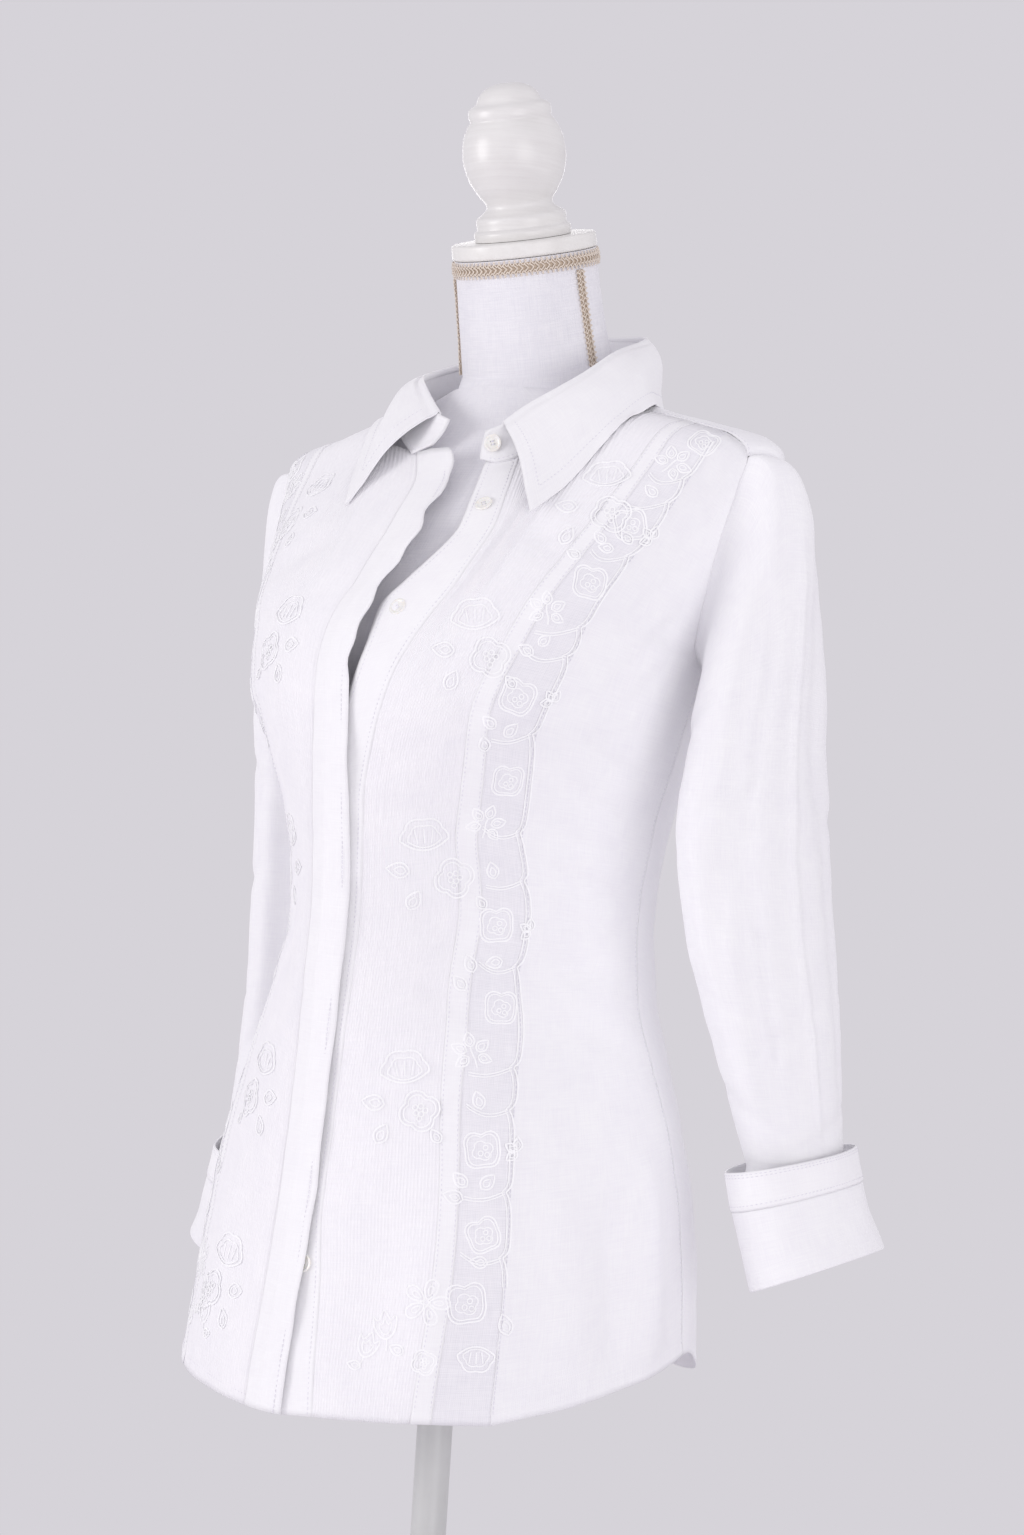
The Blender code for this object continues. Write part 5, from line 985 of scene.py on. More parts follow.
def build_back():
    """The back below the yoke."""
    shares = np.linspace(0.0, 1.0, ROWS + 1)
    turn, height = side_line(1.0, ARM_BACK_ROWS, ARM_BACK_ROWS[-1][0], shares)
    columns = BACK_COLUMNS
    steady = np.where(shares <= UNDERARM_SHARE, turn, turn[int(UNDERARM_SHARE * ROWS)])[:, None]
    centre_bottom = float(hem_height(180.0))
    centre = centre_bottom + (YOKE_BACK_HEIGHT - centre_bottom) * shares
    inset = -LAP / 0.3
    share = (inset + (1.0 - 2.0 * inset) * np.linspace(0.0, 1.0, columns + 1))[None, :]
    near = np.maximum(0.0, 1.0 - share / ARM_REACH) - np.maximum(0.0, 1.0 - (1.0 - share) / ARM_REACH)
    at = steady + (2.0 * math.pi - 2.0 * steady) * share + (turn[:, None] - steady) * near
    z = height[:, None] + (centre - height)[:, None] * (4.0 * share * (1.0 - share))
    degrees = np.degrees(np.minimum(at[0], 2.0 * math.pi - at[0]))
    low = hem_height(degrees) - z[0]
    z = z + low[None, :] * np.clip(1.0 - shares / 0.09, 0.0, 1.0)[:, None]
    grid = dressed(section_point(at, z), CLOTH + hem_fold(at, z))
    piece = cloth_piece("back_panel_cloth", grid, WASHED_POPLIN)
    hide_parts("back_panel")
    cut_of(grid, 0.02)
    return turn, height


YOKE_LAP_BACK = 0.035     # share of the yoke's depth that laps over the back panel
YOKE_LAP_FRONT = 0.008    # and over the front and neck seams


def yoke_grid(rows, count):
    """Points of the yoke: rows from the back seam to the front or neck seam, columns from left to right."""
    back_height = ARM_BACK_ROWS[-1][0]
    arm_back = section_point(turn_at_y(ARM_BACK_ROWS[-1][1], back_height), back_height)
    front_height = ARM_FRONT_ROWS[-1][0]
    arm_front = section_point(turn_at_y(YOKE_FRONT_Y, front_height), front_height)
    ends = [arm_front]
    for x in (0.172, 0.148, 0.124, 0.104, 0.090):
        ends.append(np.array((x, YOKE_FRONT_Y, float(height_over(x, YOKE_FRONT_Y)))))
    for x, y in NECK_BACK + ((0.0, 0.0895),):
        ends.append(np.array((x, y, float(height_over(x, y)))))
    ends = np.array(ends)
    runs = np.concatenate([[0.0], np.cumsum(np.linalg.norm(np.diff(ends, axis=0), axis=1))])
    places = np.linspace(0.0, runs[-1], count + 1)
    front = np.stack([np.interp(places, runs, ends[:, axis]) for axis in range(3)], axis=-1)
    front = np.where((np.arange(count + 1) > 0)[:, None],
                     np.stack([front[:, 0], front[:, 1], height_over(front[:, 0], front[:, 1])], axis=-1),
                     front)
    share = (front[:, 0] / front[0, 0])[:, None]
    x = front[:, 0] * (1.0 + (arm_back[0] / arm_front[0] - 1.0) * share[:, 0] ** 2)
    height = YOKE_BACK_HEIGHT + (arm_back[2] - YOKE_BACK_HEIGHT) * (x / arm_back[0]) ** 2
    half, face, depth, side, power_front, power = np.moveaxis(read(BODY_ROWS, height), -1, 0)
    y = side + (depth - side) * np.clip(1.0 - (x / half) ** power, 0.0, 1.0) ** (1.0 / power)
    back = np.stack([x, y, height], axis=-1)
    centre = np.stack([0.82 * front[:, 0], np.full(count + 1, 0.040), np.full(count + 1, 1.258)], axis=-1)
    a = back - centre
    b = front - centre
    a = a / np.linalg.norm(a, axis=1, keepdims=True)
    b = b / np.linalg.norm(b, axis=1, keepdims=True)
    angle = np.arccos(np.clip((a * b).sum(axis=1), -1.0, 1.0))[None, :, None]
    s = np.linspace(-YOKE_LAP_BACK, 1.0 + YOKE_LAP_FRONT, rows + 1)[:, None, None]
    direction = (np.sin((1.0 - s) * angle) * a[None] + np.sin(s * angle) * b[None]) / np.sin(angle)
    direction = direction / np.linalg.norm(direction, axis=-1, keepdims=True)
    half_yoke = surface_from(np.broadcast_to(centre[None], direction.shape), direction)
    mirror = half_yoke[:, -2::-1] * np.array((-1.0, 1.0, 1.0))
    return np.concatenate([half_yoke, mirror], axis=1)


def build_yoke():
    """The yoke over both shoulders and the upper back."""
    points = yoke_grid(44, 92)
    grid = dressed(points, CLOTH + 0.0003)
    piece = cloth_piece("yoke_cloth", grid, WASHED_POPLIN)
    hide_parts("yoke")
    cut_of(grid, 0.02)
    return points


def smooth_line(points, steps):
    """Catmull-Rom line through points of any kind, with a number of steps to each span."""
    rows = np.asarray(points, float)
    fine = []
    for k in range(len(rows) - 1):
        p0 = rows[max(k - 1, 0)]
        p1 = rows[k]
        p2 = rows[k + 1]
        p3 = rows[min(k + 2, len(rows) - 1)]
        for s in np.arange(steps) / steps:
            fine.append(0.5 * (2 * p1 + (p2 - p0) * s + (2 * p0 - 5 * p1 + 4 * p2 - p3) * s**2
                               + (3 * p1 - p0 - 3 * p2 + p3) * s**3))
    fine.append(rows[-1])
    return np.array(fine)


def evenly(points, count=None, step=None, closed=False):
    """A line of points made even along its length."""
    line = np.asarray(points, float)
    if closed:
        line = np.vstack([line, line[:1]])
    runs = np.concatenate([[0.0], np.cumsum(np.linalg.norm(np.diff(line, axis=0), axis=1))])
    if count is None:
        count = max(3, int(runs[-1] / step) + 1)
    places = np.linspace(0.0, runs[-1], count, endpoint=not closed)
    return np.stack([np.interp(places, runs, line[:, axis]) for axis in range(line.shape[1])], axis=-1)


def armhole(front_line, back_line, yoke_points):
    """Ring of the left armhole from the underarm up the back, over the yoke and down the front."""
    first = int(UNDERARM_SHARE * ROWS)
    back = section_point(back_line[0][first:], back_line[1][first:])
    front = section_point(np.abs(front_line[0][first + 1:]), front_line[1][first + 1:])[::-1]
    return evenly(np.vstack([back, yoke_points[1:-1, 0], front]), SLEEVE_COLUMNS, closed=True)


def sleeve_relief(grid, angles, folds, seed):
    """Sink and raise the rings of a sleeve along its folds and creases."""
    height = grid[..., 2]
    amount = 0.0007 * rumple(grid, 0.050, seed) + 0.00035 * rumple(grid, 0.020, seed + 1)
    for place, slant, high, low, width, depth in folds:
        length = np.clip(np.minimum((high - height) / 0.05, (height - low) / 0.05), 0.0, 1.0)
        gap = turned_back(angles[None, :] - np.radians(place + slant * (high - height)))
        amount += depth * length * np.exp(-((gap / math.radians(width)) ** 2))
    for place, level, reach, tall, slope, depth in SLEEVE_CREASES:
        gap = turned_back(angles[None, :] - math.radians(place))
        reaches = np.exp(-((gap / math.radians(reach)) ** 2))
        amount += depth * reaches * np.exp(-(((height - level - slope * gap) / tall) ** 2))
    begin = np.linspace(0.0, 1.0, len(grid))[:, None]
    away = grid - grid.mean(axis=1, keepdims=True)
    away[..., 2] = 0.0
    away = away / (np.linalg.norm(away, axis=-1, keepdims=True) + 1e-9)
    return grid + away * (amount * np.clip(begin / 0.05, 0.0, 1.0))[..., None]


def cuff_place(last_row, share):
    """Centre of the cuff's line at a share of its drop, and the direction it runs there."""
    height, x, y, half_x, half_y = last_row
    place = np.array((x - 0.004, y, height + 0.004))
    for k in range(12):
        lean = CUFF_LEAN[0] + (CUFF_LEAN[1] - CUFF_LEAN[0]) * share * (k + 0.5) / 12
        place = place + leaning(lean) * (CUFF_DROP * share / 12)
    return place, leaning(CUFF_LEAN[0] + (CUFF_LEAN[1] - CUFF_LEAN[0]) * share)


def leaning(lean):
    """Downward direction that leans outward and a little back."""
    down = np.array((math.sin(lean), 0.10, -math.cos(lean)))
    return down / np.linalg.norm(down)


def cuff_ring(last_row, share, inset, angles):
    """Ring of the cuff at a share of its drop, drawn in by an inset."""
    centre, down = cuff_place(last_row, share)
    half_x = CUFF_HALF[0] * (1.0 + CUFF_FLARE * share) - inset
    half_y = CUFF_HALF[1] * (1.0 + CUFF_FLARE * share) - inset
    depth = np.array((0.0, 1.0, 0.0)) - down * down[1]
    depth = depth / np.linalg.norm(depth)
    width = np.cross(depth, -down)
    width = width / np.linalg.norm(width) * (1.0 if width[0] > 0.0 else -1.0)
    return (centre + width * (half_x * np.cos(angles))[:, None] + depth * (half_y * np.sin(angles))[:, None])


def row_middles(grid):
    """Middle of every row of a closed grid, for each of its points."""
    return np.broadcast_to(grid.mean(axis=1, keepdims=True), grid.shape)


def build_sleeve(sign, word, rows, folds, ring):
    """One sleeve from its armhole to the fold of its turned-up cuff, and the cuff."""
    outward = np.array((1.0, 0.0, 0.25))
    outward = outward / np.linalg.norm(outward)
    middle = ring.mean(axis=0)
    start = ring + body_normal(ring) * 0.0006 - outward * 0.0006
    angles = np.arctan2(ring[:, 1] - middle[1], ring[:, 2] - middle[2])
    heights = np.linspace(rows[0][0], rows[-1][0], 64)
    placed = read(rows[::-1], heights)
    lower = np.stack([placed[:, :1] + placed[:, 2:3] * np.cos(angles),
                      placed[:, 1:2] + placed[:, 3:4] * np.sin(angles),
                      np.broadcast_to(heights[:, None], (len(heights), len(angles)))], axis=-1)
    top = (0.5 + 0.5 * np.cos(angles))[:, None]
    leave = outward * (0.030 + 0.090 * top)
    leave = leave - np.array((0.0, 0.0, 0.02)) * (1.0 - top)
    arrive = np.array((0.0, 0.0, -1.0)) * (0.05 + 0.17 * top)
    s = np.linspace(0.0, 1.0, HEAD_ROWS + 1)[:-1, None, None]
    head = ((2 * s**3 - 3 * s**2 + 1) * start + (s**3 - 2 * s**2 + s) * leave
            + (3 * s**2 - 2 * s**3) * lower[0] + (s**3 - s**2) * arrive)
    grid = sleeve_relief(np.concatenate([head, lower]), angles, folds, 21 if sign > 0.0 else 31)
    slack = STIFF + SEAM + 0.0006
    narrow = 0.5 * (CUFF_HALF[0] - rows[-1][3] + CUFF_HALF[1] - rows[-1][4])
    ends = [cuff_ring(rows[-1], share, slack + (narrow - slack) * part, angles)
            for share, part in ((0.18, 0.75), (0.34, 0.5), (0.5, 0.25), (0.75, 0.1), (1.0, 0.0))]
    grid = np.concatenate([grid, np.array(ends)])
    grid[..., 0] *= sign
    grid = shoulder_sink(grid)
    piece = cloth_piece("sleeve_%s_cloth" % word, grid, WASHED_POPLIN, closed=True,
                        middle=row_middles(grid))
    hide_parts("sleeve_" + word)
    cut_of(grid, 0.02,
           closed=True)
    build_cuff(sign, word, rows[-1], angles)


def cuff_rings(sign, last_row, shares, insets, angles):
    """Outer rings of a part of the cuff, softly crumpled."""
    grid = np.array([cuff_ring(last_row, share, inset, angles) for share, inset in zip(shares, insets)])
    away = grid - grid.mean(axis=1, keepdims=True)
    away = away / np.linalg.norm(away, axis=-1, keepdims=True)
    soft = 0.0020 * rumple(grid, 0.055, 41 if sign > 0.0 else 43) + 0.0007 * rumple(grid, 0.020, 42)
    grid = grid + away * soft[..., None]
    grid[..., 0] *= sign
    return shoulder_sink(grid)


def build_cuff(sign, word, last_row, angles):
    """The band at the cuff's top and the turned-up cloth under it, rolled over at the fold."""
    band_share = CUFF_BAND / CUFF_DROP
    shares = np.linspace(0.0, band_share + 0.012, 15)
    edge = np.clip(1.0 - np.minimum(shares, shares[-1] - shares) / (0.09 * band_share), 0.0, 1.0)
    band = cuff_rings(sign, last_row, shares, 0.0006 * edge ** 2 - 0.0004, angles)
    piece = cloth_piece("cuff_band_%s_cloth" % word, band, INTERLINED_POPLIN, INTERLINED,
                        closed=True,
                        middle=row_middles(band))
    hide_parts("cuff_band_" + word)
    cut_of(band, 0.01, closed=True)
    shares = np.linspace(band_share + SEAM / CUFF_DROP, 1.0, 26)
    tuck_in = 0.0006 * np.clip(1.0 - (shares - shares[0]) / 0.02, 0.0, 1.0)
    turns = np.linspace(0.0, math.pi, 7)[1:]
    roll = 0.0011
    shares = np.concatenate([shares, 1.0 + roll * np.sin(turns) / CUFF_DROP])
    insets = np.concatenate([STIFF - CLOTH + tuck_in, STIFF - CLOTH + roll * (1.0 - np.cos(turns))])
    lower = cuff_rings(sign, last_row, shares, insets, angles)
    piece = cloth_piece("cuff_turnback_%s_cloth" % word, lower, WASHED_POPLIN, closed=True,
                        middle=row_middles(lower))
    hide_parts("cuff_turnback_" + word)
    cut_of(lower, 0.01, closed=True)
    for row, lift in ((1, 0.0), (2, 0.0), (12, 0.0)):
        add_stitches(band[row], grid_normals(band, row_middles(band))[row], closed=True)


def grid_normals(grid, middles):
    """Outward directions of a grid's points."""
    across = np.gradient(grid, axis=1)
    along = np.gradient(grid, axis=0)
    normals = np.cross(across, along)
    normals = normals / (np.linalg.norm(normals, axis=-1, keepdims=True) + 1e-12)
    if np.sum(normals * (grid - middles)) < 0.0:
        normals = -normals
    return normals


def build_collar():
    """The stand sewn to the neck seam, and the leaf that falls from its fold."""
    fine = smooth_line(COLLAR_ROWS, 7)
    seam = np.stack([fine[:, 0, 0], fine[:, 0, 1], height_over(fine[:, 0, 0], fine[:, 0, 1])], axis=-1)
    fold = fine[:, 1]
    edge = fine[:, 2]
    away = edge - fold
    away[:, 2] = 0.0
    away = away / np.linalg.norm(away, axis=1, keepdims=True)
    ends = np.array(STAND_ENDS)
    first = np.linspace(0.0, 1.0, 5)[:-1, None]
    foot = seam + body_normal(seam) * STAND_SEAT
    foot = np.vstack([ends[0, 0] + (foot[0] - ends[0, 0]) * first, foot,
                      ends[1, 0] + (foot[-1] - ends[1, 0]) * first[::-1]])
    brim = np.vstack([ends[0, 1] + (fold[0] - ends[0, 1]) * first, fold,
                      ends[1, 1] + (fold[-1] - ends[1, 1]) * first[::-1]])
    out = np.vstack([np.repeat(away[:1], 4, axis=0), away, np.repeat(away[-1:], 4, axis=0)])
    t = np.linspace(0.0, 1.0, 13)[:, None, None]
    stand = foot * (1.0 - t) + brim * t - out * 0.0015 * 4.0 * t * (1.0 - t)
    stand = stand + out * (0.0005 * rumple(stand, 0.035, 51))[..., None]
    middles = stand.mean(axis=(0, 1)) + stand * np.array((0.0, 0.0, 1.0)) - stand.mean(axis=(0,
                                                                                             1)) * np.array((0, 0, 1.0))
    stand = shoulder_sink(stand)
    piece = cloth_piece("collar_stand_cloth", stand, INTERLINED_POPLIN, STIFF, middle=middles)
    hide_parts("collar_stand")
    cut_of(stand, 0.01)
    normals = grid_normals(stand, middles)
    add_stitches(stand[1, 2:-2], normals[1, 2:-2])
    rows = 22
    share = np.linspace(0.0, 1.0, rows + 1)[:, None, None]
    bulge = away * LEAF_BULGE * np.sin(math.pi * np.minimum(1.0, share * 1.25)) * (share < 0.8)
    rise = np.array((0.0, 0.0, LEAF_BULGE * 1.3)) * np.sin(math.pi * share)
    leaf = fold + (edge - fold) * share + bulge + rise + away * SEAM
    for _ in range(40):
        normal = body_normal(leaf)
        inside = level_value(leaf - normal * (CLOTH + 0.0010)) < 1.0
        leaf = np.where(inside[..., None], leaf + normal * 0.0004, leaf)
    normals = grid_normals(leaf, leaf - np.array((0.0, 0.0, 0.05)))
    normals = np.where((share < 0.05), np.broadcast_to(away, leaf.shape), normals)
    leaf = leaf + normals * STIFF
    leaf = leaf + normals * (0.0009 * rumple(leaf, 0.060, 53) * share[..., 0] + 0.0003 * rumple(leaf, 0.02,
                                                                                                54))[..., None]
    up = np.array((0.0, 0.0, 1.0))
    over = np.array([fold - away * (STIFF + 0.0004) - up * 0.0030,
                     fold - away * (STIFF + 0.0004) + up * 0.0004,
                     fold - away * 0.0009 + up * 0.0017, fold + away * 0.0005 + up * 0.0017])
    leaf = np.concatenate([over, leaf])
    tip = leaf[-1] + (leaf[-1] - leaf[-2]) * 0.12 - np.array((0.0, 0.0, 0.0005))
    leaf = np.concatenate([leaf, tip[None]])
    middles = leaf - np.array((0.0, 0.0,
                               0.05)) - np.concatenate([np.broadcast_to(away,
                                                                        (len(leaf),) + away.shape)]) * 0.02
    leaf = shoulder_sink(leaf)
    piece = cloth_piece("collar_leaf_cloth", leaf, INTERLINED_POPLIN, 0.0012, middle=middles)
    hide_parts("collar_leaf")
    cut_of(leaf, 0.01)
    normals = grid_normals(leaf, middles)
    row = len(leaf) - 5
    add_stitches(leaf[row, 3:-3], normals[row, 3:-3])
    for column in (3, len(fold) - 4):
        add_stitches(leaf[6:row + 1, column], normals[6:row + 1, column])


SEWN = []


def add_stitches(line, normals, closed=False, length=0.0021, gap=0.0009, radius=0.00026):
    """Lay lockstitches along a line on cloth: short threads, each sunk at its ends."""
    points = np.asarray(line, float)
    directions = np.asarray(normals, float)
    if closed:
        points = np.vstack([points, points[:1]])
        directions = np.vstack([directions, directions[:1]])
    runs = np.concatenate([[0.0], np.cumsum(np.linalg.norm(np.diff(points, axis=0), axis=1))])
    starts = np.arange(0.0005, runs[-1] - length, length + gap)
    for start in starts:
        places = start + length * np.array((0.0, 0.5, 1.0))
        on = np.stack([np.interp(places, runs, points[:, axis]) for axis in range(3)], axis=-1)
        out = np.stack([np.interp(places, runs, directions[:, axis]) for axis in range(3)], axis=-1)
        on = on + out * (radius * np.array((-0.9, 0.6, -0.9)))[:, None]
        SEWN.append(tube(on, out, radius, sides=4))


def sew_on_body(turn, height, lift, shift=0.0):
    """A stitch row along a seam of the body, moved along the section by a distance."""
    points = section_point(turn, height)
    if shift:
        beside = section_point(turn + 0.01, height)
        size = np.linalg.norm(beside - points, axis=-1) / 0.01
        points = section_point(turn + shift / size, height)
    normals = body_normal(points)
    add_stitches(dressed(points, lift, normals), normals)


CORDS = {"left": [], "right": []}


def on_front(x, height):
    """Point of the front and the directions across, up and out of it."""
    point = section_point(turn_at_x(np.array(x), np.array(height)), np.array(height))
    out = body_normal(point)
    across = np.cross(np.array((0.0, 0.0, 1.0)), out)
    across = across / np.linalg.norm(across)
    return point, -across if across[0] < 0.0 else across, out


def lay_cord(side, x, height, lines, turn=0.0, size=1.0, lift=CLOTH, mirror=False):
    """Couch cords on one front: flat lines in metres, laid round a point of the body."""
    point, across, out = on_front(x, height)
    up = np.cross(out, across)
    up = up if up[2] > 0.0 else -up
    cosine = math.cos(turn)
    sine = math.sin(turn)
    for flat, closed, radius in lines:
        drawn = np.asarray(flat, float) * size
        if mirror:
            drawn = drawn * np.array((-1.0, 1.0))
        a = drawn[:, 0] * cosine - drawn[:, 1] * sine
        b = drawn[:, 0] * sine + drawn[:, 1] * cosine
        near = point + across * a[:, None] + up * b[:, None]
        start = near - out * 0.03
        landed = surface_from(start, np.broadcast_to(out, start.shape))
        normals = body_normal(landed)
        laid = dressed(landed, lift + radius * 0.45, normals)
        CORDS[side].append(tube(laid, normals, radius, sides=5, closed=closed, flat=0.55))


def ring_line(radius, count=20, wave=0.0, lobes=5, phase=0.0):
    """A closed round line, waved into petals."""
    t = np.linspace(0.0, 2.0 * math.pi, count, endpoint=False)
    r = radius * (1.0 - wave + wave * np.abs(np.cos(0.5 * lobes * (t + phase))) ** 0.7)
    return np.stack([r * np.sin(t), r * np.cos(t)], axis=-1)


def petals(count, radius, width, start, phase=0.0):
    """Separate loops of petals round a centre."""
    made = []
    t = np.linspace(0.0, 2.0 * math.pi, 13, endpoint=False)
    for k in range(count):
        along = start + (radius - start) * (0.5 - 0.5 * np.cos(t))
        side = width * np.sin(t) * (0.55 + 0.45 * (0.5 - 0.5 * np.cos(t)))
        angle = 2.0 * math.pi * k / count + phase
        made.append(np.stack([along * math.sin(angle) + side * math.cos(angle),
                              along * math.cos(angle) - side * math.sin(angle)], axis=-1))
    return made


def leaf_line(length, width, count=16):
    """A pointed leaf on its stalk, from its foot up."""
    t = np.linspace(0.0, 1.0, count // 2 + 1)
    half = width * np.sin(math.pi * t ** 0.8) ** 0.9
    right = np.stack([half, length * t], axis=-1)
    left = np.stack([-half, length * t], axis=-1)[::-1][1:-1]
    return np.vstack([right, left])


FINE_CORD = 0.00042
CORD_RADIUS = 0.00056


def oval_lines(radius):
    """A small leaf as two nested ovals."""
    outer = leaf_line(2.0 * radius, 0.66 * radius) - np.array((0.0, radius))
    return [(outer, True, CORD_RADIUS), (outer * 0.5 - np.array((0.0, 0.16 * radius)), True, FINE_CORD)]


def turned_lines(lines, angle, over, up):
    """Lines turned about their middle and moved."""
    cosine = math.cos(angle)
    sine = math.sin(angle)
    made = []
    for line, closed, radius in lines:
        x = line[:, 0] * cosine + line[:, 1] * sine + over
        y = line[:, 1] * cosine - line[:, 0] * sine + up
        made.append((np.stack([x, y], axis=-1), closed, radius))
    return made


def bunch_lines(radius):
    """Three small nested leaves from one foot."""
    lines = []
    for angle in (-1.0, 0.15, 1.2):
        lines += turned_lines(oval_lines(0.62 * radius), angle, 0.72 * radius * math.sin(angle),
                              0.72 * radius * math.cos(angle))
    return lines


def cluster_lines(radius):
    """Five nested leaves round a short stalk."""
    lines = [(np.array(((0.0, -0.9), (0.05, -0.4), (-0.03, 0.1), (0.0, 0.45))) * radius, False, CORD_RADIUS)]
    for angle, far, share in ((-1.9, 0.82, 0.50), (-0.85, 0.95, 0.52), (0.1, 1.0, 0.50), (1.15, 0.9, 0.52),
                              (2.2, 0.85, 0.46)):
        lines += turned_lines(oval_lines(share * radius), angle, far * radius * math.sin(angle),
                              far * radius * math.cos(angle))
    return lines


def dot_lines(radius, places):
    """Small rings worked as dots."""
    return [(ring_line(0.13 * radius, 7) + np.array(place) * radius, True, FINE_CORD) for place in places]


def flower_lines(radius):
    """A square flower: a doubled outline dented at its top, a waved echo, and a curl and dots in the middle."""
    t = np.linspace(0.0, 2.0 * math.pi, 36, endpoint=False)
    dent = np.exp(-((turned_back(t) / 0.28) ** 2)) + 0.6 * np.exp(-((turned_back(t - 2.2) / 0.3) ** 2))
    reach = radius * (0.97 - 0.09 * np.cos(4.0 * t) - 0.14 * dent)
    outline = np.stack([reach * np.sin(t), reach * np.cos(t)], axis=-1)
    echo = ring_line(0.56 * radius, 28, 0.30, 4, 0.4) * np.array((1.0, 0.9))
    return [(outline, True, CORD_RADIUS), (outline * 0.84, True, FINE_CORD),
            (echo - np.array((0.0, 0.05 * radius)), True, FINE_CORD),
            ] + dot_lines(radius, ((-0.12, -0.18), (0.20, -0.28), (0.16, 0.08)))


def shell_lines(radius):
    """A wide flower from the side: a scalloped crown over a smooth bowl, with its echo inside."""
    t = np.linspace(-1.75, 1.75, 34)
    reach = radius * (0.78 + 0.12 * np.abs(np.sin(2.75 * t)) + 0.16 * np.sin(0.5 * t) ** 2)
    crown = np.stack([reach * np.sin(t), 0.86 * reach * np.cos(t)], axis=-1)
    end = crown[-1]
    bowl = np.linspace(0.1, 0.9, 9)[:, None]
    low = end * (1.0 - bowl) + crown[0] * bowl + np.array((0.0, -0.42 * radius)) * 4.0 * bowl * (1.0 - bowl)
    outline = np.vstack([crown, low])
    lines = [(outline, True, CORD_RADIUS),
             (outline * 0.70 + np.array((0.0, -0.06 * radius)), True, FINE_CORD)]
    for k in (-0.28, 0.0, 0.28):
        stem = np.stack([np.full(5, k) + 0.35 * k * np.linspace(0, 1, 5), np.linspace(-0.28, 0.30, 5)],
                        axis=-1) * radius
        lines.append((stem, False, FINE_CORD))
    return lines


def lobed_lines(radius):
    """A four-lobed flower with a waved echo and dots in its middle."""
    return [(ring_line(radius, 44, 0.26, 4, 0.4), True, CORD_RADIUS),
            (ring_line(0.80 * radius, 38, 0.28, 4, 0.4), True, FINE_CORD),
            ] + dot_lines(radius, ((-0.22, 0.16), (0.05, 0.24), (0.28, 0.05), (0.10, -0.14), (-0.16, -0.10),
                                   (0.02, -0.36)))


def petal_lines(radius):
    """An open flower of five separate petals, each with its vein."""
    lines = [(line, True, CORD_RADIUS) for line in petals(5, radius, 0.34 * radius, 0.14 * radius, 0.3)]
    lines += [(line, True, FINE_CORD) for line in petals(5, 0.72 * radius, 0.13 * radius, 0.32 * radius, 0.3)]
    lines.append((ring_line(0.12 * radius, 8), True, FINE_CORD))
    return lines


def tulip_lines(radius):
    """A tulip from the side: three points over a round cup, a nested bud, and its stalk."""
    cup = np.array(((-0.80, 0.62), (-0.42, 0.30), (0.0, 1.0), (0.42, 0.30), (0.80, 0.62), (0.78, -0.1),
                    (0.42, -0.72),
                    (0.0, -0.92), (-0.42, -0.72), (-0.78, -0.1), (-0.80, 0.62))) * radius
    cup = evenly(smooth_line(cup, 3)[:-1], 30, closed=True)
    stalk = np.stack([np.array((0.0, 0.03, 0.0, -0.08)), np.array((-0.92, -1.15, -1.4, -1.7))],
                     axis=-1) * radius
    return [(cup, True, CORD_RADIUS), (cup * 0.52 - np.array((0.0, 0.14 * radius)), True, FINE_CORD),
            (stalk, False, FINE_CORD)]


MOTIFS = {"oval": oval_lines, "bunch": bunch_lines, "cluster": cluster_lines, "flower": flower_lines,
          "shell": shell_lines, "lobed": lobed_lines, "petals": petal_lines, "tulip": tulip_lines}

# Sprays down the sheer strip: what, height, share across the strip, radius in mm, turn in degrees
STRIP_SPRAYS = (
    ("flower", 1.3030, 0.86, 9.5, -20), ("cluster", 1.2878, 0.47, 9.0, -30), ("oval", 1.2700, 0.42, 5.0, 60),
    ("flower", 1.2485, 0.50, 11.0, 30), ("bunch", 1.2402, 1.14, 6.5, 70), ("oval", 1.2392, 0.07, 4.6, 60),
    ("oval", 1.2330, 0.38, 4.6, 100), ("oval", 1.2277, -0.22, 4.6, 80), ("flower", 1.2112, 0.62, 11.0, 10),
    ("cluster", 1.1917, 0.14, 8.6, 25), ("oval", 1.1680, 0.13, 5.0, 80), ("oval", 1.1745, 0.40, 4.4, -30),
    ("flower", 1.1395, 0.46, 11.5, 0), ("bunch", 1.1378, 1.10, 6.0, 60), ("oval", 1.1235, 0.02, 5.0, 70),
    ("oval", 1.1197, 0.52, 5.4, -20), ("oval", 1.1108, -0.05, 5.0, 30), ("flower", 1.0893, 0.58, 10.5, 15),
    ("cluster", 1.0610, 0.17, 9.0, 0), ("oval", 1.0338, 0.30, 5.4, 20), ("flower", 1.0002, 0.37, 11.5, 5),
    ("bunch", 0.9973, 1.12, 6.0, 70), ("oval", 0.9772, 0.46, 5.4, 100), ("oval", 0.9760, -0.10, 5.6, 20),
    ("oval", 0.9640, -0.28, 5.4, 35), ("flower", 0.9503, 0.68, 11.0, -10), ("cluster", 0.9217, 0.16, 9.4, 10),
    ("oval", 0.8950, 0.36, 5.6, 10), ("flower", 0.8661, 0.48, 12.0, 0), ("bunch", 0.8656, 1.14, 6.5, 60),
    ("oval", 0.8477, 0.02, 5.6, 40), ("oval", 0.8473, 0.60, 5.8, -50), ("oval", 0.8376, -0.12, 6.0, 70),
    ("flower", 0.8161, 0.56, 11.0, 20), ("oval", 0.8000, 0.50, 5.2, 80),
)
# Heights at which a branch of the vine crosses the strip
BRANCHES = (1.2790, 1.2640, 1.2290, 1.1840, 1.1660, 1.1180, 1.0580, 1.0285, 0.9750, 0.9150, 0.8900, 0.8420,
            0.8030)
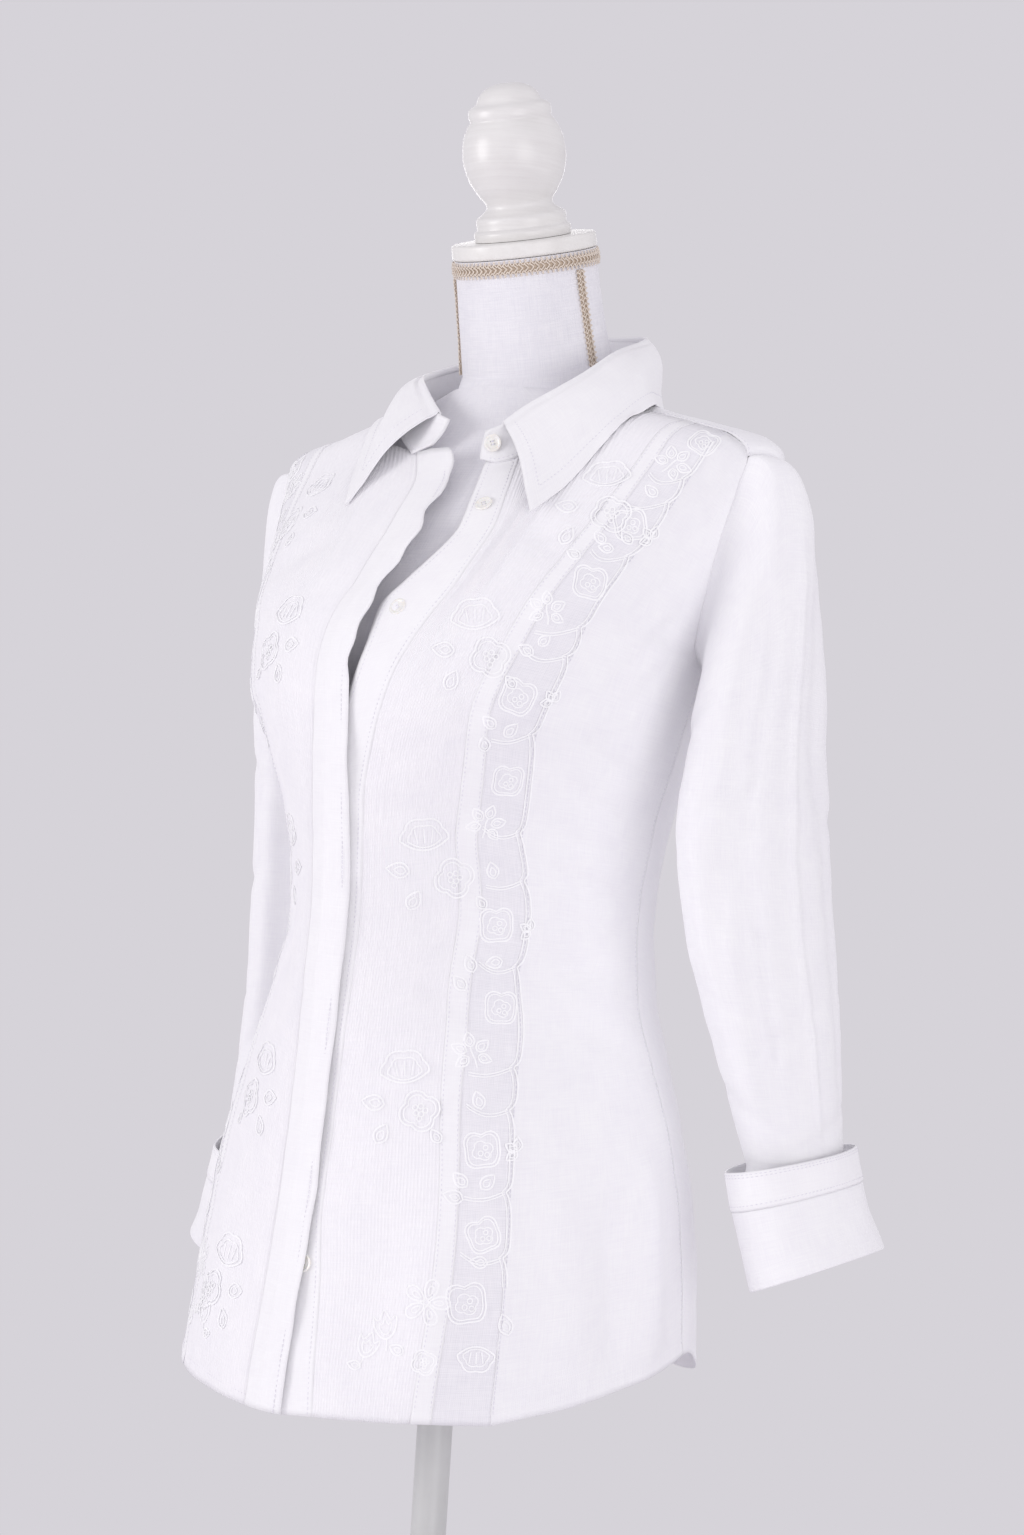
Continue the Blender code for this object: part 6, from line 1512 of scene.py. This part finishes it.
# The spray at the strip's lower end and those on the tucks: what, x, height, radius in mm, turn
LOWER_SPRAYS = (
    ("flower", 0.1084, 0.7759, 13.0, 10), ("oval", 0.1250, 0.7640, 6.5, 20),
    ("shell", 0.1160, 0.7440, 11.5, 180),
    ("lobed", 0.0943, 0.7400, 7.5, 0), ("petals", 0.0905, 0.7750, 14.0, 0),
    ("tulip", 0.0716, 0.7599, 9.0, 10),
    ("tulip", 0.0640, 0.7475, 8.0, -15), ("oval", 0.0585, 0.7353, 4.0, 80), ("oval", 0.0800, 0.7463, 4.6, 70),
)
LARGE_SPRAYS_LEFT = ((0.1210, 1.2700), (0.0820, 1.1780), (0.0538, 1.0436), (0.0575, 0.9025))
LARGE_SPRAYS_RIGHT = ((-0.1090, 1.2700), (-0.0600, 1.1773), (-0.0500, 1.0400), (-0.0480, 0.8966),
                      (-0.0500, 0.7780))
LARGE_SPRAY = (("shell", 0.0000, 0.0085, 15.0, 8), ("lobed", 0.0120, -0.0160, 12.5, 0),
               ("oval", -0.0135, -0.0130, 7.0, 85),
               ("oval", -0.0060, -0.0310, 6.4, -25), ("oval", 0.0225, -0.0300, 4.6, 40))
ON_TUCKS = CLOTH + 0.0005


def strip_x(height, share):
    """Distance from the centre line at a share across the sheer strip."""
    inner, outer = np.moveaxis(read(STRIP_ROWS, height), -1, 0)
    return inner + (outer - inner) * share


def strip_lean(height):
    """Angle of the strip from upright."""
    rise = float(strip_x(height + 0.01, 0.5) - strip_x(height - 0.01, 0.5))
    return -math.atan2(rise, 0.02)


def embroider(sign, side):
    """Cord embroidery of one front: the strip's sprays and vine, and the large sprays on the tucks."""
    mirror = sign < 0.0
    shift = 0.0 if sign > 0.0 else -0.006
    for kind, height, share, radius, turn in STRIP_SPRAYS:
        x = float(strip_x(height + shift, share)) * sign
        lean = (strip_lean(height) + math.radians(turn)) * sign
        inside = 0.0 <= share <= 1.0
        lay_cord(side, x, height + shift, MOTIFS[kind](radius * 0.001), lean,
                 lift=CLOTH if inside else ON_TUCKS,
                 mirror=mirror)
    for kind, x, height, radius, turn in LOWER_SPRAYS:
        lay_cord(side, x * sign, height, MOTIFS[kind](radius * 0.001), math.radians(turn) * sign,
                 lift=CLOTH + 0.0002,
                 mirror=mirror)
    for x, height in LARGE_SPRAYS_LEFT if sign > 0.0 else LARGE_SPRAYS_RIGHT:
        for kind, over, up, radius, turn in LARGE_SPRAY:
            lay_cord(side, x + over * sign, height + up, MOTIFS[kind](radius * 0.001),
                     math.radians(turn) * sign,
                     lift=ON_TUCKS, mirror=mirror)

    def vine(heights, share, radius, beside):
        x = (strip_x(heights, share) + beside) * sign
        points = section_point(turn_at_x(x, heights), heights)
        normals = body_normal(points)
        CORDS[side].append(tube(dressed(points, CLOTH + 0.0004, normals), normals, radius, sides=5, flat=0.6))

    # The stem runs down the strip's outer edge as two cords and swings in a little at every branch
    heights = np.linspace(0.786, 1.303, 420)
    swing = np.zeros(len(heights))
    for branch in BRANCHES:
        swing += np.where(heights < branch, np.exp((heights - branch) / 0.006),
                          np.exp((branch - heights) / 0.0025))
    for beside in (0.0, 0.0017):
        vine(heights, 1.0 - 0.13 * swing, CORD_RADIUS if beside else FINE_CORD, beside)
    across = np.linspace(0.0, 1.0, 22)
    for number, branch in enumerate(BRANCHES):
        fall = 0.0035 * np.sin(math.pi * across) + 0.004 * across ** 2 * (1.0 if number % 2 else -0.6)
        for drop in (0.0, 0.0016):
            vine(branch - fall - drop, 0.93 - 0.82 * across, FINE_CORD, 0.0)


def neck_frame(distance):
    """Frame at a distance up the neck's tilted line."""
    foot = Matrix.Translation(Vector(NECK_FOOT)) @ Matrix.Rotation(NECK_TILT, 4, "X")
    return foot @ Matrix.Translation((0.0, 0.0, distance))


def neck_radius(distance):
    """Radius of the neck at a distance up its line."""
    return np.interp(distance, [row[0] for row in NECK_ROWS], [row[1] for row in NECK_ROWS])


def on_neck(angle, distance, lift):
    """Points off the neck's surface, and the directions out of it."""
    angle, distance, lift = np.broadcast_arrays(angle, distance, lift)
    frame_here = np.array(neck_frame(0.0))
    radius = neck_radius(distance) + lift
    local = np.stack([radius * np.cos(angle), radius * np.sin(angle), distance], axis=-1)
    out = np.stack([np.cos(angle), np.sin(angle), np.zeros_like(angle)], axis=-1)
    return local @ frame_here[:3, :3].T + frame_here[:3, 3], out @ frame_here[:3, :3].T


def turned(name, profile, matrix, finish, smooth=38.0, segments=TURNED_SEGMENTS):
    """A turned piece from a profile of heights and radii, as closed rings with capped ends."""
    line = np.array(profile, float)
    angles = np.linspace(0.0, 2.0 * math.pi, segments, endpoint=False)
    line = line[line[:, 1] > 1e-6]
    grid = np.stack([line[:, 1:2] * np.cos(angles), line[:, 1:2] * np.sin(angles),
                     np.broadcast_to(line[:, :1], (len(line), segments))], axis=-1)
    place = np.array(matrix)
    grid = grid @ place[:3, :3].T + place[:3, 3]
    mesh = grid_mesh(name, grid, closed=True)
    cap_rings(mesh, len(line), segments)
    return show(name, mesh, finish, smooth)


def cap_rings(mesh, rows, segments):
    """Close the first and last ring of a mesh and turn all its faces outward."""
    shape = bmesh.new()
    shape.from_mesh(mesh)
    shape.verts.ensure_lookup_table()
    shape.faces.new([shape.verts[k] for k in range(segments)])
    shape.faces.new([shape.verts[(rows - 1) * segments + k] for k in range(segments)])
    bmesh.ops.recalc_face_normals(shape, faces=shape.faces)
    shape.to_mesh(mesh)
    shape.free()


def rounded(corners, radius, steps=4):
    """A profile with its corners eased by small arcs."""
    points = np.array(corners, float)
    line = [points[0]]
    for k in range(1, len(points) - 1):
        before = points[k - 1] - points[k]
        after = points[k + 1] - points[k]
        first = min(radius, 0.45 * np.linalg.norm(before))
        last = min(radius, 0.45 * np.linalg.norm(after))
        a = points[k] + before / np.linalg.norm(before) * first
        b = points[k] + after / np.linalg.norm(after) * last
        for t in np.linspace(0.0, 1.0, steps + 1):
            line.append(a * (1 - t) ** 2 + points[k] * 2 * t * (1 - t) + b * t ** 2)
    line.append(points[-1])
    return line


def build_form():
    """Linen-covered torso and neck of the form, the cap and the turned finial."""
    segments = 96
    heights = np.linspace(FORM_ROWS[0][0], FORM_ROWS[-1][0], 90)
    turns = np.linspace(0.0, 2.0 * math.pi, segments, endpoint=False)
    grid = section_point(turns[None, :] + 0.0 * heights[:, None], heights[:, None] + 0.0 * turns[None, :],
                         FORM_ROWS)
    grid = shoulder_sink(grid)
    mesh = grid_mesh("form_torso_linen", grid, closed=True)
    cap_rings(mesh, len(heights), segments)
    torso = show("form_torso_linen", mesh, LINEN, 60.0)
    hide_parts("form_torso")
    angles = np.linspace(0.0, 2.0 * math.pi, segments, endpoint=False)
    foot = np.stack([0.052 * np.cos(angles), 0.037 + 0.050 * np.sin(angles), np.full(segments, 1.3403)],
                    axis=-1)
    distances = np.linspace(NECK_ROWS[0][0], NECK_TOP, 40)
    rings = [foot]
    for distance in distances:
        soft = 0.0004 * np.sin(3.0 * angles + distance * 60.0)
        rings.append(on_neck(angles, distance, soft)[0])
    mesh = grid_mesh("form_neck_linen", np.array(rings), closed=True)
    cap_rings(mesh, len(rings), segments)
    neck = show("form_neck_linen", mesh, LINEN, 60.0)
    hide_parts("form_neck")
    cap = rounded(((0.0, 0.001), (0.0, CAP_RADIUS), (CAP_HEIGHT, CAP_RADIUS), (CAP_HEIGHT, 0.001)), 0.0022, 5)
    piece = turned("neck_cap_painted", cap, neck_frame(NECK_TOP + SEAM), CAP_PAINT)
    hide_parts("neck_cap")
    line = smooth_line(FINIAL_PROFILE, 4)
    line = line[:np.argmax(line[:, 0] > 0.0988)]
    piece = turned("finial_painted", [(0.0, 0.001)] + [tuple(p) for p in line],
                   neck_frame(NECK_TOP + CAP_HEIGHT + 2 * SEAM), FINIAL_PAINT, 34.0)
    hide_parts("finial")


def braid_run(length, width, place, closed):
    """Gimp braid in a run's own measures: crossed cords, an edge cord each side, and loops outside them."""
    parts = []
    half = 0.5 * width
    waves = max(4, round(length / 0.0034))
    pitch = length / waves
    for side in (-1.0, 1.0):
        s = np.linspace(0.0, length, waves * 14, endpoint=not closed)
        wave = 2.0 * math.pi * s / pitch
        swing = 0.5 - 0.5 * np.cos(wave)
        along = s + 0.36 * pitch * np.sin(wave) * swing
        points, out = place(along, side * half * (0.34 + 0.62 * swing), 0.0013 + 0.0005 * (1.0 - swing))
        parts.append(tube(points, out, 0.00042, sides=5, closed=closed, flat=0.85))
        for k in range(waves):
            t = np.linspace(0.0, 1.0, 5)
            along = pitch * (k + 0.15 + 0.75 * t)
            points, out = place(along, side * half * (0.50 - 0.50 * t), 0.0017 + 0.0003 * np.sin(math.pi * t))
            parts.append(tube(points, out, 0.00048, sides=5, flat=0.85))
    return parts


def build_braids():
    """The braid round the neck under the cap and the two that run down into the collar."""
    middle = NECK_TOP - 0.0004 - 0.5 * BRAID_WIDTH
    radius = float(neck_radius(middle))

    def round_neck(s, w, lift):
        return on_neck(s / radius, middle + w, lift)

    parts = braid_run(2.0 * math.pi * radius, BRAID_WIDTH, round_neck, True)
    ring = joined("neck_braid_ring_gimp", parts, GIMP)
    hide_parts("neck_braid_ring")
    angles = np.linspace(0.0, 2.0 * math.pi, 96, endpoint=False)
    # The core band under the ring's cords: its darker colour is painted shade in the gaps between them.
    band = np.array([on_neck(angles, middle + w * 0.5 * BRAID_WIDTH, lift)[0]
                     for w, lift in CORE_SHAPE])
    core = show("neck_braid_ring_core", grid_mesh("neck_braid_ring_core", band, closed=True), GIMP_CORE_PAINTED_SHADE)
    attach(core, "root")
    low = 0.013
    length = NECK_TOP - BRAID_WIDTH - 0.0012 - low
    for word, turn in (("left", math.radians(-6.0)), ("right", math.radians(212.0))):
        def down_neck(s, w, lift, turn=turn):
            return on_neck(turn + w / radius, low + s, lift)

        run = joined("neck_braid_%s_gimp" % word, braid_run(length, 0.008, down_neck, False), GIMP)
        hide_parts("neck_braid_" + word)
        s = np.linspace(0.0, length, 20)
        # The core band under the run's cords: its darker colour is painted shade in the gaps between them.
        band = np.stack([down_neck(s, w * 0.004, lift)[0] for w, lift in CORE_SHAPE], axis=1)
        show("neck_braid_%s_core" % word, grid_mesh("neck_braid_%s_core" % word, band), GIMP_CORE_PAINTED_SHADE)


def build_stand():
    """Base, hub and pole."""
    ground = Matrix.Identity(4)
    base = rounded(((0.0005, 0.002), (0.0005, BASE_RADIUS - 0.001), (BASE_HEIGHT - 0.004, BASE_RADIUS),
                    (BASE_HEIGHT, BASE_RADIUS - 0.010), (BASE_HEIGHT, HUB_RADIUS + 0.03),
                    (BASE_HEIGHT, 0.002)), 0.004, 6)
    piece = turned("stand_base_painted", base, ground, BASE_PAINT)
    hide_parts("stand_base")
    foot = BASE_HEIGHT + SEAM
    hub = rounded(((foot, 0.002), (foot, HUB_RADIUS), (foot + 0.004, HUB_RADIUS),
                   (foot + 0.010, HUB_RADIUS - 0.007),
                   (foot + HUB_HEIGHT - 0.010, POLE_RADIUS + 0.008),
                   (foot + HUB_HEIGHT - 0.008, POLE_RADIUS + 0.005),
                   (foot + HUB_HEIGHT, POLE_RADIUS + 0.004), (foot + HUB_HEIGHT, 0.002)), 0.002, 4)
    piece = turned("stand_hub_painted", hub, ground, POLE_PAINT)
    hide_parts("stand_hub")
    bottom = foot + HUB_HEIGHT + SEAM
    pole = rounded(((bottom, 0.002), (bottom, POLE_RADIUS), (0.7597, POLE_RADIUS), (0.7597, 0.002)), 0.0006,
                   3)
    piece = turned("stand_pole_painted", pole, ground, POLE_PAINT, segments=64)
    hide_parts("stand_pole")


def button_body():
    """One button in its own frame: a rimmed dish with four drilled holes."""
    profile = rounded(((-0.0008, 0.0002), (-0.0008, 0.0050), (0.0002, 0.0057), (0.0008, 0.0054),
                       (0.0008, 0.0044),
                       (0.0003, 0.0036), (0.0003, 0.0002)), 0.0004, 3)
    dish = turned("button_pattern", profile, Matrix.Identity(4), BUTTON, 40.0, 48)
    drills = bmesh.new()
    for k in range(4):
        a = math.radians(45.0 + 90.0 * k)
        place = Matrix.Translation((0.0014 * math.cos(a), 0.0014 * math.sin(a), 0.0))
        bmesh.ops.create_cone(drills, cap_ends=True, segments=10, radius1=0.00055, radius2=0.00055,
                              depth=0.004,
                              matrix=place)
    mesh = bpy.data.meshes.new("drills")
    drills.to_mesh(mesh)
    drills.free()
    cutter = bpy.data.objects.new("drills", mesh)
    bpy.context.scene.collection.objects.link(cutter)
    cut = dish.modifiers.new("holes", "BOOLEAN")
    cut.object = cutter
    cut.solver = "EXACT"
    graph = bpy.context.evaluated_depsgraph_get()
    drilled = bpy.data.meshes.new_from_object(dish.evaluated_get(graph))
    for thing in (dish, cutter):
        bpy.data.objects.remove(thing, do_unlink=True)
    return drilled


def build_buttons():
    """The seven buttons, each sewn through its four holes with two bars of thread."""
    pattern = button_body()
    for number in range(1, 8):
        name = "button_%d" % number
        corners = np.array([v.co[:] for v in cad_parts[name].data.vertices])
        middle = 0.5 * (corners.max(axis=0) + corners.min(axis=0))
        spread = np.linalg.svd(corners - corners.mean(axis=0))[2]
        out = spread[2] if spread[2][1] < 0.0 else -spread[2]
        place = Matrix.Translation(Vector(middle)) @ Vector(out).to_track_quat("Z", "Y").to_matrix().to_4x4()
        place = place @ Matrix.Rotation(math.radians(17.0 * number), 4, "Z")
        mesh = pattern.copy()
        mesh.transform(place)
        piece = show(name + "_ivory", mesh, BUTTON, 40.0)
        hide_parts(name)
        turn = np.array(place)[:3, :3]
        for side in (-1.0, 1.0):
            t = np.linspace(-1.0, 1.0, 5)
            for k in (-0.0002, 0.0002):
                local = np.stack([0.0010 * t, np.full(5, side * 0.0010 + k), 0.0005 - 0.0003 * t ** 2],
                                 axis=-1)
                SEWN.append(tube(local @ turn.T + middle, np.repeat(turn[:, 2][None], 5, axis=0), 0.00022,
                                 sides=4))


FLOOR_RADIUS = 2.3
FLOOR_GAP = 0.0004        # the floor lies this far under the base
LAMPS = (                 # name, place, width of the round lamp, watts
    ("key", (-1.7, -2.3, 1.4), 1.5, 25.0), ("fill", (2.7, -1.3, 1.1), 2.2, 24.0),
    ("top", (0.3, 0.6, 3.2), 2.0, 2.0), ("back", (-1.8, 2.2, 1.6), 1.6, 14.0))
LAMP_AIM = 1.05           # height that every lamp looks at
PHOTO_AZIMUTH = math.radians(38.0)
PHOTO_ROLL = math.radians(3.6)
PHOTO_LENS = 76.3
PHOTO_AIM = 1.097         # height that the camera looks at, on the pole's axis
PHOTO_ASIDE = 0.023       # and how far to the camera's right of it
PHOTO_DISTANCE = 2.10


def studio():
    """Floor, soft lights, sky and camera."""
    ground, tree, shader = finish_base("pale_studio_floor", 0.9)
    shader.inputs["Base Color"].default_value = srgb("#DDDAE0")
    disc = bmesh.new()
    bmesh.ops.create_circle(disc, cap_ends=True, radius=FLOOR_RADIUS, segments=96,
                            matrix=Matrix.Translation((0.0, 0.0, -FLOOR_GAP)))
    mesh = bpy.data.meshes.new("studio_floor")
    disc.to_mesh(mesh)
    disc.free()
    mesh.materials.append(ground)
    floor = bpy.data.objects.new("studio_floor", mesh)
    bpy.context.scene.collection.objects.link(floor)
    for name, place, size, power in LAMPS:
        lamp = bpy.data.lights.new(name, "AREA")
        lamp.shape = "DISK"
        lamp.size = size
        lamp.energy = power
        lamp.color = srgb("#FFFEFD")[:3]
        thing = bpy.data.objects.new(name, lamp)
        thing.location = place
        thing.rotation_euler = (Vector((0.0, 0.0, LAMP_AIM)) - Vector(place)).to_track_quat("-Z",
                                                                                            "Y").to_euler()
        bpy.context.scene.collection.objects.link(thing)
    sky = bpy.data.worlds.new("studio_sky")
    sky.use_nodes = True
    sky.node_tree.nodes["Background"].inputs["Color"].default_value = srgb("#D6D3D9")
    sky.node_tree.nodes["Background"].inputs["Strength"].default_value = 1.0
    bpy.context.scene.world = sky
    bpy.context.scene.view_settings.view_transform = "Standard"
    back = Vector((math.sin(PHOTO_AZIMUTH), -math.cos(PHOTO_AZIMUTH), 0.0))
    right = (-back).cross(Vector((0.0, 0.0, 1.0))).normalized()
    up = right.cross(-back)
    level = right * math.cos(PHOTO_ROLL) + up * math.sin(PHOTO_ROLL)
    upright = -right * math.sin(PHOTO_ROLL) + up * math.cos(PHOTO_ROLL)
    camera = bpy.data.cameras.new("photo_camera")
    camera.lens = PHOTO_LENS
    camera.sensor_width = 36.0
    camera.sensor_fit = "AUTO"
    thing = bpy.data.objects.new("photo_camera", camera)
    turn = Matrix((level, upright, back)).transposed().to_4x4()
    aim = Vector((0.0, 0.0, PHOTO_AIM)) + right * PHOTO_ASIDE
    thing.matrix_world = Matrix.Translation(aim + back * PHOTO_DISTANCE) @ turn
    bpy.context.scene.collection.objects.link(thing)
    bpy.context.scene.camera = thing


def sew_body(front_left, front_right, edges, yoke_points, back_line):
    """Stitch rows of plackets, bands, yoke and hem."""
    (edge, seam), (sewn, free) = edges
    sew_on_body(edge[0], edge[1], CLOTH + 0.0002, 0.0040)
    sew_on_body(seam[0], seam[1], CLOTH + 0.0002, -0.0030)
    sew_on_body(free[0], free[1], CLOTH + FLY_LIFT + STIFF - SEAM - 0.0011, -0.0040)
    for sign, lines in ((1.0, front_left), (-1.0, front_right)):
        for name, shift in (("band", 0.0012), ("strip_in", -0.0012), ("strip_out", 0.0014)):
            sew_on_body(lines[name][0], lines[name][1], CLOTH + 0.0003, shift * sign)
        sew_on_body(lines["side"][0][:int(UNDERARM_SHARE * ROWS)],
                    lines["side"][1][:int(UNDERARM_SHARE * ROWS)],
                    CLOTH, -0.0020 * sign)
    for row, lift in ((1, CLOTH + 0.0004), (-2, CLOTH + 0.0004)):
        points = yoke_points[row]
        normals = body_normal(points)
        add_stitches(dressed(points, lift, normals), normals)
    degrees = np.linspace(-178.0, 178.0, 500)
    height = hem_height(degrees) + 0.0065
    points = section_point(np.radians(degrees), height)
    normals = body_normal(points)
    clear = np.abs(points[:, 0] - 0.018) > 0.022
    for first, last in ((0, int(np.argmin(clear)) - 1),
                        (len(clear) - int(np.argmin(clear[::-1])) + 1, len(clear))):
        add_stitches(dressed(points[first:last], CLOTH, normals[first:last]), normals[first:last])


front_left = build_front(1.0, "left")
front_right = build_front(-1.0, "right")
placket_edges = build_plackets()
back_line = build_back()
yoke_points = build_yoke()
for sign, word, rows, folds, lines in ((1.0, "left", LEFT_SLEEVE_ROWS, LEFT_SLEEVE_FOLDS, front_left),
                                       (-1.0, "right", RIGHT_SLEEVE_ROWS, RIGHT_SLEEVE_FOLDS, front_right)):
    build_sleeve(sign, word, rows, folds, armhole(lines["side"], back_line, yoke_points))
build_collar()
build_form()
build_braids()
build_stand()
build_buttons()
sew_body(front_left, front_right, placket_edges, yoke_points, back_line)
joined("sewing_thread", SEWN, THREAD)
for sign, side in ((1.0, "left"), (-1.0, "right")):
    embroider(sign, side)
    joined("embroidery_" + side, CORDS[side], CORD)
studio()
